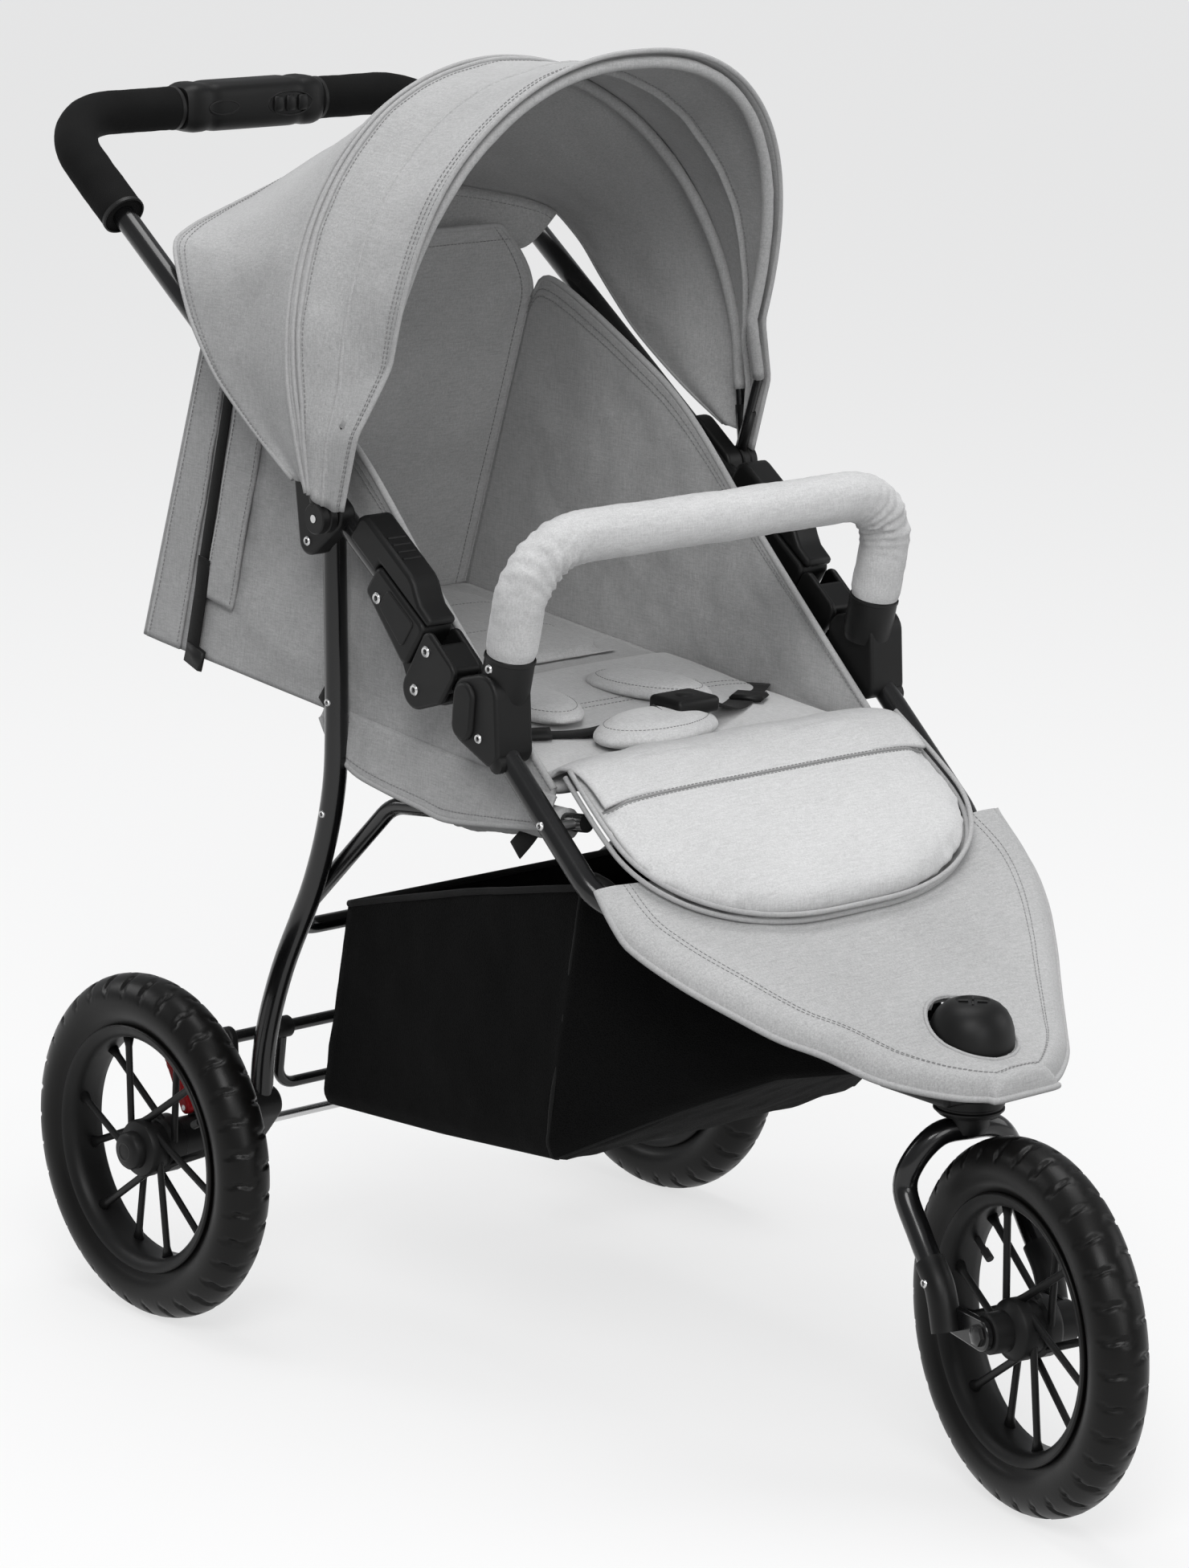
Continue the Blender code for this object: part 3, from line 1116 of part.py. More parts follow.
def build_upper_hinge(name, side, body, off, space):
    """Moving half of the fold hinge: a sleeve with a leaf between the cheeks."""
    outer = FRAME_HALF_WIDTH + CASING_HALF_WIDTH
    inner = FRAME_HALF_WIDTH - CASING_HALF_WIDTH
    axis = TUBE_HEIGHT_ABOVE_HINGE
    low = axis - SLEEVE_DROP
    top = axis + 0.0140
    sleeve = [(*hinge_point(SLEEVE_START + 0.008, low + 0.008), 0.008),
              (*hinge_point(SLEEVE_START + 0.008, top - 0.008), 0.008),
              (*hinge_point(SLEEVE_END - 0.006, low + 0.020), 0.006),
              (*hinge_point(SLEEVE_END - 0.006, top - 0.006), 0.006)]
    casing = side_plate("hinge_upper_" + name, sleeve, inner, outer, side, body, off, "black_plastic")
    leaf_half = FRAME_HALF_WIDTH - inner - CHEEK_THICKNESS - CLEARANCE
    leaf = [(HINGE_Y, HINGE_Z, LEAF_RADIUS), (*hinge_point(SLEEVE_START + 0.014, 0.010), 0.006)]
    leaf_plate = side_plate("hinge_leaf_" + name, leaf, FRAME_HALF_WIDTH - leaf_half, FRAME_HALF_WIDTH + leaf_half,
                            side, body, off)
    rivet_place = Vector((0.0, *hinge_point(SLEEVE_END - 0.016, low + 0.022)))
    rivet = rod("sleeve_rivet_" + name, at(side, outer - 0.001, rivet_place),
                at(side, outer + RIVET_HEIGHT, rivet_place), RIVET_RADIUS, body, off, sides=10)
    hole = rod("leaf_hole_" + name, at(side, inner - 0.01, HINGE), at(side, outer + 0.01, HINGE),
               clear_radius(HINGE_PIN_RADIUS), body, off)
    joined(casing, leaf_plate, rivet)
    cut(casing, space, hole)


def build_bracket(name, side, body, off, space):
    """Bracket that clips the handle tube and carries the canopy and a rear leg."""
    tube_place = KINK + UPPER * (LEG_PIVOT_Y + 0.004 - KINK_Y) / UPPER.y
    discs = [(tube_place.y, tube_place.z, 0.0150), (LEG_PIVOT_Y, LEG_PIVOT_Z, 0.0120),
             (CANOPY_PIVOT_Y, CANOPY_PIVOT_Z, BOW_HUB_RADIUS)]
    bracket = side_plate("canopy_bracket_" + name, discs, BRACKET_INNER_X, BRACKET_OUTER_X, side, body, off,
                         "black_plastic")
    leg_stub = rod("leg_stub_" + name, at(side, LEG_HALF_WIDTH - 0.004, LEG_PIVOT),
                   at(side, BRACKET_INNER_X + 0.004, LEG_PIVOT), LEG_PIN_RADIUS, body, off)
    end = MAIN_HUB_X + BOW_HUB_THICKNESS / 2 + 0.0008
    bow_stub = rod("bow_stub_" + name, at(side, BRACKET_OUTER_X - 0.004, CANOPY_PIVOT),
                   at(side, end, CANOPY_PIVOT), BOW_PIN_RADIUS, body, off)
    cut(bracket, space)
    joined(bracket, leg_stub, bow_stub)


def build_latch(name, side, space):
    """Sliding latch that rides on the handle tube above the hinge sleeve."""
    body, off = BODIES["fold_latch_" + name], -BODY_PIVOTS["fold_latch_" + name]
    sleeve_top = TUBE_HEIGHT_ABOVE_HINGE + 0.0140 + CLEARANCE
    start = SLEEVE_START - 0.0004
    end = start + LATCH_LENGTH
    low_back = TUBE_HEIGHT_ABOVE_HINGE + 0.004
    top = sleeve_top + LATCH_HEIGHT
    outline = [hinge_point(*place) for place in (
        (start, sleeve_top), (SLEEVE_END + 0.001, sleeve_top), (SLEEVE_END + 0.001, low_back), (end, low_back),
        (end, top - 0.008), (end - 0.004, top - 0.002), (end - 0.010, top), (start + 0.042, top),
        (start + 0.032, top - 0.003), (start + 0.022, top - 0.010), (start, top - 0.012))]
    low, high = sorted((side * (FRAME_HALF_WIDTH - LATCH_HALF_WIDTH), side * (FRAME_HALF_WIDTH + LATCH_HALF_WIDTH)))
    latch = plate("fold_latch_" + name, outline, low, high, body, off, "black_plastic")
    latch_space = rod("latch_tube_space_" + name, at(side, FRAME_HALF_WIDTH, KINK + UPPER * 0.03),
                      at(side, FRAME_HALF_WIDTH, KINK + UPPER * 0.25), clear_radius(TUBE_RADIUS), body, off)
    cut(latch, latch_space)


def arch_steps(count):
    """Evenly spread values from -1 to 1."""
    return [-1 + 2 * index / count for index in range(count + 1)]


def build_bow(kind, name, hub_x, body_name):
    """One canopy bow: a bent rod with a pivot eye at each foot."""
    body, off = BODIES[body_name], -CANOPY_PIVOT
    inset = CANOPY_CLOTH + CANOPY_CLOTH_GAP + BOW_ROD_RADIUS / math.cos(math.pi / 8)
    setback = FRONT_BOW_SETBACK if kind == "front" else 0.0
    path = []
    for t in arch_steps(ARCH_COLUMNS):
        back = setback * max(0.0, 1 - (t / FRONT_BOW_SETBACK_END) ** 4)
        path.append(arch_point(kind, t, inset + back))
    angle = math.radians(MAIN_BOW_ANGLE_DEG if kind == "main" else FRONT_BOW_ANGLE_DEG)
    rise = Vector((0.0, math.cos(angle), math.sin(angle)))
    feet = [CANOPY_PIVOT + rise * 0.009 + Vector((side * hub_x, 0.0, 0.0)) for side in (-1, 1)]
    bow = tube(name, [feet[0]] + path + [feet[1]], BOW_ROD_RADIUS, body, off, "black_paint", sides=8)
    for label, side in SIDES:
        face = BOW_HUB_THICKNESS / 2
        eye = rod(name + "_eye_" + label, at(side, hub_x - face, CANOPY_PIVOT), at(side, hub_x + face, CANOPY_PIVOT),
                  BOW_HUB_RADIUS, body, off, sides=16)
        hole = rod(name + "_hole_" + label, at(side, hub_x - 0.01, CANOPY_PIVOT),
                   at(side, hub_x + 0.01, CANOPY_PIVOT), clear_radius(BOW_PIN_RADIUS), body, off)
        joined(bow, eye)
        cut(bow, hole)
    return bow


def build_canopy():
    """Canopy bows, and the cloth behind and in front of the main bow."""
    build_bow("main", "main_bow", MAIN_HUB_X, "main_bow")
    build_bow("front", "front_bow", FRONT_HUB_X, "front_bow")

    def visor(u, v):
        share = (v + 1) / 2
        back = arch_point("main", u, 0.0, 2 * CLEARANCE)
        front = arch_point("front", u, 0.0, 0.004)
        place = back.lerp(front, share)
        sag = CANOPY_SAG * math.sin(math.pi * share) * (1 - abs(u) ** 3)
        inward = (CANOPY_PIVOT + Vector((0.0, 0.0, 0.10)) - place).normalized()
        return place + inward * sag

    def rear_panel(u, v):
        share = (v + 1) / 2
        front = arch_point("main", u, 0.0, -2 * CLEARANCE)
        place = rear_edge_point(u).lerp(front, share)
        sag = 0.5 * CANOPY_SAG * math.sin(math.pi * share) * (1 - abs(u) ** 3)
        inward = (CANOPY_PIVOT + Vector((0.0, 0.10, 0.10)) - place).normalized()
        return place + inward * sag

    visor_cloth = sheet("canopy_visor", ARCH_COLUMNS, 5, visor, CANOPY_CLOTH, BODIES["main_bow"], -CANOPY_PIVOT,
                        "grey_cloth")
    visor_cloth.modifiers["cloth_thickness"].offset = 1.0
    rear_cloth = sheet("canopy_rear_panel", ARCH_COLUMNS, 4, rear_panel, CANOPY_CLOTH, BODIES["handle"], -HINGE,
                       "grey_cloth")
    rear_cloth.modifiers["cloth_thickness"].offset = 1.0


def leg_path(side):
    """Centre line of one rear leg, from its pivot to the axle block."""
    points = ((-0.125, LEG_PIVOT_Z + 0.012), (-0.126, 0.674), (-0.130, 0.536), (-0.125, 0.466), (-0.102, 0.392),
              (-0.058, 0.305), (-0.034, 0.235), (-0.027, 0.172))
    return smooth_path([Vector((side * LEG_HALF_WIDTH, y, z)) for y, z in points])


def build_rear_legs():
    """Curved rear legs with the crossbar, the axle and its end blocks."""
    body, off = BODIES["rear_legs"], -LEG_PIVOT
    rod("rear_crossbar", (-0.2122, 0.0, CROSSBAR_Z), (0.2122, 0.0, CROSSBAR_Z), CROSSBAR_RADIUS, body, off,
        "black_paint")
    rod("rear_axle", (-LEG_HALF_WIDTH - 0.010, 0.0, WHEEL_RADIUS), (LEG_HALF_WIDTH + 0.010, 0.0, WHEEL_RADIUS),
        AXLE_ROD_RADIUS, body, off, "black_paint")
    crossbar_hole = rod("crossbar_space", (-0.2125, 0.0, CROSSBAR_Z), (0.2125, 0.0, CROSSBAR_Z),
                        clear_radius(CROSSBAR_RADIUS), body, off)
    axle_hole = rod("axle_space", (-LEG_HALF_WIDTH - 0.0103, 0.0, WHEEL_RADIUS),
                    (LEG_HALF_WIDTH + 0.0103, 0.0, WHEEL_RADIUS), clear_radius(AXLE_ROD_RADIUS), body, off)
    for name, side in SIDES:
        path = leg_path(side)
        leg = tube("rear_leg_" + name, path, TUBE_RADIUS, body, off, "black_paint")
        pin_hole = rod("leg_pin_hole_" + name, at(side, LEG_HALF_WIDTH - 0.0043, LEG_PIVOT),
                       at(side, BRACKET_INNER_X + 0.01, LEG_PIVOT), clear_radius(LEG_PIN_RADIUS), body, off)
        cut(leg, pin_hole)
        leg_space = tube("leg_space_" + name, path[:-1] + [path[-1] + Vector((0, 0, -CLEARANCE))],
                         clear_radius(TUBE_RADIUS), body, off)
        build_axle_block(name, side, body, off, (leg_space, crossbar_hole, axle_hole))


def build_axle_block(name, side, body, off, spaces):
    """Block that holds a leg's foot and the axle, with the wheel's stub axle."""
    foot = [(-0.027, 0.176, 0.0150), (0.0, WHEEL_RADIUS, 0.0190)]
    block = side_plate("axle_block_" + name, foot, AXLE_PLATE_X - 0.006, 0.2140, side, body, off, "black_plastic")
    ear = side_plate("crossbar_ear_" + name, [(0.0, WHEEL_RADIUS, 0.0160), (0.0, CROSSBAR_Z, 0.0105)],
                     0.2056, 0.2139, side, body, off)
    housing = rod("axle_housing_" + name, at(side, 0.2100, AXLE), at(side, AXLE_HOUSING_END_X, AXLE),
                  AXLE_HOUSING_RADIUS, body, off, sides=16)
    stub_end = WHEEL_TRACK_HALF + 0.0150
    stub = rod("stub_axle_" + name, at(side, AXLE_HOUSING_END_X - 0.004, AXLE), at(side, stub_end, AXLE),
               AXLE_RADIUS, body, off, sides=16)
    lever_low = LEVER_X - LEVER_THICKNESS / 2 - CLEARANCE
    fork_ear = side_plate("lever_ear_" + name, [(0.0, WHEEL_RADIUS, 0.0100), (LEVER_PIVOT_Y, LEVER_PIVOT_Z, 0.0060)],
                          lever_low - 0.004, lever_low, side, body, off)
    pin = rod("lever_pin_" + name, at(side, lever_low - 0.002, LEVER_PIVOT),
              at(side, LEVER_X + LEVER_THICKNESS / 2 + 0.0005, LEVER_PIVOT), 0.0025, body, off, sides=10)
    joined(block, ear, housing)
    cut(block, *spaces)
    joined(block, stub, fork_ear, pin)
    build_lever(name, side)


def build_lever(name, side):
    """Quick-release lever of one rear wheel."""
    body_name = "quick_release_" + name
    body, off = BODIES[body_name], -BODY_PIVOTS[body_name]
    discs = [(LEVER_PIVOT_Y, LEVER_PIVOT_Z, 0.0060), (LEVER_TIP_Y, LEVER_TIP_Z, 0.0070)]
    lever = side_plate("quick_release_lever_" + name, discs, LEVER_X - LEVER_THICKNESS / 2,
                       LEVER_X + LEVER_THICKNESS / 2, side, body, off, "red_plastic")
    hole = rod("lever_hole_" + name, at(side, LEVER_X - 0.01, LEVER_PIVOT), at(side, LEVER_X + 0.01, LEVER_PIVOT),
               clear_radius(0.0025, 10), body, off, sides=10)
    cut(lever, hole)


def build_brake():
    """Foot brake bar that swings on the rear crossbar."""
    body, off = BODIES["brake_bar"], -CROSSBAR
    tops = [Vector((side * BRAKE_HALF_WIDTH, 0.0, CROSSBAR_Z - 0.008)) for side in (-1, 1)]
    feet = [Vector((side * BRAKE_HALF_WIDTH, 0.006, BRAKE_FOOT_Z)) for side in (-1, 1)]
    path = fillet_path((tops[0], feet[0], feet[1], tops[1]), (0.018, 0.018), 22.5)
    bar = tube("brake_bar", path, BRAKE_RADIUS, body, off, "black_paint", sides=8)
    eyes, holes = [], []
    for name, side in SIDES:
        low, high = BRAKE_HALF_WIDTH - 0.008, BRAKE_HALF_WIDTH + 0.008
        eyes.append(rod("brake_eye_" + name, at(side, low, CROSSBAR), at(side, high, CROSSBAR), BRAKE_SLEEVE_RADIUS,
                        body, off))
        holes.append(rod("brake_hole_" + name, at(side, low - 0.01, CROSSBAR), at(side, high + 0.01, CROSSBAR),
                         clear_radius(CROSSBAR_RADIUS), body, off))
    joined(bar, *eyes)
    cut(bar, *holes)


def build_seat_rail():
    """Bent rail under the seat, pivoted on the front tubes."""
    body, off = BODIES["seat_rail"], -RAIL_FRONT
    ends = [at(side, RAIL_HALF_WIDTH, RAIL_FRONT - (RAIL_BEND - RAIL_FRONT).normalized() * 0.009)
            for side in (-1, 1)]
    bends = [at(side, RAIL_HALF_WIDTH, RAIL_BEND) for side in (-1, 1)]
    rears = [at(side, RAIL_HALF_WIDTH, RAIL_REAR) for side in (-1, 1)]
    path = fillet_path((ends[0], bends[0], rears[0], rears[1], bends[1], ends[1]), (0.05, 0.035, 0.035, 0.05), 22.5)
    rail = tube("seat_rail", path, RAIL_RADIUS, body, off, "black_paint", sides=8)
    leg_face = LEG_HALF_WIDTH - TUBE_RADIUS - CLEARANCE
    for name, side in SIDES:
        front_stub = rod("rail_stub_" + name, at(side, RAIL_HALF_WIDTH, RAIL_FRONT),
                         at(side, FRAME_HALF_WIDTH - 0.0035, RAIL_FRONT), LEG_PIN_RADIUS, body, off)
        link_boss = rod("rail_boss_" + name, at(side, RAIL_HALF_WIDTH, RAIL_LINK), at(side, leg_face, RAIL_LINK),
                        0.0060, body, off)
        joined(rail, front_stub, link_boss)


def build_fork():
    """Front fork, its axle and the swivel-lock knob, about the steering axis."""
    body, off = BODIES["fork"], Vector()
    side_run = ((0.0, 0.0, FORK_CROWN_Z), (FORK_HALF_WIDTH * 0.52, 0.002, FORK_CROWN_Z - 0.003),
                (FORK_HALF_WIDTH * 0.90, 0.007, FORK_CROWN_Z - 0.024), (FORK_HALF_WIDTH, 0.010, 0.236),
                (FORK_HALF_WIDTH, -0.016, 0.205), (FORK_HALF_WIDTH, -0.047, 0.172), (FORK_HALF_WIDTH, -0.058, 0.142))
    right = [Vector((-x, y, z)) for x, y, z in reversed(side_run)]
    left = [Vector(point) for point in side_run[1:]]
    fork = tube("fork", smooth_path(right + left), FORK_TUBE_RADIUS, body, off, "black_paint", sides=10)
    race = rod("crown_race", (0, 0, FORK_CROWN_Z - 0.002), (0, 0, COLLAR_BOTTOM_Z - CLEARANCE), CROWN_RACE_RADIUS,
               body, off, sides=16)
    steerer = rod("steerer", (0, 0, FORK_CROWN_Z), (0, 0, STEERER_TOP_Z), STEERER_RADIUS, body, off, sides=16)
    joined(fork, race, steerer)
    centre = Vector((0.0, -CASTER_TRAIL, WHEEL_RADIUS))
    inner_face = FRONT_HUB_HALF + CLEARANCE
    for name, side in SIDES:
        discs = [(-0.056, 0.150, 0.0110), (-CASTER_TRAIL, WHEEL_RADIUS, 0.0130)]
        dropout = side_plate("dropout_" + name, discs, inner_face, inner_face + DROPOUT_THICKNESS, side, body, off)
        joined(fork, dropout)
    outer = inner_face + DROPOUT_THICKNESS
    hole = rod("front_axle_space", centre - Vector((0.08, 0, 0)), centre + Vector((0.08, 0, 0)),
               clear_radius(AXLE_RADIUS, 16), body, off, sides=16)
    cut(fork, hole)
    head = AXLE_RADIUS + 0.003
    profile = [(0.0, outer + 0.005), (head, outer + 0.005), (head, outer + CLEARANCE), (AXLE_RADIUS, outer + CLEARANCE),
               (AXLE_RADIUS, -outer - CLEARANCE), (head, -outer - CLEARANCE), (head, -outer - 0.005),
               (0.0, -outer - 0.005)]
    axle = turned("front_axle", profile, body, centre, "steel", steps=16)
    axle.rotation_euler = (0.0, math.pi / 2, 0.0)
    knob_bottom = HEAD_BLOCK_TOP_Z - KNOB_RECESS + CLEARANCE
    top = knob_bottom + KNOB_HEIGHT
    knob_profile = [(0.0, top), (KNOB_RADIUS * 0.45, top - 0.001), (KNOB_RADIUS * 0.75, top - 0.006),
                    (KNOB_RADIUS * 0.93, top - 0.016), (KNOB_RADIUS, top - 0.030), (KNOB_RADIUS, knob_bottom + 0.003),
                    (KNOB_RADIUS - 0.003, knob_bottom), (KNOB_STEM_RADIUS, knob_bottom),
                    (KNOB_STEM_RADIUS, HEAD_BLOCK_TOP_Z - KNOB_STEM_DEPTH), (0.0, HEAD_BLOCK_TOP_Z - KNOB_STEM_DEPTH)]
    turned("swivel_knob", knob_profile, BODIES["swivel_knob"], Vector(), "black_plastic", steps=20)


def build_wheels():
    """The three wheels, each about its own axle."""
    bore = clear_radius(AXLE_RADIUS, 16)
    front_profile = [(HUB_CAP_RADIUS, FRONT_HUB_HALF), (HUB_CAP_RADIUS, 0.022), (HUB_RADIUS, 0.017),
                     (HUB_RADIUS, -0.017), (HUB_CAP_RADIUS, -0.022), (HUB_CAP_RADIUS, -FRONT_HUB_HALF),
                     (bore, -FRONT_HUB_HALF), (bore, FRONT_HUB_HALF)]
    wheel("front", BODIES["front_wheel"], front_profile, True)
    for name, side in SIDES:
        end = 0.0150 + CLEARANCE
        rear_profile = [(0.0, REAR_HUB_OUTER), (HUB_CAP_RADIUS - 0.004, REAR_HUB_OUTER),
                        (HUB_CAP_RADIUS, REAR_HUB_OUTER - 0.003), (HUB_CAP_RADIUS, 0.018), (HUB_RADIUS, 0.014),
                        (HUB_RADIUS, -REAR_HUB_INNER), (bore, -REAR_HUB_INNER), (bore, end), (0.0, end)]
        body = BODIES["wheel_" + name]
        wheel("rear_" + name, body, rear_profile, False)
        if side < 0:
            bpy.data.objects["rear_right_hub_form"].rotation_euler = (0.0, -math.pi / 2, 0.0)


def build_bodies():
    """Empties on the joint axes, in the order parent before child."""
    root = bpy.data.objects.new("stroller_frame", None)
    PARTS.objects.link(root)
    root.location = (0.0, REAR_AXLE_Y, 0.0)
    button_centre = Vector((FOLD_BUTTON_X, HANDLE_CORNER.y - FOLD_HOUSING_SIZE / 2, HANDLE_CORNER.z))
    plan = [
        ("front_frame", Vector(), None), ("handle", HINGE, "front_frame"),
        ("fold_button", button_centre, "handle"), ("main_bow", CANOPY_PIVOT, "handle"),
        ("front_bow", CANOPY_PIVOT, "main_bow"), ("rear_legs", LEG_PIVOT, "handle"),
        ("brake_bar", CROSSBAR, "rear_legs"), ("seat_rail", RAIL_FRONT, "front_frame"),
        ("backrest", BACKREST_PIVOT, "front_frame"), ("bumper_bar", BUMPER_CORNER, "front_frame"),
        ("swivel_knob", Vector((0.0, HEAD_Y, 0.0)), "front_frame"),
    ]
    for name, side in SIDES:
        latch = Vector((side * FRAME_HALF_WIDTH, *hinge_point(SLEEVE_START + LATCH_LENGTH / 2, 0.06)))
        button = Vector((side * SOCKET_OUTER_X, *bumper_button_places()[0]))
        plan += [("fold_latch_" + name, latch, "handle"), ("bumper_button_" + name, button, "front_frame"),
                 ("quick_release_" + name, at(side, LEVER_X, LEVER_PIVOT), "rear_legs"),
                 ("wheel_" + name, at(side, WHEEL_TRACK_HALF, AXLE), "rear_legs")]
    for name, pivot, parent in plan:
        BODY_PIVOTS[name] = pivot
        if parent is None:
            BODIES[name] = new_body(name + "_body", pivot, root)
        else:
            BODIES[name] = new_body(name + "_body", pivot, BODIES[parent], BODY_PIVOTS[parent])
    BODIES["fork"] = new_body("fork_body", Vector((0.0, HEAD_Y, 0.0)), BODIES["front_frame"],
                              turn=math.radians(STEER_REST_DEG))
    BODIES["front_wheel"] = new_body("front_wheel_body", Vector((0.0, -CASTER_TRAIL, WHEEL_RADIUS)), BODIES["fork"])


clear_scene()
PARTS = new_collection("stroller")
CUTTERS = new_collection("cutters")
MATERIALS = make_materials()
BODIES = {}
BODY_PIVOTS = {}
build_bodies()
build_front_frame()
build_seat()
build_backrest()
build_basket()
build_bumper()
build_handle()
build_canopy()
build_rear_legs()
build_brake()
build_seat_rail()
build_fork()
build_wheels()
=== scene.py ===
"""Finish of a three-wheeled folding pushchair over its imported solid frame.

Each sub-assembly is a dataclass that holds its own sizes, builds its pieces and
hangs them on the body that carries them.  Lengths are in metres and +Z is up.
Pieces are drawn with y = 0 over the rear axle, and ``shifted`` moves them into
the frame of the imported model.
"""

import json
import logging
import math
from dataclasses import dataclass
from enum import Enum
from typing import Callable, Iterable, Sequence

import bmesh
import bpy
from mathutils import Matrix, Vector, noise
from mathutils.bvhtree import BVHTree
from mathutils.geometry import convex_hull_2d


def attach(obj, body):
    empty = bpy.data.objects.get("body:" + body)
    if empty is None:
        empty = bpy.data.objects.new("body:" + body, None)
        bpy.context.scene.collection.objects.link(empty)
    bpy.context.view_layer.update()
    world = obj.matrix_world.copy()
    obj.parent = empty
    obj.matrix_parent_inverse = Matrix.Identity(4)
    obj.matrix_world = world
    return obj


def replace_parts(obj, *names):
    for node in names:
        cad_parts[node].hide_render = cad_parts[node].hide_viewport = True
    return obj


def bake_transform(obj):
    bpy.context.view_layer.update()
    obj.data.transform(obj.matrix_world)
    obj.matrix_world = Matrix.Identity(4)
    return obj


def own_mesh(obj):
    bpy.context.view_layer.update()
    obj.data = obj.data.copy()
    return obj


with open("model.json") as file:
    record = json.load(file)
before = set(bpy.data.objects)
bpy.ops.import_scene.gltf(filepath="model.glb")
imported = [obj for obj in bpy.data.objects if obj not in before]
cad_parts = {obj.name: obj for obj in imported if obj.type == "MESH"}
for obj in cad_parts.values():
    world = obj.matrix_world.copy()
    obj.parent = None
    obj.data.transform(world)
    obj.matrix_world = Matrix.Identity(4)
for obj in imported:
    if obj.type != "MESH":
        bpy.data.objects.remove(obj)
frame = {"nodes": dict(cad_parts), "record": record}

LOG = logging.getLogger("pushchair")
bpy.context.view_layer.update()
REAR_AXLE_Y = 0.326

Surface = Callable[[float, float], Vector]


class Body(str, Enum):
    """Names of the rigid bodies that pieces ride on."""

    FRONT = "front_frame"
    HANDLE = "handle"
    LATCH_RIGHT = "latch_right"
    LATCH_LEFT = "latch_left"
    FOLD_RELEASE = "fold_release"
    CANOPY = "canopy_arch"
    CANOPY_FRONT = "canopy_front_arch"
    REAR = "rear_frame"
    BRAKE = "brake"
    LEVER_RIGHT = "wheel_lever_right"
    LEVER_LEFT = "wheel_lever_left"
    RAIL = "under_seat_rail"
    BACK = "seat_back"
    BUMPER = "bumper"
    BUMPER_RELEASE_RIGHT = "bumper_release_right"
    BUMPER_RELEASE_LEFT = "bumper_release_left"
    FORK = "steering_fork"
    WHEEL_FRONT = "wheel_front"
    WHEEL_RIGHT = "wheel_rear_right"
    WHEEL_LEFT = "wheel_rear_left"
    KNOB = "swivel_lock"


class Side(Enum):
    """The pushchair's own right (-X) and left (+X)."""

    RIGHT = -1
    LEFT = 1

    @property
    def label(self) -> str:
        """Lower-case name, as the nodes use it."""
        return self.name.lower()

    @property
    def out(self) -> Vector:
        """Outward direction."""
        return Vector((self.value, 0, 0))

    def at(self, x: float, y: float, z: float) -> Vector:
        """Place whose x is a distance out to this side."""
        return Vector((self.value * x, y, z))

    def body(self, name: str) -> Body:
        """This side's body of a pair."""
        return Body(f"{name}_{self.label}")


class Finish(Enum):
    """Material families, and the record's slot that each belongs to."""

    PAINT = "frame_paint"
    PLASTIC = "black_plastic"
    FOAM = "grip_foam"
    TYRE = "tyre_rubber"
    STEEL = "axle_steel"
    LINEN = "seat_fabric"
    PAD = "pad_fabric"
    MESH = "basket_mesh"
    RED = "lever_red"
    WEBBING = "black_webbing"
    THREAD = "stitching"
    PIPING = "piping"


UP = Vector((0, 0, 1))
DOWN = -UP


# Shader work


class ShaderKit:
    """Small helper that wires a node tree.

    Args:
        tree: The node tree that new nodes are added to.
    """

    def __init__(self, tree: bpy.types.NodeTree) -> None:
        self.tree = tree

    def feed(self, node: bpy.types.Node, values: dict) -> None:
        """Link or set a node's inputs, by name or number."""
        for key, value in values.items():
            if isinstance(value, bpy.types.NodeSocket):
                self.tree.links.new(value, node.inputs[key])
            else:
                node.inputs[key].default_value = value

    def node(self, kind: str, inputs: dict | None = None, **settings):
        """Add one node.

        Args:
            kind: Node type identifier.
            inputs: Links and values for its inputs.
            **settings: Attributes to set on the node.

        Returns:
            The new node.
        """
        made = self.tree.nodes.new(kind)
        for key, value in settings.items():
            setattr(made, key, value)
        self.feed(made, inputs or {})
        return made

    def math(self, operation: str, a, b, clamp: bool = False):
        """Math node's output, fed by sockets or numbers."""
        return self.node("ShaderNodeMath", {0: a, 1: b}, operation=operation, use_clamp=clamp).outputs[0]

    def highest(self, first, *others):
        """Largest of several values."""
        for other in others:
            first = self.math("MAXIMUM", first, other)
        return first

    def noise(self, vector, scale: float, detail: float = 2.0, roughness: float = 0.5):
        """Noise value over a vector."""
        inputs = {"Scale": scale, "Detail": detail, "Roughness": roughness, "Vector": vector}
        return self.node("ShaderNodeTexNoise", inputs).outputs["Fac"]

    def scaled(self, vector, amount):
        """Vector times one amount."""
        return self.node("ShaderNodeVectorMath", {0: vector, "Scale": amount}, operation="SCALE").outputs[0]

    def mix(self, factor, a, b):
        """Mix of two colours, each a socket or a tuple."""
        made = self.node("ShaderNodeMix", {0: factor}, data_type="RGBA")
        first, second = (i for i, socket in enumerate(made.inputs) if socket.type == "RGBA")
        self.feed(made, {first: a, second: b})
        return next(s for s in made.outputs if s.type == "RGBA")

    def remap(self, value, low: float, high: float, to_low: float, to_high: float):
        """Value carried from one range to another, clamped."""
        inputs = {"Value": value, "From Min": low, "From Max": high, "To Min": to_low, "To Max": to_high}
        return self.node("ShaderNodeMapRange", inputs).outputs["Result"]

    def bump(self, height, strength: float, distance: float, below: dict | None = None, invert: bool = False):
        """Normal raised by a height, over the normal in ``below`` if there is one."""
        inputs = {"Height": height, "Strength": strength, "Distance": distance, **(below or {})}
        return self.node("ShaderNodeBump", inputs, invert=invert).outputs["Normal"]


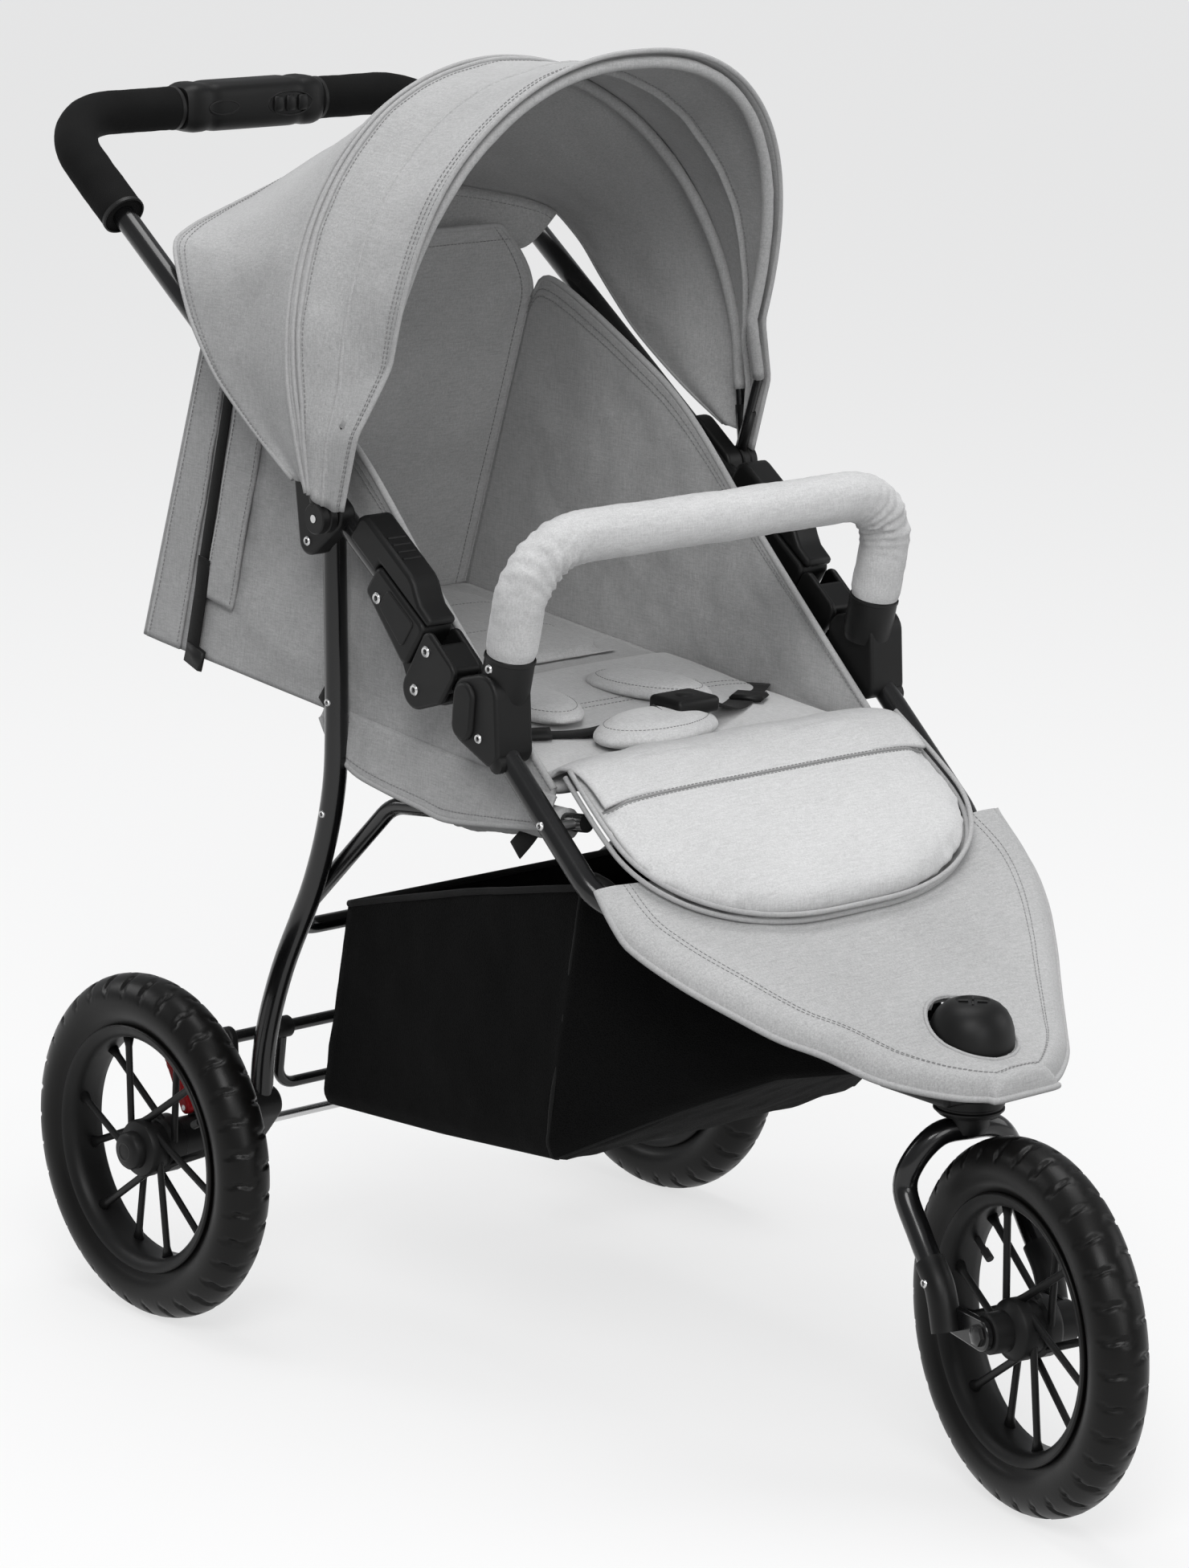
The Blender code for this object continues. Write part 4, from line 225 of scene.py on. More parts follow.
def new_group(name: str, inputs: Sequence[str], outputs: Sequence[str]):
    """Make a shader group with float sockets and a Vector input.

    Args:
        name: Name of the group.
        inputs: Names of its number inputs.
        outputs: Names of its number outputs.

    Returns:
        The group, a kit for its nodes, its input sockets and its output node.
    """
    group = bpy.data.node_groups.new(name, "ShaderNodeTree")
    group.interface.new_socket("Vector", in_out="INPUT", socket_type="NodeSocketVector")
    for way, labels in (("INPUT", inputs), ("OUTPUT", outputs)):
        for label in labels:
            group.interface.new_socket(label, in_out=way, socket_type="NodeSocketFloat")
    source, sink = group.nodes.new("NodeGroupInput"), group.nodes.new("NodeGroupOutput")
    return group, ShaderKit(group), source.outputs, sink


def heather_group() -> bpy.types.NodeTree:
    """Woven slubs along each axis: a colour mask and a height."""
    group, kit, given, sink = new_group("heather_weave", ("Thread",), ("Mask", "Height"))
    threads = []
    for stretch in ((0.10, 1.0, 1.0), (1.0, 0.10, 1.0), (1.0, 1.0, 0.10)):
        slub = kit.node("ShaderNodeMapping", {"Scale": stretch, "Vector": given["Vector"]}).outputs["Vector"]
        threads.append(kit.noise(kit.scaled(slub, given["Thread"]), 1.0, 3.0, 0.65))
    total = kit.math("ADD", kit.math("ADD", threads[0], threads[1]), threads[2])
    mean = kit.math("MULTIPLY", total, 1.0 / 3.0)
    kit.feed(sink, {"Mask": kit.remap(mean, 0.38, 0.62, 0.0, 1.0), "Height": kit.highest(*threads)})
    return group


def grain_group() -> bpy.types.NodeTree:
    """Fine moulded grain with broad cloudiness: a height and a cloud mask."""
    group, kit, given, sink = new_group("moulded_grain", ("Grain",), ("Height", "Cloud"))
    kit.feed(sink, {"Height": kit.noise(kit.scaled(given["Vector"], given["Grain"]), 1.0, 2.0),
                    "Cloud": kit.noise(given["Vector"], 18.0, 3.0)})
    return group


def knit_group() -> bpy.types.NodeTree:
    """Tiny open cells of a knitted net: a hole mask."""
    group, kit, given, sink = new_group("knitted_net", ("Cells",), ("Hole",))
    inputs = {"Vector": kit.scaled(given["Vector"], given["Cells"]), "Scale": 1.0}
    cells = kit.node("ShaderNodeTexVoronoi", inputs, feature="DISTANCE_TO_EDGE")
    kit.feed(sink, {"Hole": kit.remap(cells.outputs["Distance"], 0.05, 0.22, 0.0, 1.0)})
    return group


def new_material(name: str) -> tuple:
    """New material, a kit for its nodes, and its Principled shader."""
    material = bpy.data.materials.new(name)
    material.use_nodes = True
    return material, ShaderKit(material.node_tree), material.node_tree.nodes["Principled BSDF"]


def grey(value: float) -> tuple:
    """Neutral colour."""
    return value, value, value, 1


@dataclass(frozen=True)
class ClothFinish:
    """Heathered woven cloth.

    Args:
        name: Material name.
        dark: Colour of the darker threads.
        light: Colour of the paler threads.
        thread: Threads per metre.
        relief: Height of the weave in metres.
        sheen: Sheen weight.
        roughness: Roughness.
        pucker: Height of the broad unevenness in metres.
    """

    name: str
    dark: tuple
    light: tuple
    thread: float = 900.0
    relief: float = 0.00035
    sheen: float = 0.25
    roughness: float = 0.92
    pucker: float = 0.0016

    def build(self, groups: dict) -> bpy.types.Material:
        """Make the material from the shared groups."""
        material, kit, shader = new_material(self.name)
        place = kit.node("ShaderNodeTexCoord").outputs["Object"]
        weave = kit.node("ShaderNodeGroup", node_tree=groups["heather"])
        kit.feed(weave, {"Vector": place, "Thread": self.thread})
        cloud = kit.remap(kit.noise(place, 7.0, 3.0), 0.3, 0.7, -0.18, 0.18)
        mask = kit.math("ADD", weave.outputs["Mask"], cloud, clamp=True)
        soft = kit.bump(kit.noise(place, 55.0, 3.0, 0.6), 0.35, self.pucker)
        kit.feed(shader, {
            "Base Color": kit.mix(mask, self.dark, self.light),
            "Normal": kit.bump(weave.outputs["Height"], 0.55, self.relief, {"Normal": soft}),
            "Roughness": self.roughness,
            "Sheen Weight": self.sheen,
            "Sheen Roughness": 0.45,
            "Specular IOR Level": 0.2,
        })
        return material


@dataclass(frozen=True)
class HardFinish:
    """Painted, moulded or metal surface.

    Args:
        name: Material name.
        colour: Base colour.
        worn: Paler colour in the cloudy patches.
        rough_low: Roughness where it is smoothest.
        rough_high: Roughness where it is dullest.
        metallic: Metallic value.
        coat: Coat weight.
        grain: Grains per metre.
        relief: Height of the grain in metres.
        specular: Specular level.
    """

    name: str
    colour: tuple
    worn: tuple
    rough_low: float
    rough_high: float
    metallic: float = 0.0
    coat: float = 0.0
    grain: float = 1500.0
    relief: float = 0.00010
    specular: float = 0.24

    def build(self, groups: dict) -> bpy.types.Material:
        """Make the material from the shared groups."""
        material, kit, shader = new_material(self.name)
        grain = kit.node("ShaderNodeGroup", node_tree=groups["grain"])
        kit.feed(grain, {"Vector": kit.node("ShaderNodeTexCoord").outputs["Object"], "Grain": self.grain})
        edge = kit.node("ShaderNodeNewGeometry").outputs["Pointiness"]
        wear = kit.math("MULTIPLY", kit.remap(edge, 0.53, 0.62, 0.0, 1.0), grain.outputs["Cloud"])
        kit.feed(shader, {
            "Base Color": kit.mix(wear, self.colour, self.worn),
            "Roughness": kit.remap(grain.outputs["Cloud"], 0.3, 0.7, self.rough_low, self.rough_high),
            "Normal": kit.bump(grain.outputs["Height"], 0.5, self.relief),
            "Metallic": self.metallic,
            "Coat Weight": self.coat,
            "Coat Roughness": 0.12,
            "Specular IOR Level": self.specular,
        })
        return material


@dataclass(frozen=True)
class NetFinish:
    """Black knitted net cloth.

    Args:
        name: Material name.
        yarn: Colour of the yarn.
        gap: Painted shade in the cells, darker than the yarn, for the dark seen through the net.
        cells: Cells per metre.
    """

    name: str
    yarn: tuple
    gap: tuple
    cells: float = 520.0

    def build(self, groups: dict) -> bpy.types.Material:
        """Make the material from the shared groups."""
        material, kit, shader = new_material(self.name)
        net = kit.node("ShaderNodeGroup", node_tree=groups["knit"])
        kit.feed(net, {"Vector": kit.node("ShaderNodeTexCoord").outputs["Object"], "Cells": self.cells})
        kit.feed(shader, {
            # The cells take the gap colour: painted shade seen through the net's holes.
            "Base Color": kit.mix(net.outputs["Hole"], self.yarn, self.gap),
            "Normal": kit.bump(net.outputs["Hole"], 0.6, 0.0004, invert=True),
            "Roughness": 0.9,
            "Sheen Weight": 0.02,
            "Specular IOR Level": 0.08,
        })
        return material


RECIPES = {
    Finish.PAINT: HardFinish("paint_black", (0.0042, 0.0042, 0.0045, 1), grey(0.02), 0.22, 0.32, coat=0.5,
                             grain=900.0, relief=0.00004),
    Finish.PLASTIC: HardFinish("plastic_black", grey(0.0048), grey(0.02), 0.40, 0.54),
    Finish.FOAM: HardFinish("foam_black", grey(0.007), grey(0.016), 0.80, 0.95, grain=1100.0, relief=0.00045,
                            specular=0.12),
    Finish.TYRE: HardFinish("rubber_tyre", (0.0040, 0.0038, 0.0036, 1), (0.020, 0.019, 0.018, 1), 0.30, 0.44,
                            grain=700.0, specular=0.20),
    Finish.STEEL: HardFinish("steel_bright", grey(0.55), grey(0.75), 0.22, 0.36, metallic=1.0, specular=0.5),
    Finish.RED: HardFinish("plastic_red", (0.42, 0.008, 0.012, 1), (0.6, 0.05, 0.05, 1), 0.32, 0.45),
    Finish.LINEN: ClothFinish("linen_grey", grey(0.33), grey(0.50)),
    Finish.PAD: ClothFinish("linen_pale", grey(0.48), grey(0.66)),
    Finish.PIPING: ClothFinish("linen_piping", grey(0.34), grey(0.46), relief=0.0002),
    Finish.THREAD: ClothFinish("sewing_thread", grey(0.22), grey(0.31), thread=3000.0, relief=0.0001),
    # The net's second grey is painted shade in its cells.
    Finish.MESH: NetFinish("net_black", grey(0.0040), grey(0.0012)),
    Finish.WEBBING: ClothFinish("webbing_black", grey(0.005), grey(0.013), thread=1600.0, sheen=0.06),
}


class Palette:
    """All materials, made once from shared groups."""

    def __init__(self) -> None:
        groups = {"heather": heather_group(), "grain": grain_group(), "knit": knit_group()}
        self.materials = {finish: recipe.build(groups) for finish, recipe in RECIPES.items()}

    def __getitem__(self, finish: Finish) -> bpy.types.Material:
        return self.materials[finish]


PALETTE = Palette()


# Piece making


def shifted(points: Iterable[Vector]) -> list:
    """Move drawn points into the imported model's frame."""
    return [(p[0], p[1] + REAR_AXLE_Y, p[2]) for p in points]


def add_object(name: str, data: bpy.types.ID) -> bpy.types.Object:
    """Put one object with its data into the scene."""
    made = bpy.data.objects.new(name, data)
    bpy.context.scene.collection.objects.link(made)
    return made


def drawn_object(name: str, verts: Sequence[Vector], faces: Sequence[Sequence[int]]) -> bpy.types.Object:
    """Mesh object from drawn points and faces."""
    mesh = bpy.data.meshes.new(name)
    mesh.from_pydata(shifted(verts), [], faces)
    return add_object(name, mesh)


def mended(mesh: bpy.types.Mesh, weld: float = 0.0) -> None:
    """Turn a mesh's faces outwards, after joining points within a distance."""
    bm = bmesh.new()
    bm.from_mesh(mesh)
    if weld:
        bmesh.ops.remove_doubles(bm, verts=bm.verts, dist=weld)
    bmesh.ops.recalc_face_normals(bm, faces=bm.faces)
    bm.to_mesh(mesh)
    bm.free()


def sharpened(piece: bpy.types.Object, degrees: float) -> None:
    """Shade edges sharp from an angle on."""
    piece.data.set_sharp_from_angle(angle=math.radians(degrees))


def rounded(piece: bpy.types.Object, width: float, segments: int = 3, degrees: float = 50.0) -> None:
    """Round a piece's edges that are sharper than an angle."""
    edge = piece.modifiers.new("rounded_edges", "BEVEL")
    edge.width, edge.segments = width, segments
    edge.limit_method, edge.angle_limit = "ANGLE", math.radians(degrees)


def thickened(piece: bpy.types.Object, thickness: float, offset: float) -> None:
    """Give a cloth surface its thickness."""
    solid = piece.modifiers.new("cloth_thickness", "SOLIDIFY")
    solid.thickness, solid.offset = thickness, offset


def crushed(pieces: Iterable[bpy.types.Object], foot: tuple = (0.0, -0.12, 0.53)) -> None:
    """Give each seat cloth piece its own copy of its mesh."""
    anchor = tuple(shifted([foot])[0])
    for piece in pieces:
        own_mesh(piece)


def finish_piece(piece: bpy.types.Object, finish: Finish, body: Body | None) -> bpy.types.Object:
    """Give a piece its material, slot, smooth shading and body.

    Args:
        piece: The new object.
        finish: Which finish it takes.
        body: The body it rides on, or None to leave it unattached.

    Returns:
        The same object.
    """
    piece.data.materials.append(PALETTE[finish])
    piece.data.shade_smooth()
    if body is not None:
        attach(piece, body.value)
    return piece


def mesh_piece(name: str, verts: Sequence[Vector], faces: Sequence[Sequence[int]], finish: Finish,
               body: Body | None) -> bpy.types.Object:
    """Make one mesh piece from drawn points and faces."""
    piece = drawn_object(name, verts, faces)
    mended(piece.data)
    return finish_piece(piece, finish, body)


def grid_places(columns: int, rows: int) -> list:
    """(u, v) of a grid's points, with u from -1 to 1 and v from 0 to 1."""
    return [(-1 + 2 * c / columns, r / rows) for r in range(rows + 1) for c in range(columns + 1)]


def grid_faces(columns: int, rows: int) -> list:
    """Quads of a grid with the given numbers of cells."""
    width = columns + 1
    firsts = [row * width + column for row in range(rows) for column in range(columns)]
    return [(i, i + 1, i + 1 + width, i + width) for i in firsts]


def rings_faces(rings: int, count: int, closed: bool = False) -> list:
    """Quads between rings of points, each joined round, the last ring perhaps to the first."""
    faces = []
    for ring in range(rings if closed else rings - 1):
        first, after = ring * count, (ring + 1) % rings * count
        faces += [(first + i, first + (i + 1) % count, after + (i + 1) % count, after + i) for i in range(count)]
    return faces


def surface_normal(surface: Surface, u: float, v: float) -> Vector:
    """Unit normal of a surface, from small steps along it."""
    step = 0.004
    across = surface(min(1.0, u + step), v) - surface(max(-1.0, u - step), v)
    along = surface(u, min(1.0, v + step)) - surface(u, max(0.0, v - step))
    normal = across.cross(along)
    return normal.normalized() if normal.length > 1e-12 else Vector((0.0, 0.0, 1.0))


def sheet_piece(name: str, surface: Surface, columns: int, rows: int, thickness: float, finish: Finish,
                body: Body | None, offset: float = 0.0) -> bpy.types.Object:
    """Cloth sheet over surface(u, v), with u from -1 to 1 and v from 0 to 1."""
    verts = [surface(u, v) for u, v in grid_places(columns, rows)]
    piece = drawn_object(name, verts, grid_faces(columns, rows))
    thickened(piece, thickness, offset)
    return finish_piece(piece, finish, body)


def fillet_path(corners: Sequence[Vector], radii: Sequence[float], step_deg: float = 6.0) -> list:
    """Round the corners of a path with arcs of the given radii."""
    points = [Vector(corners[0])]
    for before, corner, after, radius in zip(corners, corners[1:], corners[2:], radii):
        inward = (Vector(before) - Vector(corner)).normalized()
        outward = (Vector(after) - Vector(corner)).normalized()
        half = inward.angle(outward) / 2
        centre = Vector(corner) + (inward + outward).normalized() * (radius / math.sin(half))
        start = Vector(corner) + inward * (radius / math.tan(half)) - centre
        end = Vector(corner) + outward * (radius / math.tan(half)) - centre
        turn = start.angle(end)
        steps = max(2, math.ceil(math.degrees(turn) / step_deg))
        axis = start.cross(end)
        points += [centre + Matrix.Rotation(turn * i / steps, 3, axis) @ start for i in range(steps + 1)]
    points.append(Vector(corners[-1]))
    return points


def between(a, b, c, d, t: float):
    """Value of a smooth curve through four values, at a share from b to c."""
    return 0.5 * (2 * b + (c - a) * t + (2 * a - 5 * b + 4 * c - d) * t * t + (3 * b - a - 3 * c + d) * t ** 3)


def smooth_path(points: Sequence[Sequence[float]], steps: int = 6) -> list:
    """Smooth curve through points, as short straight runs."""
    knots = [Vector(point) for point in points]
    knots = [2 * knots[0] - knots[1]] + knots + [2 * knots[-1] - knots[-2]]
    result = [knots[1]]
    for four in zip(knots, knots[1:], knots[2:], knots[3:]):
        result += [between(*four, index / steps) for index in range(1, steps + 1)]
    return result


def even_path(points: Sequence[Vector], spacing: float) -> list:
    """Points at an even spacing along a path."""
    lengths = [0.0]
    for a, b in zip(points, points[1:]):
        lengths.append(lengths[-1] + (b - a).length)
    count = max(2, round(lengths[-1] / spacing))
    result, index = [], 0
    for step in range(count + 1):
        target = lengths[-1] * step / count
        while index < len(points) - 2 and lengths[index + 1] < target:
            index += 1
        span = lengths[index + 1] - lengths[index]
        share = 0.0 if span <= 0 else (target - lengths[index]) / span
        result.append(points[index].lerp(points[index + 1], min(1.0, share)))
    return result


def sweep(path: Sequence[Vector], section: Sequence[Sequence[float]], up: Vector | None = None,
          scale: Callable[[float], float] | None = None,
          ripple: Callable[[float, float, Vector], float] | None = None) -> tuple:
    """Carry a closed section along a path, with flat ends.

    Args:
        path: Points of the centre line.
        section: (across, above) points of the section.
        up: Direction that "above" leans towards; a rotation-free frame if None.
        scale: Size of the section by share of the length.
        ripple: Extra distance outwards by share, angle and place.

    Returns:
        Vertices and faces.
    """
    verts, count = [], len(section)
    previous = None
    for index, point in enumerate(path):
        ahead = path[min(index + 1, len(path) - 1)] - path[max(index - 1, 0)]
        tangent = ahead.normalized()
        if up is not None:
            above = (up - tangent * up.dot(tangent)).normalized()
        elif previous is None:
            hint = UP if abs(tangent.z) < 0.9 else Vector((0, 1, 0))
            above = (hint - tangent * hint.dot(tangent)).normalized()
        else:
            above = (previous - tangent * previous.dot(tangent)).normalized()
        previous = above
        across = tangent.cross(above)
        share = index / (len(path) - 1)
        size = scale(share) if scale else 1.0
        for number, (a, b) in enumerate(section):
            place = point + (across * a + above * b) * size
            if ripple:
                away = (place - point).normalized()
                place = place + away * ripple(share, number / count, place)
            verts.append(place)
    faces = rings_faces(len(path), count)
    faces.append(tuple(range(count))[::-1])
    faces.append(tuple((len(path) - 1) * count + number for number in range(count)))
    return verts, faces


def ring_section(radius: float, sides: int = 20, squash: float = 1.0) -> list:
    """Round or oval section."""
    return [(radius * math.cos(math.tau * i / sides), radius * squash * math.sin(math.tau * i / sides))
            for i in range(sides)]


def strap_section(width: float, thickness: float) -> list:
    """Flat section with rounded edges."""
    w, t = width / 2, thickness / 2
    return [(-w, 0), (-w + t, -t), (0, -t), (w - t, -t), (w, 0), (w - t, t), (0, t), (-w + t, t)]


def swept_piece(name: str, path: Sequence[Vector], section: Sequence[Sequence[float]], finish: Finish,
                body: Body | None, **extra) -> bpy.types.Object:
    """Piece with a section along a path; extra goes to sweep."""
    return mesh_piece(name, *sweep(path, section, **extra), finish, body)


def tube_piece(name: str, path: Sequence[Vector], radius: float, finish: Finish, body: Body,
               sides: int = 20) -> bpy.types.Object:
    """Round tube along a path."""
    piece = swept_piece(name, path, ring_section(radius, sides), finish, body)
    sharpened(piece, 50)
    return piece


def pin_piece(name: str, side: Side, ends: Sequence[float], place: Vector, radius: float, finish: Finish,
              body: Body, sides: int = 20) -> bpy.types.Object:
    """Round pin across the frame, between two distances out to one side."""
    return tube_piece(name, [side.at(x, place.y, place.z) for x in ends], radius, finish, body, sides)


def cord_piece(name: str, line: Sequence[Vector], radius: float, body: Body | None, sides: int = 12,
               spacing: float = 0.006, finish: Finish = Finish.PIPING) -> bpy.types.Object:
    """Thin sewn piping along a line."""
    return swept_piece(name, even_path(line, spacing), ring_section(radius, sides), finish, body)


def strap_piece(name: str, path: Sequence[Vector], width: float, thickness: float, up: Vector,
                finish: Finish = Finish.WEBBING) -> bpy.types.Object:
    """Flat webbing on the seat's body; up is square to the webbing's face."""
    return swept_piece(name, path, strap_section(width, thickness), finish, Body.FRONT, up=up)


def stitch_piece(name: str, lines: Sequence[Sequence[Vector]], body: Body | None, pitch: float = 0.0042,
                 length: float = 0.0030, radius: float = 0.00042) -> bpy.types.Object:
    """Rows of separate stitches along one or more lines.

    Args:
        name: Name of the piece.
        lines: Rows to sew along.
        body: The body it rides on, or None to leave it unattached.
        pitch: Distance from one stitch to the next.
        length: Length of one stitch.
        radius: Half the thread's thickness.

    Returns:
        One object with every stitch.
    """
    sides, ends = 4, ((-0.5, 0.4), (-0.3, 1.0), (0.3, 1.0), (0.5, 0.4))
    pattern = rings_faces(len(ends), sides) + [(3, 2, 1, 0), (12, 13, 14, 15)]
    verts, faces = [], []
    for line in lines:
        places = even_path(line, pitch)
        for a, b in zip(places, places[1:]):
            along = b - a
            if along.length < 1e-6:
                continue
            middle, along = (a + b) / 2, along.normalized()
            side = along.orthogonal().normalized()
            other = along.cross(side)
            start = len(verts)
            for end, size in ends:
                for turn in spread(0, math.tau, sides)[:-1]:
                    verts.append(middle + along * length * end
                                 + (side * math.cos(turn) + other * math.sin(turn)) * radius * size)
            faces += [tuple(start + i for i in face) for face in pattern]
    return mesh_piece(name, verts, faces, Finish.THREAD, body)


def sewn_rows(name: str, piece: bpy.types.Object, lines: Iterable[Sequence[Vector]], body: Body,
              way: Vector = DOWN, **stitch) -> None:
    """Rows of stitches on a finished cushion, from lines drawn clear of it."""
    rows = [drop_onto(piece, line, way, 0.0003) for line in lines]
    stitch_piece(name, [row for row in rows if len(row) > 3], body, **stitch)


def turned_mesh(profile: Sequence[Sequence[float]], steps: int, closed: bool = False) -> tuple:
    """Turn (radius, height) points about the X axis.

    Args:
        profile: Points of the outline.
        steps: Facets round the axis.
        closed: Whether the outline is a closed ring.

    Returns:
        Vertices and faces, with the axis along X.
    """
    verts, faces, count = [], [], len(profile)
    for angle in spread(0, math.tau, steps)[:-1]:
        verts += [Vector((height, radius * math.cos(angle), radius * math.sin(angle))) for radius, height in profile]
    for step in range(steps):
        after = (step + 1) % steps
        for index in range(count if closed else count - 1):
            other = (index + 1) % count
            faces.append((step * count + index, after * count + index, after * count + other,
                          step * count + other))
    for end in () if closed else (0, count - 1):
        if profile[end][0] > 1e-6:
            faces.append(tuple(step * count + end for step in range(steps)))
    return verts, faces


def turned_piece(name: str, profile: Sequence[Sequence[float]], centre: Vector, axis: Vector, finish: Finish,
                 body: Body, steps: int = 48, closed: bool = False) -> bpy.types.Object:
    """Turned piece about an axis through a centre."""
    verts, faces = turned_mesh(profile, steps, closed)
    turn = axis.to_track_quat("X", "Z").to_matrix()
    piece = mesh_piece(name, [centre + turn @ v for v in verts], faces, finish, body)
    mended(piece.data, 0.00001)
    piece.data.shade_smooth()
    sharpened(piece, 38)
    return piece


def mirrored(profile: list, shared: int = 0) -> list:
    """Profile followed by its mirror image, without the last shared points."""
    return profile + [(radius, -height) for radius, height in reversed(profile[:len(profile) - shared])]


def hull_outline(discs: Sequence[Sequence[float]], steps: int = 28) -> list:
    """Outline of the convex hull round discs given as (y, z, radius)."""
    rim = []
    for y, z, radius in discs:
        rim += [Vector((y + across, z + above)) for across, above in ring_section(radius, steps)]
    return [rim[index] for index in convex_hull_2d(rim)]


def plate_piece(name: str, ends: Sequence[Sequence[Vector]], finish: Finish, body: Body, bevel: float,
                segments: int = 3, degrees: float = 50.0) -> bpy.types.Object:
    """Plate between two like outlines, with rounded edges."""
    count = len(ends[0])
    faces = [tuple(range(count)), tuple(range(2 * count - 1, count - 1, -1))] + rings_faces(2, count)
    piece = mesh_piece(name, [*ends[0], *ends[1]], faces, finish, body)
    rounded(piece, bevel, segments, degrees)
    sharpened(piece, 50)
    return piece


def moulding(name: str, outline: Sequence[Sequence[float]], x_low: float, x_high: float, side: Side, body: Body,
             bevel: float, finish: Finish = Finish.PLASTIC) -> bpy.types.Object:
    """Moulded plate with an outline in the YZ plane and rounded edges."""
    ends = [[Vector((x, y, z)) for y, z in outline] for x in sorted((x_low * side.value, x_high * side.value))]
    return plate_piece(name, ends, finish, body, bevel)


def rivet(name: str, centre: Vector, axis: Vector, body: Body, radius: float = 0.0042) -> bpy.types.Object:
    """Hollow bright rivet whose rim stands a little proud."""
    profile = [(0.0, -0.0006), (radius * 0.42, -0.0006), (radius * 0.48, 0.0010), (radius * 0.8, 0.0014),
               (radius, 0.0004), (radius, -0.0020), (0.0, -0.0020)]
    return turned_piece(name, profile, centre, axis, Finish.STEEL, body, steps=24)


def wrinkle(place: Vector, size: float, amount: float, seed: float = 0.0) -> float:
    """Smooth uneven height for cloth, with a feature size in metres."""
    return noise.fractal(place / size + Vector((seed, seed * 0.7, -seed)), 0.8, 2.0, 3) * amount


def edge_fade(u: float, v: float, width: float = 0.15) -> float:
    """1 in the middle of a sheet, falling to 0 at its edges."""
    across = min(1.0, (1 - abs(u)) / width)
    along = min(1.0, min(v, 1 - v) * 2 / width)
    return max(0.0, across) * max(0.0, along)


def lifted(surface: Surface, places: Iterable[Sequence[float]], height: float) -> list:
    """Points over a surface at a height along its normal."""
    return [surface(u, v) + surface_normal(surface, u, v) * height for u, v in places]


def spread(low: float, high: float, count: int) -> list:
    """Evenly spaced numbers, both ends included."""
    return [low + (high - low) * i / count for i in range(count + 1)]


def puffed(piece: bpy.types.Object, voxel: float, pressure: float, cap: float) -> bpy.types.Object:
    """Inflate a closed cushion with a short cloth simulation.

    Args:
        piece: The closed cushion, already riding on its body.
        voxel: Size of the remeshed faces.
        pressure: Cloth pressure.
        cap: Furthest that any point may move.

    Returns:
        The same object, with the result in its mesh.
    """
    bpy.context.view_layer.objects.active = piece
    remesh = piece.modifiers.new("even_faces", "REMESH")
    remesh.mode = "VOXEL"
    remesh.voxel_size = voxel
    bpy.ops.object.modifier_apply(modifier=remesh.name)
    piece.data.shade_smooth()
    before = [v.co.copy() for v in piece.data.vertices]
    cloth = piece.modifiers.new("fill", "CLOTH")
    settings = cloth.settings
    settings.quality = 6
    settings.mass = 0.25
    settings.tension_stiffness = 18
    settings.compression_stiffness = 12
    settings.shear_stiffness = 8
    settings.bending_stiffness = 0.6
    settings.use_pressure = True
    settings.uniform_pressure_force = pressure
    settings.effector_weights.gravity = 0.0
    cloth.point_cache.frame_start = 1
    cloth.point_cache.frame_end = 20
    for step in range(1, 21):
        bpy.context.scene.frame_set(step)
    bpy.ops.object.modifier_apply(modifier=cloth.name)
    bpy.context.scene.frame_set(1)
    for vert, start in zip(piece.data.vertices, before):
        move = vert.co - start
        if move.length > cap:
            vert.co = start + move.normalized() * cap
    smooth = piece.modifiers.new("eased", "SMOOTH")
    smooth.factor = 0.5
    smooth.iterations = 4
    bpy.ops.object.modifier_apply(modifier=smooth.name)
    soft = piece.modifiers.new("soft", "SUBSURF")
    soft.levels = soft.render_levels = 1
    return piece


def cushion_piece(name: str, upper: Surface, lower: Surface, columns: int, rows: int, finish: Finish,
                  body: Body) -> bpy.types.Object:
    """Closed pad between two surfaces over the same (u, v)."""
    places = grid_places(columns, rows)
    verts = [upper(u, v) for u, v in places] + [lower(u, v) for u, v in places]
    top = grid_faces(columns, rows)
    shift = len(places)
    faces = list(top) + [tuple(i + shift for i in face)[::-1] for face in top]
    width = columns + 1
    rim = list(range(width)) + [r * width + columns for r in range(1, rows + 1)]
    rim += [rows * width + c for c in range(columns - 1, -1, -1)] + [r * width for r in range(rows - 1, 0, -1)]
    for a, b in zip(rim, rim[1:] + rim[:1]):
        faces.append((a, b, b + shift, a + shift))
    return mesh_piece(name, verts, faces, finish, body)


def drop_onto(piece: bpy.types.Object, line: Sequence[Vector], direction: Vector, lift: float) -> list:
    """Project a drawn line onto a finished piece, along a direction.

    Args:
        piece: Piece to land on.
        line: Drawn points, outside the piece.
        direction: Way to fall.
        lift: Height to keep over the surface.

    Returns:
        Drawn points on the piece, leaving out those that miss it.
    """
    bpy.context.view_layer.update()
    tree = BVHTree.FromObject(piece, bpy.context.evaluated_depsgraph_get())
    result = []
    way = direction.normalized()
    for point in line:
        start = Vector((point.x, point.y + REAR_AXLE_Y, point.z)) - way * 0.08
        hit, normal, _, _ = tree.ray_cast(start, way, 0.2)
        if hit is not None:
            if normal.dot(way) > 0:
                normal = -normal
            place = hit + normal * lift
            result.append(Vector((place.x, place.y - REAR_AXLE_Y, place.z)))
    return result


# Shared places of the frame


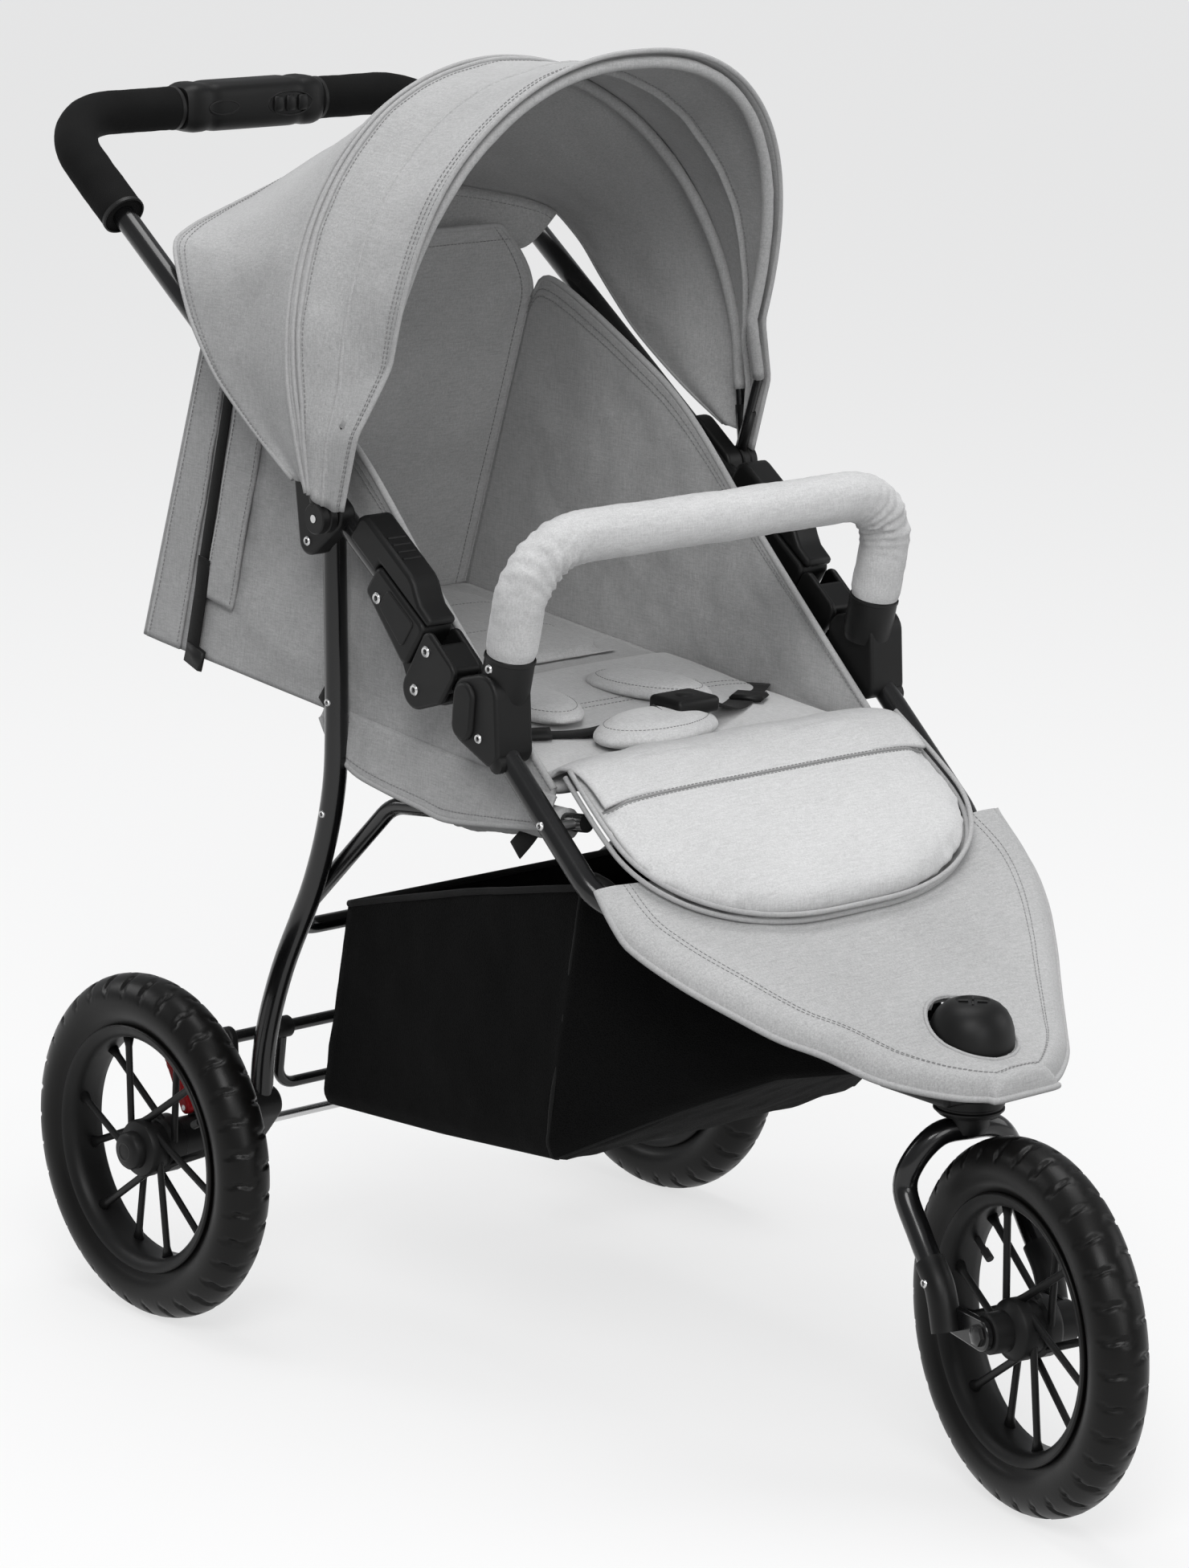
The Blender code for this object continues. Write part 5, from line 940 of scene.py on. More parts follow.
@dataclass(frozen=True)
class FrameLines:
    """Centre lines and pivots that several sub-assemblies share."""

    half_width: float = 0.2080
    tube_radius: float = 0.0100
    kink: Vector = Vector((0.0, -0.2813, 0.6250))
    hinge: Vector = Vector((0.0, -0.2690, 0.5910))
    canopy_pivot: Vector = Vector((0.0, -0.1550, 0.7150))
    leg_pivot: Vector = Vector((0.0, -0.1250, 0.6900))
    upper_deg: float = 34.8
    lower_deg: float = 40.5
    lower_length: float = 0.2547
    handle_length: float = 0.6568
    handle_bend: float = 0.0600
    track_half: float = 0.2897
    wheel_radius: float = 0.1500
    head_y: float = -0.6910
    steer_deg: float = -12.84
    trail: float = 0.0972
    bumper_foot: Vector = Vector((0.0, -0.3525, 0.6000))
    bumper_corner: Vector = Vector((0.0, -0.3800, 0.7260))

    @property
    def upper(self) -> Vector:
        """Direction up the handle tube."""
        return Vector((0.0, math.cos(math.radians(self.upper_deg)), math.sin(math.radians(self.upper_deg))))

    @property
    def upper_normal(self) -> Vector:
        """Direction square to the handle tube, upwards and forwards."""
        return Vector((0.0, -self.upper.z, self.upper.y))

    @property
    def lower(self) -> Vector:
        """Direction down the front tube."""
        return Vector((0.0, -math.cos(math.radians(self.lower_deg)), -math.sin(math.radians(self.lower_deg))))

    @property
    def lower_normal(self) -> Vector:
        """Direction square to the front tube, upwards and forwards."""
        return Vector((0.0, self.lower.z, -self.lower.y))

    def point(self, along: float, above: float) -> tuple:
        """(y, z) along the upper tube's direction and above the hinge."""
        place = self.hinge + self.upper * along + self.upper_normal * above
        return place.y, place.z

    def place(self, along: float, above: float) -> Vector:
        """Such a point on the middle plane."""
        return Vector((0.0, *self.point(along, above)))

    def beside(self, side: Side, x: float, place: Vector) -> Vector:
        """The same (y, z) at a distance to one side."""
        return side.at(x, place.y, place.z)

    def in_fork(self, x: float, y: float, z: float) -> Vector:
        """A point drawn about the steering axis, turned as the fork stands."""
        turned = Matrix.Rotation(math.radians(self.steer_deg), 3, "Z") @ Vector((x, y, z))
        return turned + Vector((0.0, self.head_y, 0.0))


LINES = FrameLines()


@dataclass
class FrameTubes:
    """Painted tubes of the main frame."""

    head_half: float = 0.0350
    head_y: float = -0.6550
    head_z: float = 0.3510
    foot_bend: float = 0.0500
    leg_x: float = 0.1950
    rail_x: float = 0.1765
    rail_radius: float = 0.0075
    rivet_height: float = 0.0098

    def front_path(self, side: Side) -> list:
        """Centre line of a front tube."""
        start = LINES.beside(side, LINES.half_width, LINES.kink + LINES.lower * 0.006)
        corner = LINES.beside(side, LINES.half_width, LINES.kink + LINES.lower * LINES.lower_length)
        return fillet_path((start, corner, side.at(self.head_half, self.head_y, self.head_z)), (self.foot_bend,))

    def handle_path(self) -> list:
        """Centre line of the handle tube."""
        feet = [LINES.beside(s, LINES.half_width, LINES.kink + LINES.upper * 0.0125) for s in Side]
        ends = [LINES.beside(s, LINES.half_width, LINES.kink + LINES.upper * LINES.handle_length) for s in Side]
        return fillet_path((feet[0], ends[0], ends[1], feet[1]), (LINES.handle_bend,) * 2)

    def leg_path(self, side: Side) -> list:
        """Centre line of a rear leg."""
        points = ((-0.125, 0.702), (-0.126, 0.674), (-0.130, 0.536), (-0.125, 0.466), (-0.102, 0.392),
                  (-0.058, 0.305), (-0.034, 0.235), (-0.027, 0.172))
        return smooth_path([side.at(self.leg_x, y, z) for y, z in points])

    def rail_path(self) -> list:
        """Centre line of the rail under the seat."""
        points = ((-0.4289, 0.5052), (-0.183, 0.471), (-0.036, 0.330))
        corners = [Side.RIGHT.at(self.rail_x, y, z) for y, z in points]
        corners += [Side.LEFT.at(self.rail_x, y, z) for y, z in reversed(points)]
        return fillet_path(corners, (0.05, 0.035, 0.035, 0.05))

    def build(self) -> None:
        """Make the tubes with their end pins and rivets."""
        for side in Side:
            front = tube_piece(f"front_tube_paint_{side.label}", self.front_path(side), LINES.tube_radius,
                               Finish.PAINT, Body.FRONT)
            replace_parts(front, f"front_tube_{side.label}")
            leg = tube_piece(f"rear_leg_paint_{side.label}", self.leg_path(side), LINES.tube_radius, Finish.PAINT,
                             Body.REAR)
            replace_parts(leg, f"rear_leg_{side.label}")
            for y, z in ((-0.130, 0.552), (-0.1235, 0.455)):
                rivet(f"leg_rivet_{side.label}_{int(z * 1000)}", side.at(self.leg_x + self.rivet_height, y, z),
                      side.out, Body.REAR, 0.0034)
            for y, z in ((-0.3634, 0.5558), (-0.420, 0.5072)):
                rivet(f"tube_rivet_{side.label}_{int(-y * 1000)}",
                      side.at(LINES.half_width + self.rivet_height, y, z), side.out, Body.FRONT, 0.0038)
            pin_piece(f"rail_stub_paint_{side.label}", side, (self.rail_x, 0.2045), Vector((0, -0.420, 0.504)), 0.004,
                      Finish.STEEL, Body.RAIL)
            pin_piece(f"rail_boss_{side.label}", side, (self.rail_x, 0.1846), Vector((0, -0.090, 0.381)), 0.006,
                      Finish.PLASTIC, Body.RAIL)
        handle = tube_piece("handle_paint", self.handle_path(), LINES.tube_radius, Finish.PAINT, Body.HANDLE)
        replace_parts(handle, "handle_frame")
        rail = tube_piece("seat_rail_paint", self.rail_path(), self.rail_radius, Finish.PAINT, Body.RAIL)
        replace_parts(rail, "seat_rail")


@dataclass
class FoldHinges:
    """Fold hinges, latches, canopy brackets and bumper sockets."""

    half_width: float = 0.0165
    cheek: float = 0.0060
    axis_height: float = 0.0349
    sleeve_start: float = 0.0200
    sleeve_end: float = 0.0950
    latch_length: float = 0.1180
    latch_height: float = 0.0200
    latch_half: float = 0.0145
    bracket_inner: float = 0.2053
    bracket_outer: float = 0.2228
    socket_inner: float = 0.1865
    socket_outer: float = 0.2245
    cup_x: float = 0.2000

    @property
    def outer(self) -> float:
        """Outer face of a hinge."""
        return LINES.half_width + self.half_width

    @property
    def inner(self) -> float:
        """Inner face of a hinge."""
        return LINES.half_width - self.half_width

    def build(self) -> None:
        """Make both sides."""
        for side in Side:
            self.lower(side)
            self.upper(side)
            self.latch(side)
            self.bracket(side)
            self.socket(side)

    def lower(self, side: Side) -> None:
        """Fixed half: two rounded cheeks and a sleeve on the front tube."""
        top = self.axis_height + 0.016
        cheek = hull_outline([(LINES.hinge.y, LINES.hinge.z, 0.0165),
                              (*LINES.point(self.sleeve_start - 0.0088, top - 0.008), 0.008),
                              (*LINES.point(-0.020, top - 0.012), 0.010), (*LINES.point(-0.020, 0.016), 0.010)])
        cover = moulding(f"hinge_cover_{side.label}", cheek, self.outer - self.cheek, self.outer, side, Body.FRONT,
                         0.0026)
        moulding(f"hinge_inner_cover_{side.label}", cheek, self.inner, self.inner + self.cheek, side, Body.FRONT,
                 0.0020)
        sleeve = []
        for along in (0.010, 0.031):
            for above in (-0.011, 0.011):
                place = LINES.kink + LINES.lower * along + LINES.lower_normal * above
                sleeve.append((place.y, place.z, 0.005))
        moulding(f"hinge_sleeve_{side.label}", hull_outline(sleeve), self.inner + 0.0004, self.outer - 0.0004, side,
                 Body.FRONT, 0.0015)
        pin_piece(f"seat_boss_{side.label}", side, (0.1823, self.inner + 0.002), LINES.place(-0.020, 0.016), 0.007,
                  Finish.PLASTIC, Body.FRONT)
        for index, place in enumerate((LINES.kink + Vector((0, -0.002, 0.0)), LINES.hinge)):
            rivet(f"hinge_rivet_{side.label}_{index}", LINES.beside(side, self.outer + 0.0004, place), side.out,
                  Body.FRONT, 0.0048)
        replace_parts(cover, f"hinge_lower_{side.label}", f"hinge_pin_{side.label}")

    def upper(self, side: Side) -> None:
        """Moving half: a sleeve on the handle tube and a leaf between the cheeks."""
        low, top = self.axis_height - 0.0300, self.axis_height + 0.0140
        start, end = self.sleeve_start, self.sleeve_end
        outline = [(*LINES.point(start + 0.008, low + 0.008), 0.008),
                   (*LINES.point(start + 0.008, top - 0.008), 0.008),
                   (*LINES.point(end - 0.006, low + 0.020), 0.006), (*LINES.point(end - 0.006, top - 0.006), 0.006)]
        sleeve = moulding(f"hinge_casing_{side.label}", hull_outline(outline), self.inner, self.outer, side,
                          Body.HANDLE, 0.0035)
        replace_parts(sleeve, f"hinge_upper_{side.label}")
        leaf_half = self.half_width - self.cheek - 0.0003
        leaf = [(LINES.hinge.y, LINES.hinge.z, 0.0145), (*LINES.point(start + 0.014, 0.010), 0.006)]
        moulding(f"hinge_leaf_{side.label}", hull_outline(leaf), LINES.half_width - leaf_half,
                 LINES.half_width + leaf_half, side, Body.HANDLE, 0.0010)
        rivet(f"casing_rivet_{side.label}",
              LINES.beside(side, self.outer + 0.0004, LINES.place(end - 0.016, low + 0.022)), side.out, Body.HANDLE,
              0.0048)
        ridge = [(*LINES.point(start + 0.016, low + 0.016), 0.004), (*LINES.point(start + 0.016, top - 0.010), 0.004),
                 (*LINES.point(end - 0.026, low + 0.022), 0.004), (*LINES.point(end - 0.026, top - 0.010), 0.004)]
        moulding(f"casing_panel_{side.label}", hull_outline(ridge), self.outer - 0.001, self.outer + 0.0010, side,
                 Body.HANDLE, 0.0009)

    def latch(self, side: Side) -> None:
        """Sliding latch with a stepped nose, which rides on the handle tube."""
        body = side.body("latch")
        bottom = self.axis_height + 0.0140 + 0.0003
        start = self.sleeve_start - 0.0004
        end = start + self.latch_length
        top = bottom + self.latch_height
        heel, sill = self.sleeve_end + 0.001, self.axis_height + 0.004
        outline = [LINES.point(*p) for p in (
            (start, bottom), (heel, bottom), (heel, sill), (end, sill), (end, top - 0.008),
            (end - 0.002, top - 0.004), (end - 0.005, top - 0.001), (end - 0.010, top), (start + 0.042, top),
            (start + 0.034, top - 0.002), (start + 0.026, top - 0.007), (start + 0.018, top - 0.011),
            (start, top - 0.012))]
        piece = moulding(f"latch_body_{side.label}", outline, LINES.half_width - self.latch_half,
                         LINES.half_width + self.latch_half, side, body, 0.0045)
        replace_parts(piece, f"fold_latch_{side.label}")
        for index, along in enumerate((0.060, 0.068, 0.076, 0.084)):
            pin_piece(f"latch_ridge_{side.label}_{index}", side, (LINES.half_width - 0.009, LINES.half_width + 0.009),
                      LINES.place(start + along, top - 0.0002), 0.0012, Finish.PLASTIC, body, 10)

    def bracket(self, side: Side) -> None:
        """Bracket that carries the canopy and a rear leg."""
        on_tube = LINES.kink + LINES.upper * ((LINES.leg_pivot.y + 0.004 - LINES.kink.y) / LINES.upper.y)
        discs = [(place.y, place.z, radius) for place, radius in
                 ((on_tube, 0.0150), (LINES.leg_pivot, 0.0120), (LINES.canopy_pivot, 0.0130))]
        piece = moulding(f"bracket_body_{side.label}", hull_outline(discs), self.bracket_inner, self.bracket_outer,
                         side, Body.HANDLE, 0.0028)
        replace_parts(piece, f"canopy_bracket_{side.label}")
        pin_piece(f"leg_pin_{side.label}", side, (0.1950, 0.2060), LINES.leg_pivot, 0.004, Finish.STEEL, Body.HANDLE,
                  16)
        pin_piece(f"canopy_pin_{side.label}", side, (0.2220, 0.2407), LINES.canopy_pivot, 0.0034, Finish.STEEL,
                  Body.HANDLE, 16)
        rivet(f"bracket_rivet_{side.label}", LINES.beside(side, self.bracket_outer + 0.0003, LINES.leg_pivot),
              side.out, Body.HANDLE, 0.0040)

    def socket(self, side: Side) -> None:
        """Socket of the bumper bar, with its cup, oval button and knob."""
        leg = LINES.bumper_foot
        up = (LINES.bumper_corner - leg).normalized()
        clamp = LINES.kink + LINES.lower * 0.0852
        ends = ((leg.y + 0.0185, leg.z - 0.003), (leg.y + 0.0205, leg.z - 0.026))
        discs = [(clamp.y, clamp.z, 0.0175), (clamp.y - 0.016, clamp.z - 0.013, 0.012),
                 (*ends[0], 0.0165), (*ends[1], 0.0165), (leg.y, leg.z, 0.0185)]
        piece = moulding(f"socket_body_{side.label}", hull_outline(discs), self.socket_inner, self.socket_outer, side,
                         Body.FRONT, 0.0030)
        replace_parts(piece, f"bumper_socket_{side.label}")
        cup = [(0.0085, 0.0330), (0.0192, 0.0330), (0.0205, 0.0316), (0.0205, 0.0), (0.0188, -0.0060),
               (0.0085, -0.0060)]
        lip = [(0.0204, 0.0296), (0.0212, 0.0302), (0.0212, 0.0322), (0.0204, 0.0328)]
        for label, profile in (("cup", cup), ("lip", lip)):
            turned_piece(f"socket_{label}_{side.label}", profile, LINES.beside(side, self.cup_x, leg), up,
                         Finish.PLASTIC, Body.FRONT, 40, True)
        rivet(f"socket_rivet_{side.label}", LINES.beside(side, self.cup_x + 0.0205, leg + up * 0.024), side.out,
              Body.FRONT, 0.0040)
        rivet(f"socket_low_rivet_{side.label}", side.at(self.socket_outer + 0.0002, leg.y + 0.002, leg.z - 0.034),
              side.out, Body.FRONT, 0.0040)
        button = moulding(f"release_oval_{side.label}", hull_outline([(*end, 0.0125) for end in ends]), 0.2215,
                          0.2285, side, side.body("bumper_release"), 0.0030)
        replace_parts(button, f"bumper_button_{side.label}")
        knob = [(0.0, 0.0055), (0.0055, 0.0050), (0.0078, 0.0030), (0.0080, -0.004), (0.0, -0.004)]
        turned_piece(f"socket_knob_{side.label}", knob, side.at(0.2190, -0.3690, 0.5480), side.out, Finish.PLASTIC,
                     Body.FRONT, 28)


@dataclass
class HandleGrips:
    """Foam grips, fold housing and the ridged fold button."""

    radius: float = 0.0190
    start: float = 0.5290
    housing_half: float = 0.0750
    housing_size: float = 0.0220

    def build(self) -> None:
        """Make the grips, the housing and its button."""
        corner = LINES.kink + LINES.upper * LINES.handle_length
        for side in Side:
            self.grip(side, corner)
        self.housing(corner)
        self.button(corner)

    def grip(self, side: Side, corner: Vector) -> None:
        """Foam grip round one bend of the handle, with a ring at each end."""
        path = fillet_path((LINES.beside(side, LINES.half_width, LINES.kink + LINES.upper * self.start),
                            LINES.beside(side, LINES.half_width, corner),
                            LINES.beside(side, self.housing_half + 0.0003, corner)), (LINES.handle_bend,), 5.0)
        path = even_path(path, 0.004)

        def foam(share: float, angle: float, place: Vector) -> float:
            return wrinkle(place, 0.02, 0.0004) - 0.0012 * max(0.0, 1 - min(share, 1 - share) / 0.02)

        grip = swept_piece(f"grip_foam_{side.label}", path, ring_section(self.radius, 28), Finish.FOAM, Body.HANDLE,
                           ripple=foam)
        sharpened(grip, 60)
        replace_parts(grip, f"handle_grip_{side.label}")
        ring = mirrored([(self.radius - 0.001, -0.0022), (self.radius + 0.0004, -0.0016)])
        ways = ((0.006, path[1] - path[0]), (0.994, path[-1] - path[-2]))
        for index, (share, way) in enumerate(ways):
            turned_piece(f"grip_ring_{side.label}_{index}", ring, path[int(share * (len(path) - 1))],
                         way.normalized(), Finish.PLASTIC, Body.HANDLE, 40, True)

    def housing(self, corner: Vector) -> None:
        """Rounded housing in the middle of the crossbar."""
        section = [[math.copysign(abs(c) ** 0.55, c) * self.housing_size for c in (math.cos(a), math.sin(a))]
                   for a in spread(0, math.tau, 32)[:-1]]
        path = [Vector((x, corner.y, corner.z)) for x in spread(-self.housing_half, self.housing_half, 40)]

        def waist(share: float) -> float:
            end = min(share, 1 - share)
            return 1.0 - 0.16 * max(0.0, 1 - end / 0.08) ** 2 - 0.05 * math.exp(-((end - 0.17) / 0.03) ** 2)

        shell = swept_piece("fold_housing_shell", path, section, Finish.PLASTIC, Body.HANDLE, up=UP, scale=waist)
        sharpened(shell, 60)
        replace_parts(shell, "fold_housing")

    def button(self, corner: Vector) -> None:
        """Three ridges of the fold button, and the rims round it and the slider."""
        front = corner.y - self.housing_size
        ridges = []
        for index in range(3):
            x = 0.0215 + index * 0.0135
            path = [Vector((x + dx, front - 0.0002, corner.z)) for dx in (-0.0052, -0.004, 0.004, 0.0052)]
            ridges.append(swept_piece(f"fold_button_ridge_{index}", path, ring_section(0.0070, 18, 0.32),
                                      Finish.PLASTIC, Body.FOLD_RELEASE, up=Vector((0, 1, 0)),
                                      scale=lambda share: 1.0 if 0.2 < share < 0.8 else 0.72))
        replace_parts(ridges[0], "fold_button")
        for name, x, half, height, steps in (("fold_button_rim", 0.035, 0.0245, 0.0105, 40),
                                             ("fold_slider_rim", -0.038, 0.016, 0.0060, 32)):
            path = [Vector((x + half * math.cos(a), front + 0.0006, corner.z + height * math.sin(a)))
                    for a in spread(0, math.tau, steps)]
            tube_piece(name, path, 0.0009, Finish.PLASTIC, Body.HANDLE, 8)


@dataclass
class Wheel:
    """One spoked wheel with a grooved tyre.

    Args:
        label: Start of its pieces' names.
        body: The body it turns with.
        centre: Middle of the wheel.
        axis: Direction of the axle, outwards.
        rear: Whether it has a domed cap, as the rear wheels have.
    """

    label: str
    body: Body
    centre: Vector
    axis: Vector
    rear: bool
    section_radius: float = 0.0234
    seat_radius: float = 0.1050
    bead_half: float = 0.0165
    grooves: int = 34
    groove_depth: float = 0.0021
    groove_end: float = 1.25
    spoke_pairs: int = 6
    spoke_lean_deg: float = 13.0
    spoke_radius: float = 0.0033
    valve_angle: float = 0.5

    def build(self) -> None:
        """Make the tyre, rim, spokes, hub and valve."""
        self.turn = self.axis.to_track_quat("X", "Z").to_matrix()
        self.tyre()
        self.rim()
        self.spokes()
        self.hub()

    def place(self, x: float, radius: float, angle: float) -> Vector:
        """A point on the wheel from its axial, radial and angular place."""
        return self.centre + self.turn @ Vector((x, radius * math.cos(angle), radius * math.sin(angle)))

    def turned(self, name: str, profile: list, finish: Finish, steps: int, closed: bool = True) -> bpy.types.Object:
        """Turned piece of this wheel."""
        return turned_piece(f"{self.label}_{name}", profile, self.centre, self.axis, finish, self.body, steps, closed)

    def tyre(self) -> None:
        """Tyre with slanted shoulder grooves and a bead ring at each side."""
        around, across = 640, 26
        middle = LINES.wheel_radius - self.section_radius
        bead = math.acos((self.seat_radius + 0.006 - middle) / self.section_radius)
        verts = []
        for theta in spread(0, math.tau, around)[:-1]:
            ring = [(self.bead_half, self.seat_radius)]
            for phi in spread(bead, -bead, across):
                radius = self.section_radius - self.groove(theta, phi)
                ring.append((radius * math.sin(phi), middle + radius * math.cos(phi)))
            ring.append((-self.bead_half, self.seat_radius))
            verts += [self.place(x, radius, theta) for x, radius in ring]
        tyre = mesh_piece(f"{self.label}_tyre_rubber", verts, rings_faces(around, across + 3, True), Finish.TYRE,
                          self.body)
        sharpened(tyre, 55)
        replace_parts(tyre, f"{self.label}_tyre")
        for side in (-1, 1):
            bead_ring = [(0.1062 + across, side * 0.0182 + above) for across, above in ring_section(0.0021, 10)]
            self.turned(f"bead_{side + 1}", bead_ring, Finish.TYRE, 96)

    def groove(self, theta: float, phi: float) -> float:
        """Depth of the tread pattern at one place."""
        lean = abs(phi)
        if lean > self.groove_end:
            return 0.0
        wave = theta * self.grooves / math.tau + (0.0 if phi > 0 else 0.5)
        share = (wave + 0.55 * lean + 0.18 * math.sin(lean * 5.0)) % 1.0
        cut = max(0.0, 1 - abs(share - 0.5) / 0.105)
        fade = min(1.0, max(0.0, (lean - 0.14) / 0.08)) * min(1.0, max(0.0, (self.groove_end - lean) / 0.25))
        return self.groove_depth * min(1.0, cut * 1.8) * fade

    def rim(self) -> None:
        """Deep rim with rolled lips, and the valve with its cap."""
        lips = [(0.1046, 0.0140), (0.1072, 0.0172), (0.1080, 0.0192), (0.1066, 0.0204), (0.1035, 0.0200),
                (0.1000, 0.0176), (0.0972, 0.0150), (0.0958, 0.0080), (0.0952, 0.0)]
        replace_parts(self.turned("rim", mirrored(lips, 1), Finish.PLASTIC, 128), f"{self.label}_wheel")
        for name, ends, radius in (("valve", (0.096, 0.078), 0.0026), ("valve_cap", (0.083, 0.073), 0.0035)):
            path = [self.place(0.004, end, self.valve_angle) for end in ends]
            tube_piece(f"{self.label}_{name}", path, radius, Finish.PLASTIC, self.body, 12)

    def spokes(self) -> None:
        """Slanting spokes that widen into the hub and the rim."""
        def flare(share: float) -> float:
            return 1.0 + 0.45 * max(0.0, 1 - share / 0.15) + 0.7 * max(0.0, 1 - (1 - share) / 0.12) ** 2

        for flange in (-1, 1):
            lean = math.radians(self.spoke_lean_deg) * flange
            for pair in range(self.spoke_pairs):
                base = math.tau * pair / self.spoke_pairs
                root = self.place(flange * 0.0080, 0.0195, base + lean * 4.8)
                tip = self.place(flange * 0.0050, 0.0965, base - lean)
                swept_piece(f"{self.label}_spoke_{flange + 1}_{pair}", [root.lerp(tip, t) for t in spread(0, 1, 10)],
                            ring_section(self.spoke_radius, 14, 0.85), Finish.PLASTIC, self.body, up=self.axis,
                            scale=flare)

    def hub(self) -> None:
        """Hub barrel with flanges, and a domed cap or two axle faces."""
        flange = [(0.0250, 0.0060), (0.0215, 0.0035)]
        if self.rear:
            profile = [(0.0, 0.0303), (0.0100, 0.0300), (0.0145, 0.0285), (0.0163, 0.0262), (0.0165, 0.0190),
                       (0.0235, 0.0165), (0.0250, 0.0140), *mirrored(flange), (0.0250, -0.0185), (0.0235, -0.0200),
                       (0.0063, -0.0200), (0.0063, 0.0), (0.0, 0.0)]
            self.turned("hub", profile, Finish.PLASTIC, 56, False)
            self.turned("hub_ring", [(0.0060, 0.0300), (0.0075, 0.0306), (0.0090, 0.0300)], Finish.PLASTIC, 40)
            return
        half = [(0.0063, 0.0390), (0.0150, 0.0390), (0.0165, 0.0375), (0.0165, 0.0220), (0.0240, 0.0175),
                (0.0250, 0.0150), *flange]
        self.turned("hub", mirrored(half), Finish.PLASTIC, 56)


@dataclass
class SteeringHead:
    """Fork, steering head and swivel-lock knob."""

    fork_half: float = 0.0500
    fork_radius: float = 0.0100
    dropout_inner: float = 0.0393
    dropout_outer: float = 0.0457
    head_bottom: float = 0.3145
    head_top: float = 0.3435
    head_front: float = 0.0310
    head_rear: float = 0.0560
    knob_bottom: float = 0.3428
    knob_top: float = 0.3893

    def fork_side(self) -> list:
        """Centre line of the left half of the fork, about the steering axis."""
        return [(0.0, 0.0, 0.2850), (self.fork_half * 0.52, 0.002, 0.2820), (self.fork_half * 0.90, 0.007, 0.2610),
                (self.fork_half, 0.010, 0.236), (self.fork_half, -0.016, 0.205), (self.fork_half, -0.047, 0.172),
                (self.fork_half, -0.058, 0.142)]

    def build(self) -> None:
        """Make the fork, the head and the knob."""
        half = self.fork_side()
        points = [(-x, y, z) for x, y, z in reversed(half)] + half[1:]
        fork = tube_piece("fork_paint", [LINES.in_fork(*p) for p in smooth_path(points)], self.fork_radius,
                          Finish.PAINT, Body.FORK)
        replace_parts(fork, "fork", "front_axle")
        for side in Side:
            self.dropout(side)
        race = [(0.0, 0.2970), (0.0160, 0.2970), (0.0172, 0.2955), (0.0172, 0.2880), (0.0140, 0.2820), (0.0, 0.2820)]
        turned_piece("crown_race", race, LINES.in_fork(0, 0, 0), UP, Finish.PLASTIC, Body.FORK)
        self.head()
        self.knob()

    def dropout(self, side: Side) -> None:
        """Lower end of one fork arm: sleeve, plate, axle nut and rivet."""
        s = side.value
        sleeve = [LINES.in_fork(s * self.fork_half, y, z)
                  for y, z in ((-0.030, 0.1905), (-0.047, 0.172), (-0.0585, 0.1410))]
        tube_piece(f"fork_sleeve_{side.label}", smooth_path(sleeve), 0.0122, Finish.PLASTIC, Body.FORK, 24)
        outline = hull_outline([(-0.056, 0.150, 0.0115), (-LINES.trail, LINES.wheel_radius, 0.0130)])
        faces = [[LINES.in_fork(s * x, y, z) for y, z in outline] for x in (self.dropout_inner, self.dropout_outer)]
        plate_piece(f"dropout_{side.label}", faces, Finish.PAINT, Body.FORK, 0.0014, 2, 30)
        axis = LINES.in_fork(s, 0, 0) - LINES.in_fork(0, 0, 0)
        centre = LINES.in_fork(0, -LINES.trail, LINES.wheel_radius)
        nut = [(0.0, 0.0506), (0.0050, 0.0506), (0.0086, 0.0490), (0.0090, 0.0458), (0.0, 0.0458)]
        turned_piece(f"axle_nut_{side.label}", nut, centre, axis, Finish.PAINT, Body.FORK, 6)
        tube_piece(f"axle_rod_{side.label}", [centre + axis * x for x in (0.002, 0.047)], 0.0058, Finish.STEEL,
                   Body.FORK)
        rivet(f"fork_rivet_{side.label}", LINES.in_fork(s * (self.fork_half + 0.0121), -0.0420, 0.1775), axis,
              Body.FORK, 0.0038)

    def head(self) -> None:
        """Head block with a collar under it and a raised rear shoulder."""
        y, low, high = LINES.head_y, self.head_bottom, self.head_top
        front, rear = y - self.head_front, y + self.head_rear
        outline = [(front + 0.010, low + 0.004, 0.004), (front + 0.012, high - 0.006, 0.006),
                   (rear - 0.006, low + 0.006, 0.006), (rear - 0.006, high - 0.006, 0.006)]
        block = moulding("head_block", hull_outline(outline), -0.0500, 0.0500, Side.LEFT, Body.FRONT, 0.0060)
        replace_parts(block, "headset_housing", "headset_collar")
        shoulder = [(y + behind, z, 0.006) for behind in (0.044, 0.040) for z in (0.3560, 0.3300)]
        moulding("head_shoulder", hull_outline(shoulder), -0.0470, 0.0470, Side.LEFT, Body.FRONT, 0.0030)
        collar = [(0.0125, 0.3143), (0.0262, 0.3143), (0.0283, 0.3128), (0.0285, 0.3060), (0.0270, 0.3050),
                  (0.0270, 0.3036), (0.0285, 0.3026), (0.0285, 0.3012), (0.0245, 0.2973), (0.0128, 0.2973)]
        turned_piece("head_collar", collar, Vector((0, y, 0)), UP, Finish.PLASTIC, Body.FRONT, 64, True)

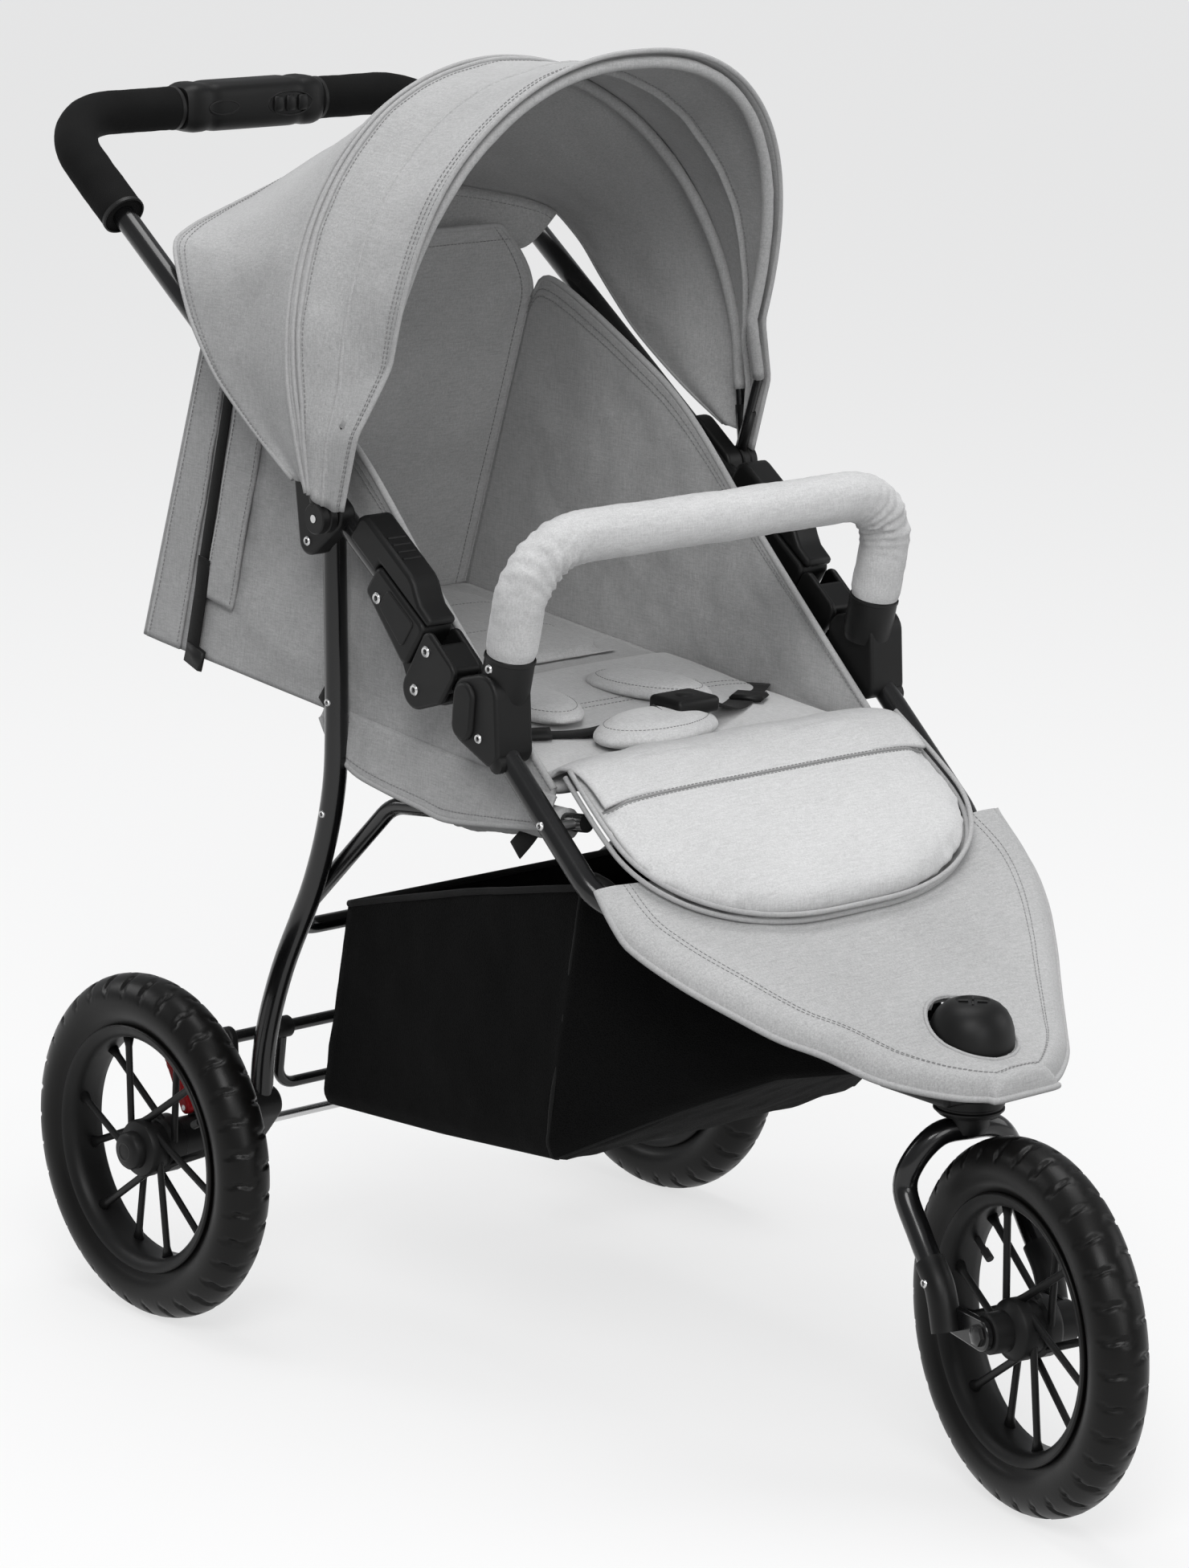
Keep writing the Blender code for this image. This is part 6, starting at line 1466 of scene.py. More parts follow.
    def knob(self) -> None:
        """Domed knob with a shallow ring and four marks on its top."""
        bottom, top = self.knob_bottom, self.knob_top
        dome = ((0.0, 0.0016), (0.0125, 0.0016), (0.0140, 0.0004), (0.0170, 0.0009), (0.0225, 0.0036),
                (0.0275, 0.0082), (0.0312, 0.0145), (0.0334, 0.0215), (0.0344, 0.0300))
        foot = ((0.0345, 0.0080), (0.0338, 0.0066), (0.0338, 0.0052), (0.0345, 0.0040), (0.0340, 0.0008),
                (0.0325, 0.0), (0.0, 0.0))
        profile = [(radius, top - fall) for radius, fall in dome] + [(radius, bottom + rise) for radius, rise in foot]
        knob = turned_piece("knob_dome", profile, Vector((0, LINES.head_y, 0)), UP, Finish.PLASTIC, Body.KNOB, 72)
        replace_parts(knob, "swivel_knob")
        for index in range(4):
            angle = math.radians(45 + 90 * index)
            ray = Vector((math.cos(angle), math.sin(angle), 0))
            path = [Vector((0, LINES.head_y, top - 0.0008)) + ray * r for r in (0.0035, 0.0115)]
            tube_piece(f"knob_mark_{index}", path, 0.0009, Finish.PLASTIC, Body.KNOB, 8)


@dataclass
class RearGear:
    """Axle blocks, crossbars, foot brake and wheel release levers."""

    crossbar_z: float = 0.2310
    brake_half: float = 0.1520
    foot_y: float = 0.0060
    foot_z: float = 0.1770
    lever_pivot: Vector = Vector((0.0, 0.004, 0.176))

    def build(self) -> None:
        """Make the parts between the rear wheels."""
        bar = tube_piece("crossbar_paint", [Vector((x, 0, self.crossbar_z)) for x in (-0.2122, 0.2122)], 0.0055,
                         Finish.PAINT, Body.REAR)
        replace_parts(bar, "rear_crossbar")
        axle = tube_piece("axle_paint", [Vector((x, 0, LINES.wheel_radius)) for x in (-0.205, 0.205)], 0.0040,
                          Finish.STEEL, Body.REAR)
        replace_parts(axle, "rear_axle")
        self.brake()
        for side in Side:
            self.block(side)
            self.lever(side)

    def brake(self) -> None:
        """U-shaped foot bar on two sleeves."""
        tops = [side.at(self.brake_half, 0.0, self.crossbar_z - 0.008) for side in Side]
        feet = [side.at(self.brake_half, self.foot_y, self.foot_z) for side in Side]
        path = fillet_path((tops[0], feet[0], feet[1], tops[1]), (0.018, 0.018))
        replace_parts(tube_piece("brake_bar_paint", path, 0.0050, Finish.PAINT, Body.BRAKE, 16), "brake_bar")
        ring = mirrored([(0.0058, -0.0078), (0.0090, -0.0080), (0.0095, -0.0072)])
        for side in Side:
            turned_piece(f"brake_eye_{side.label}", ring, side.at(self.brake_half, 0, self.crossbar_z),
                         Vector((1, 0, 0)), Finish.PLASTIC, Body.BRAKE, 40, True)
        grip = [Vector((x, self.foot_y, self.foot_z)) for x in spread(-0.045, 0.045, 24)]
        swept_piece("brake_foot_sleeve", grip, ring_section(0.0066, 18), Finish.FOAM, Body.BRAKE,
                    scale=lambda share: 0.94 + 0.06 * math.cos(share * 24 * math.pi))

    def block(self, side: Side) -> None:
        """Moulded block that joins a leg to its wheel."""
        r = LINES.wheel_radius
        pivot = (self.lever_pivot.y, self.lever_pivot.z, 0.0060)
        foot = moulding(f"axle_foot_{side.label}", hull_outline([(-0.027, 0.176, 0.0150), (0.0, r, 0.0190)]),
                        0.1810, 0.2140, side, Body.REAR, 0.0035)
        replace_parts(foot, f"axle_block_{side.label}")
        moulding(f"axle_ear_{side.label}", hull_outline([(0.0, r, 0.0160), (0.0, self.crossbar_z, 0.0105)]),
                 0.2056, 0.2139, side, Body.REAR, 0.0020)
        moulding(f"lever_ear_{side.label}", hull_outline([(0.0, r, 0.0100), pivot]), 0.2417, 0.2457, side, Body.REAR,
                 0.0008)
        centre = Vector((0, 0, r))
        housing = [(0.0060, 0.2690), (0.0175, 0.2690), (0.0190, 0.2675), (0.0190, 0.2440), (0.0180, 0.2430),
                   (0.0180, 0.2400), (0.0190, 0.2390), (0.0190, 0.2090), (0.0060, 0.2090)]
        turned_piece(f"axle_housing_{side.label}", housing, centre, side.out, Finish.PLASTIC, Body.REAR, 48, True)
        pin_piece(f"stub_axle_{side.label}", side, (0.2080, 0.2890), centre, 0.0058, Finish.STEEL, Body.REAR)
        pin_piece(f"lever_pin_{side.label}", side, (0.243, 0.2545), self.lever_pivot, 0.0024, Finish.STEEL, Body.REAR,
                  14)
        rivet(f"foot_rivet_{side.label}", side.at(0.2142, -0.020, 0.180), side.out, Body.REAR, 0.0038)

    def lever(self, side: Side) -> None:
        """Red quick-release lever with a ridged thumb end."""
        body = side.body("wheel_lever")
        outline = hull_outline([(self.lever_pivot.y, self.lever_pivot.z, 0.0060), (0.030, 0.222, 0.0070)])
        lever = moulding(f"lever_red_{side.label}", outline, 0.2460, 0.2540, side, body, 0.0020, Finish.RED)
        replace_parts(lever, f"quick_release_lever_{side.label}")
        for index in range(3):
            place = Vector((0.0, 0.0235 + index * 0.0028, 0.2105 + index * 0.005))
            pin_piece(f"lever_ridge_{side.label}_{index}", side, (0.2465, 0.2535), place, 0.0068 - index * 0.0001,
                      Finish.RED, body, 18)


# Canopy


@dataclass
class Canopy:
    """Two-part hood over two bows, with piped and stitched seams."""

    main_deg: float = 79.5
    front_deg: float = 107.5
    main_hub_x: float = 0.2361
    front_hub_x: float = 0.2278
    rod: float = 0.0040
    cloth: float = 0.0015
    gap: float = 0.0006
    sag: float = 0.0080
    hem_start: float = 0.0220

    def outline(self, kind: str, t: float) -> tuple:
        """Arch outline (x, s): t = 0 at the crown, -1 and 1 at its feet."""
        if kind == "main":
            half, middle, rise, power, hub, straight = 0.2470, 0.1000, 0.2620, 2.0, self.main_hub_x, self.hem_start
        else:
            half, middle, rise, power, hub, straight = 0.2100, 0.1400, 0.2580, 2.3, self.front_hub_x, 0.0830
        foot_x = hub + self.rod + self.cloth + self.gap
        bend = 0.75
        if abs(t) <= bend:
            angle = abs(t) / bend * math.pi / 2
            x = half * math.sin(angle) ** (2 / power)
            s = middle + rise * max(0.0, math.cos(angle)) ** (2 / power)
        else:
            share = (abs(t) - bend) / (1 - bend)
            s = middle + (self.hem_start - middle) * share
            x = half + (foot_x - half) * min(1.0, (middle - s) / (middle - straight))
        return math.copysign(x, t), s

    def arch(self, kind: str, t: float, inset: float = 0.0, forward: float = 0.0) -> Vector:
        """Point of an arch, inset towards the pivot and forward of its plane."""
        x, s = self.outline(kind, t)
        x0, s0 = self.outline(kind, max(-1.0, t - 0.01))
        x1, s1 = self.outline(kind, min(1.0, t + 0.01))
        along = Vector((x1 - x0, s1 - s0)).normalized()
        x, s = x + along.y * inset, s - along.x * inset
        angle = math.radians(self.main_deg if kind == "main" else self.front_deg)
        up = Vector((0.0, math.cos(angle), math.sin(angle)))
        ahead = Vector((0.0, -math.sin(angle), math.cos(angle)))
        return LINES.canopy_pivot + up * s + ahead * forward + Vector((x, 0.0, 0.0))

    def rear_edge(self, t: float) -> Vector:
        """Rear hem of the hood."""
        side_z = LINES.kink.z + (0.0790 - LINES.kink.y) * math.tan(math.radians(LINES.upper_deg))
        top = Vector((0.2100, 0.0790, side_z + 0.0380))
        middle = Vector((0.0, 0.1480, top.z + 0.0460))
        outer = self.main_hub_x
        keys = ((0.00, middle), (0.45, middle.lerp(top, 0.85) + Vector((0.0, 0.0, 0.004))), (0.55, top),
                (0.64, Vector((outer - 0.014, 0.0520, 0.8840))), (0.75, Vector((outer - 0.009, 0.0290, 0.8525))),
                (0.86, Vector((outer - 0.006, -0.0120, 0.8105))), (0.94, Vector((outer - 0.004, -0.0790, 0.7668))),
                (1.00, Vector((outer, -0.1300, 0.7400))))
        share = abs(t)
        for (t0, p0), (t1, p1) in zip(keys, keys[1:]):
            if share <= t1 + 1e-9:
                place = p0.lerp(p1, (share - t0) / (t1 - t0))
                return Vector((math.copysign(place.x, t), place.y, place.z))
        return Vector((math.copysign(keys[-1][1].x, t), keys[-1][1].y, keys[-1][1].z))

    def soft_rear_edge(self, t: float) -> Vector:
        """Rear hem with its corners rounded by averaging along it."""
        total = Vector()
        weights = ((-0.036, 1), (-0.018, 2), (0.0, 3), (0.018, 2), (0.036, 1))
        for step, weight in weights:
            total += self.rear_edge(max(-1.0, min(1.0, t + step))) * weight
        return total / 9.0

    def visor(self, u: float, v: float) -> Vector:
        """Outer surface in front of the main bow; v = 1 at the front hem."""
        place = self.arch("main", u, 0.0, 0.0006).lerp(self.arch("front", u, 0.0, 0.004), v)
        sag = self.sag * math.sin(math.pi * v) * (1 - abs(u) ** 3)
        centre = LINES.canopy_pivot + Vector((0.0, 0.0, 0.10))
        pull = 0.0020 * math.sin(v * 9.0 + 3.0 * abs(u)) * max(0.0, abs(u) - 0.55) / 0.45
        crease = wrinkle(place, 0.10, 0.0030, 2.0) * edge_fade(u, v, 0.25)
        low = min(1.0, max(0.0, (abs(u) - 0.42) / 0.48))
        reach = -0.020 if u < 0 else 0.0
        flare = Vector((0.0, reach, -0.003)) * (low * low * (3 - 2 * low) * v ** 1.6)
        drop = Vector((0.0, 0.0, -0.010)) * max(0.0, (abs(u) - 0.9) / 0.1) * math.sin(math.pi * min(1.0, v * 0.8))
        return place + flare + drop + (centre - place).normalized() * (sag + crease + pull)

    def rear(self, u: float, v: float) -> Vector:
        """Outer surface behind the main bow; v = 1 at the main bow."""
        place = self.soft_rear_edge(u).lerp(self.arch("main", u, 0.0, -0.0006), v)
        sag = 0.5 * self.sag * math.sin(math.pi * v) * (1 - abs(u) ** 3)
        centre = LINES.canopy_pivot + Vector((0.0, 0.10, 0.10))
        pull = 0.0025 * math.sin(v * 7.0 + 5.0 * abs(u)) * max(0.0, abs(u) - 0.5) / 0.5
        crease = wrinkle(place, 0.12, 0.0040, 5.0) * edge_fade(u, v, 0.25)
        return place + (centre - place).normalized() * (sag + crease + pull)

    def build(self) -> None:
        """Make the hood, its bows and its seams."""
        self.bow("main", "main_bow", self.main_hub_x, Body.CANOPY, 0.0)
        self.bow("front", "front_bow", self.front_hub_x, Body.CANOPY_FRONT, 0.0055)
        visor = sheet_piece("visor_cloth", self.visor, 120, 36, self.cloth, Finish.LINEN, None, 1.0)
        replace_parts(visor, "canopy_visor")
        rear = sheet_piece("rear_hood_cloth", self.rear, 120, 36, self.cloth, Finish.LINEN, None, 1.0)
        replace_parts(rear, "canopy_rear_panel")
        visor_trim = self.visor_trim()
        rear_trim = self.rear_trim()
        front_way = self.arch("front", 0.0) - LINES.canopy_pivot
        main_way = self.arch("main", 0.0) - LINES.canopy_pivot
        edge_way = self.rear_edge(0.0) - LINES.canopy_pivot
        for piece in [visor] + visor_trim:
            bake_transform(piece)
        for piece in [rear] + rear_trim:
            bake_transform(piece)
        self.back_strip()

    def back_strip(self) -> None:
        """Cloth between the seat's rear wall and the rear hem of the hood."""
        tub = SeatTub()

        def surface(u: float, v: float) -> Vector:
            low = tub.back_surface(u * 0.99, 0.985) + Vector((0.0, 0.003, 0.0))
            high = self.soft_rear_edge(u * 0.56) + Vector((0.0, -0.002, -0.002))
            place = low.lerp(high, v)
            slack = 0.024 * math.sin(math.pi * v) + wrinkle(place, 0.06, 0.003, 3.0) * edge_fade(u, v, 0.3)
            return place + Vector((0.0, 0.3 * slack, -slack))

        strip = sheet_piece("hood_back_strip", surface, 60, 16, self.cloth, Finish.LINEN, Body.HANDLE, 0.0)
        rows = [lifted(surface, [(u, v) for u in spread(-1, 1, 80)], 0.0011) for v in (0.05, 0.93)]
        stitch_piece("hood_back_stitches", rows, Body.HANDLE)

    def bow(self, kind: str, node: str, hub_x: float, body: Body, setback: float) -> None:
        """Bent rod with a pivot eye at each foot."""
        inset = self.cloth + self.gap + self.rod / math.cos(math.pi / 8)
        path = [self.arch(kind, t, inset + setback * max(0.0, 1 - (abs(t) / 0.87) ** 4)) for t in spread(-1, 1, 96)]
        angle = math.radians(self.main_deg if kind == "main" else self.front_deg)
        rise = Vector((0.0, math.cos(angle), math.sin(angle)))
        feet = [LINES.canopy_pivot + rise * 0.009 + side.at(hub_x, 0, 0) for side in Side]
        rod = tube_piece(f"{node}_rod", [feet[0]] + path + [feet[1]], self.rod, Finish.PAINT, body, 16)
        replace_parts(rod, node)
        swept_piece(f"{node}_channel", path[6:-6], ring_section(self.rod + 0.0011, 14), Finish.LINEN, body,
                    ripple=lambda share, angle, place: wrinkle(place, 0.02, 0.0004))
        eye = mirrored([(0.0037, -0.0040), (0.0118, -0.0040), (0.0130, -0.0030)])
        for side in Side:
            turned_piece(f"{node}_eye_disc_{side.label}", eye, LINES.beside(side, hub_x, LINES.canopy_pivot),
                         side.out, Finish.PLASTIC, body, 48, True)
            socket = [LINES.canopy_pivot + rise * s + side.at(hub_x + (s - 0.01) * 0.02, 0, 0)
                      for s in (0.010, 0.030, 0.048)]
            swept_piece(f"{node}_socket_{side.label}", socket, ring_section(0.0041, 18, 1.5), Finish.PLASTIC, body,
                        scale=lambda share: 1.0 - 0.12 * share)

    def visor_trim(self) -> list:
        """Piping, hem and stitches of the front part."""
        pieces = []
        us = spread(-1, 1, 150)
        for index, v in enumerate((0.012, 0.062)):
            line = lifted(self.visor, [(u, v) for u in us], -0.0009)
            pieces.append(cord_piece(f"visor_piping_{index}", line, 0.0019, None, 10))
        pieces.append(cord_piece("visor_hem", [self.visor(u, 1.0) for u in us], 0.0021, None, 10))
        rows = [lifted(self.visor, [(u, v) for u in us], -0.0005) for v in (0.975, 0.935, 0.895)]
        pieces.append(stitch_piece("visor_hem_stitches", rows, None))
        seam = lifted(self.visor, [(u, 0.095) for u in us], -0.0005)
        pieces.append(stitch_piece("visor_seam_stitches", [seam], None))

        def inner(v: float, height: float) -> list:
            return [self.visor(u, v) + surface_normal(self.visor, u, v) * (self.cloth + height) for u in us]

        pieces.append(swept_piece("visor_channel", even_path(inner(0.46, 0.0014), 0.008),
                                  ring_section(0.0042, 14, 0.5), Finish.LINEN, None))
        for index, v in enumerate((0.425, 0.495)):
            pieces.append(stitch_piece(f"visor_channel_stitches_{index}", [inner(v, 0.0005)], None))
        return pieces

    def rear_trim(self) -> list:
        """Piping, hem and stitches of the rear part."""
        us = spread(-1, 1, 150)
        line = lifted(self.rear, [(u, 0.970) for u in us], -0.0009)
        rows = [lifted(self.rear, [(u, v) for u in us], -0.0005) for v in (0.035, 0.075)]
        return [cord_piece("hood_piping", line, 0.0019, None, 10),
                cord_piece("hood_hem", [self.rear(u, 0.0) for u in us], 0.0021, None, 10),
                stitch_piece("hood_hem_stitches", rows, None)]


# Seat


@dataclass
class SeatTub:
    """Cloth seat: side walls, rear wall, cushions and harness."""

    half_width: float = 0.1800
    front_y: float = -0.3920
    front_z: float = 0.5165
    rear_y: float = 0.1600
    slope: float = 0.0725
    back_top_y: float = 0.0500
    back_top_z: float = 0.9050
    back_top_half: float = 0.1250
    shoulder_z: float = 0.8350
    thickness: float = 0.0045

    def floor_z(self, y: float) -> float:
        """Height of the underside of the seat floor."""
        return self.front_z + self.slope * (y - self.front_y)

    def back_y(self, z: float) -> float:
        """Place of the rear wall at a height."""
        base = self.floor_z(self.rear_y)
        return self.rear_y + (self.back_top_y - self.rear_y) * (z - base) / (self.back_top_z - base)

    def side_surface(self, side: Side) -> Surface:
        """Side wall; u runs from front to rear and v from floor to top edge."""
        top = smooth_path([(0, self.front_y, self.front_z + 0.010), (0, -0.318, 0.593), (0, -0.241, 0.664),
                           (0, -0.144, 0.758), (0, -0.069, 0.804), (0, 0.040, 0.853),
                           (0, self.back_y(self.shoulder_z) - 0.003, self.shoulder_z)], 8)
        top = even_path(top, 0.002)

        def surface(u: float, v: float) -> Vector:
            share = (u + 1) / 2
            place = top[min(len(top) - 1, int(round(share * (len(top) - 1))))]
            low_y = self.front_y + (self.rear_y - 0.003 - self.front_y) * share
            low = Vector((0.0, low_y, self.floor_z(low_y)))
            point = low.lerp(place, v)
            billow = 0.0035 * math.sin(math.pi * share) * math.sin(math.pi * v)
            crumple = wrinkle(point, 0.09, 0.0030, 3.0 + side.value) * edge_fade(u, v, 0.3)
            return side.at(self.half_width - billow - crumple, point.y, point.z)

        return surface

    def back_surface(self, u: float, v: float) -> Vector:
        """Rear wall; v = 1 at its top."""
        base = self.floor_z(self.rear_y)
        z = base + v * (self.back_top_z - base)
        share = max(0.0, (z - self.shoulder_z) / (self.back_top_z - self.shoulder_z))
        half = self.half_width - 0.001 + (self.back_top_half - self.half_width) * share ** 1.6
        point = Vector((u * half, self.back_y(z), z))
        hollow = 0.0045 * (1 - u * u) * math.sin(math.pi * v)
        crumple = wrinkle(point, 0.10, 0.0035, 9.0) * edge_fade(u, v, 0.25)
        return point + Vector((0.0, -hollow + crumple, 0.0))

    def build(self) -> None:
        """Make every cloth piece of the seat."""
        for side in Side:
            self.side_wall(side)
        self.rear_wall()
        self.floor()
        self.backrest()
        self.calf_pad()
        self.harness()
        self.outer_details()

    def side_wall(self, side: Side) -> None:
        """Side wall with a piped and stitched top edge."""
        surface = self.side_surface(side)
        wall = sheet_piece(f"side_wall_{side.label}", surface, 110, 60, self.thickness, Finish.LINEN, Body.FRONT)
        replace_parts(wall, f"seat_side_{side.label}")
        us = spread(-1, 1, 160)
        edge = [surface(u, 1.0) for u in us]
        pipe = cord_piece(f"side_piping_{side.label}", edge, 0.0030, Body.FRONT)
        rows = [[surface(u, v) + Vector((offset, 0, 0)) for u in us] for offset in (0.0030, -0.0030)
                for v in (0.968, 0.945)]
        stitches = stitch_piece(f"side_stitches_{side.label}", rows, Body.FRONT)
        "front_tube_" + side.label
        crushed((wall, pipe, stitches))

    def rear_wall(self) -> None:
        """Rear wall with a bound top edge and seams."""
        wall = sheet_piece("rear_wall_cloth", self.back_surface, 70, 80, self.thickness, Finish.LINEN, Body.FRONT)
        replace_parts(wall, "seat_rear_wall")
        us, vs = spread(-1, 1, 80), spread(0, 1, 90)
        edge = [self.back_surface(-1, v) for v in vs] + [self.back_surface(u, 1) for u in us[1:]]
        edge += [self.back_surface(1, v) for v in reversed(vs[:-1])]
        pipe = cord_piece("rear_piping", edge, 0.0030, Body.FRONT)
        rows = []
        for offset in (0.0030, -0.0030):
            rows.append([self.back_surface(u, 0.962) + Vector((0, offset, 0)) for u in us])
            rows += [[self.back_surface(s * 0.93, v) + Vector((0, offset, 0)) for v in vs] for s in (-1, 1)]
        stitches = stitch_piece("rear_stitches", rows, Body.FRONT)
        rise = Vector((0.0, self.back_top_y - self.rear_y, self.back_top_z - self.floor_z(self.rear_y))).normalized()
        crushed((wall, pipe, stitches), (0.0, self.rear_y, self.floor_z(self.rear_y)))

    def floor(self) -> None:
        """Front cushion with a crown, and the thinner floor behind it."""
        half = self.half_width - 0.0028
        crease = -0.1220

        def lower(u: float, v: float) -> Vector:
            y = self.front_y + 0.003 + v * (crease - self.front_y - 0.004)
            return Vector((u * half, y, self.floor_z(y) + 0.0004))

        def upper(u: float, v: float) -> Vector:
            place = lower(u, v)
            rim = (1 - abs(u) ** 6) * min(1.0, math.sin(math.pi * min(1.0, max(0.0, v))) * 2.2) ** 0.5
            place.z += 0.0085 + 0.0070 * rim
            return place

        cushion = cushion_piece("seat_cushion", upper, lower, 30, 26, Finish.PAD, Body.FRONT)
        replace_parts(cushion, "seat_base")
        puffed(cushion, 0.005, 2.0, 0.0030)

        def rear_floor(u: float, v: float) -> Vector:
            y = crease + v * (self.rear_y - 0.004 - crease)
            return Vector((u * half, y, self.floor_z(y) + 0.0026 + wrinkle(Vector((u, y, 0)), 0.08, 0.0006)))

        mat = sheet_piece("seat_floor_cloth", rear_floor, 40, 40, 0.0040, Finish.LINEN, Body.FRONT)
        rows = [[upper(u, v) + UP * 0.03 for u in spread(-0.95, 0.95, 60)] for v in (0.52, 0.56)]
        sewn_rows("seat_cushion_stitches", cushion, rows, Body.FRONT)

    def backrest(self) -> None:
        """Padded board that lies on the floor behind the cushion."""
        y0, length, half = -0.1000, 0.2450, 0.1480

        def lower(u: float, v: float) -> Vector:
            y = y0 + 0.001 + v * (length - 0.002)
            return Vector((u * half, y, self.floor_z(y) + 0.0062))

        def upper(u: float, v: float) -> Vector:
            place = lower(u, v)
            place.z += 0.0085 * (1 - 0.6 * abs(u) ** 6) * (1 - 0.6 * abs(2 * v - 1) ** 8)
            return place

        board = cushion_piece("backrest_pad", upper, lower, 30, 28, Finish.LINEN, Body.BACK)
        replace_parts(board, "backrest")
        puffed(board, 0.005, 1.5, 0.0015)
        rows = [[upper(u, v) + UP * 0.03 for u in spread(-0.94, 0.94, 60)] for v in (0.34, 0.67)]
        sewn_rows("backrest_stitches", board, rows, Body.BACK)

    def calf_pad(self) -> None:
        """Calf pad with a full crown, a double front edge and a top seam."""
        slope = math.radians(35.2)
        fall = Vector((0.0, -math.cos(slope), -math.sin(slope)))
        normal = Vector((0.0, -math.sin(slope), math.cos(slope)))
        start = Vector((0.0, self.front_y - 0.010, self.front_z + 0.0100 + 0.0060 + 0.0080))
        length, half = 0.1880, 0.1850

        def spread_out(u: float, v: float) -> tuple:
            square = 0.45
            if v > square:
                angle = (v - square) / (1 - square) * math.pi / 2
                run = square + (1 - square) * math.sin(angle)
                return u * half * (0.12 + 0.88 * math.cos(angle) ** 0.9), run * length
            return u * half * (0.965 + 0.035 * math.sin(v / square * math.pi / 2)), v * length

        def lower(u: float, v: float) -> Vector:
            x, s = spread_out(u, v)
            return start + fall * s + Vector((x, 0, 0)) - normal * 0.0015

        def upper(u: float, v: float) -> Vector:
            x, s = spread_out(u, v)
            crown = (1 - 0.62 * abs(u) ** 5) * (1 - 0.62 * max(0.0, 2 * v - 1) ** 6)
            return start + fall * s + Vector((x, 0, 0)) + normal * 0.0150 * crown

        pad = cushion_piece("calf_cushion", upper, lower, 44, 30, Finish.PAD, Body.FRONT)
        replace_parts(pad, "calf_pad")
        puffed(pad, 0.005, 3.0, 0.0045)
        vs = spread(0.02, 1, 40)
        rim = [spread_out(-1, v) for v in vs] + [spread_out(1, v) for v in reversed(vs)]
        for index, height in enumerate((0.0002, 0.0085)):
            line = [start + fall * s + Vector((x * 1.004, 0, 0)) + normal * height for x, s in rim]
            cord_piece(f"calf_piping_{index}", line, 0.0021, Body.FRONT, 10, 0.005)

        def above(s: float, reach: float) -> list:
            return [start + fall * s + normal * 0.05 + Vector((x, 0, 0)) for x in spread(-reach, reach, 80)]

        sewn_rows("calf_seam_stitches", pad, [above(s, 0.178) for s in (0.048, 0.052)], Body.FRONT, -normal)
        cord_piece("calf_seam_cord", drop_onto(pad, above(0.050, 0.180), -normal, 0.0002), 0.0011, Body.FRONT, 8,
                   finish=Finish.THREAD)
        over = [start + fall * s + normal * h for s, h in ((0.004, 0.0135), (0.024, 0.0178), (0.047, 0.0172))]
        profile = smooth_path([(0, -0.366, 0.5350), (0, -0.382, 0.5395), (0, -0.393, 0.5480)] + over, 8)

        def roll(u: float, v: float) -> Vector:
            place = profile[round(v * (len(profile) - 1))]
            rise = wrinkle(place + Vector((u * 0.17, 0, 0)), 0.05, 0.0018, 4.0) * edge_fade(u, v, 0.3)
            return place + Vector((u * 0.1765, 0, rise - 0.006 * abs(u) ** 8))

        cover = sheet_piece("seat_front_cover", roll, 60, len(profile) - 1, 0.0030, Finish.PAD, Body.FRONT)

    def harness(self) -> None:
        """Crotch pad, buckle, shoulder pads, webbing and clips."""
        top = self.floor_z(-0.350) + 0.0100 + 0.0060
        crotch = self.oval("crotch_cushion", Vector((-0.035, -0.350, top + 0.001)), (0.066, 0.037), 0.0260, 0.10,
                           Finish.PAD)
        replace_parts(crotch, "crotch_pad")
        buckle_z = top + 0.0205
        outline = [(-0.362, buckle_z), (-0.322, buckle_z), (-0.322, buckle_z + 0.014), (-0.362, buckle_z + 0.014)]
        shell = mesh_piece("buckle_shell", [Vector((x, y, z)) for x in (-0.020, 0.026) for y, z in outline],
                           [(0, 1, 2, 3), (7, 6, 5, 4), (0, 4, 5, 1), (1, 5, 6, 2), (2, 6, 7, 3), (3, 7, 4, 0)],
                           Finish.PLASTIC, Body.FRONT)
        rounded(shell, 0.0045, 4, 30.0)
        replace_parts(shell, "harness_buckle")
        button = [(0.0, 0.0010), (0.0070, 0.0008), (0.0085, -0.0004), (0.0085, -0.003), (0.0, -0.003)]
        turned_piece("buckle_button", button, Vector((0.003, -0.342, buckle_z + 0.0142)), UP, Finish.PLASTIC,
                     Body.FRONT, 36)
        seat = self.floor_z(-0.300) + 0.0100 + 0.0060
        for side in Side:
            centre = Vector((side.value * 0.062 - 0.008, -0.240, seat + 0.005))
            pad = self.oval(f"shoulder_cushion_{side.label}", centre, (0.033, 0.063), 0.0180, side.value * 0.25,
                            Finish.PAD)
            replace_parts(pad, f"shoulder_pad_{side.label}")
            path = smooth_path([side.at(x, y, seat + rise) for x, y, rise in
                                ((0.085, -0.185, 0.010), (0.110, -0.160, 0.006), (0.135, -0.135, 0.004))])
            strap_piece(f"shoulder_strap_{side.label}", path, 0.022, 0.0016, UP)
            path = smooth_path([side.at(0.024, -0.340, buckle_z + 0.006), side.at(0.075, -0.318, seat + 0.006),
                                side.at(0.125, -0.285, seat + 0.003), side.at(0.170, -0.250, seat + 0.001)])
            strap_piece(f"lap_strap_{side.label}", path, 0.023, 0.0016, UP)
            slide = smooth_path([side.at(0.108, -0.303, seat + 0.006), side.at(0.128, -0.289, seat + 0.005)])
            swept_piece(f"lap_slider_{side.label}", slide, strap_section(0.030, 0.0050), Finish.PLASTIC, Body.FRONT,
                        up=UP)
        path = smooth_path([(-0.060, -0.372, top + 0.003), (-0.095, -0.384, top + 0.002), (-0.130, -0.380, top)])
        strap_piece("crotch_strap", path, 0.024, 0.0016, UP)

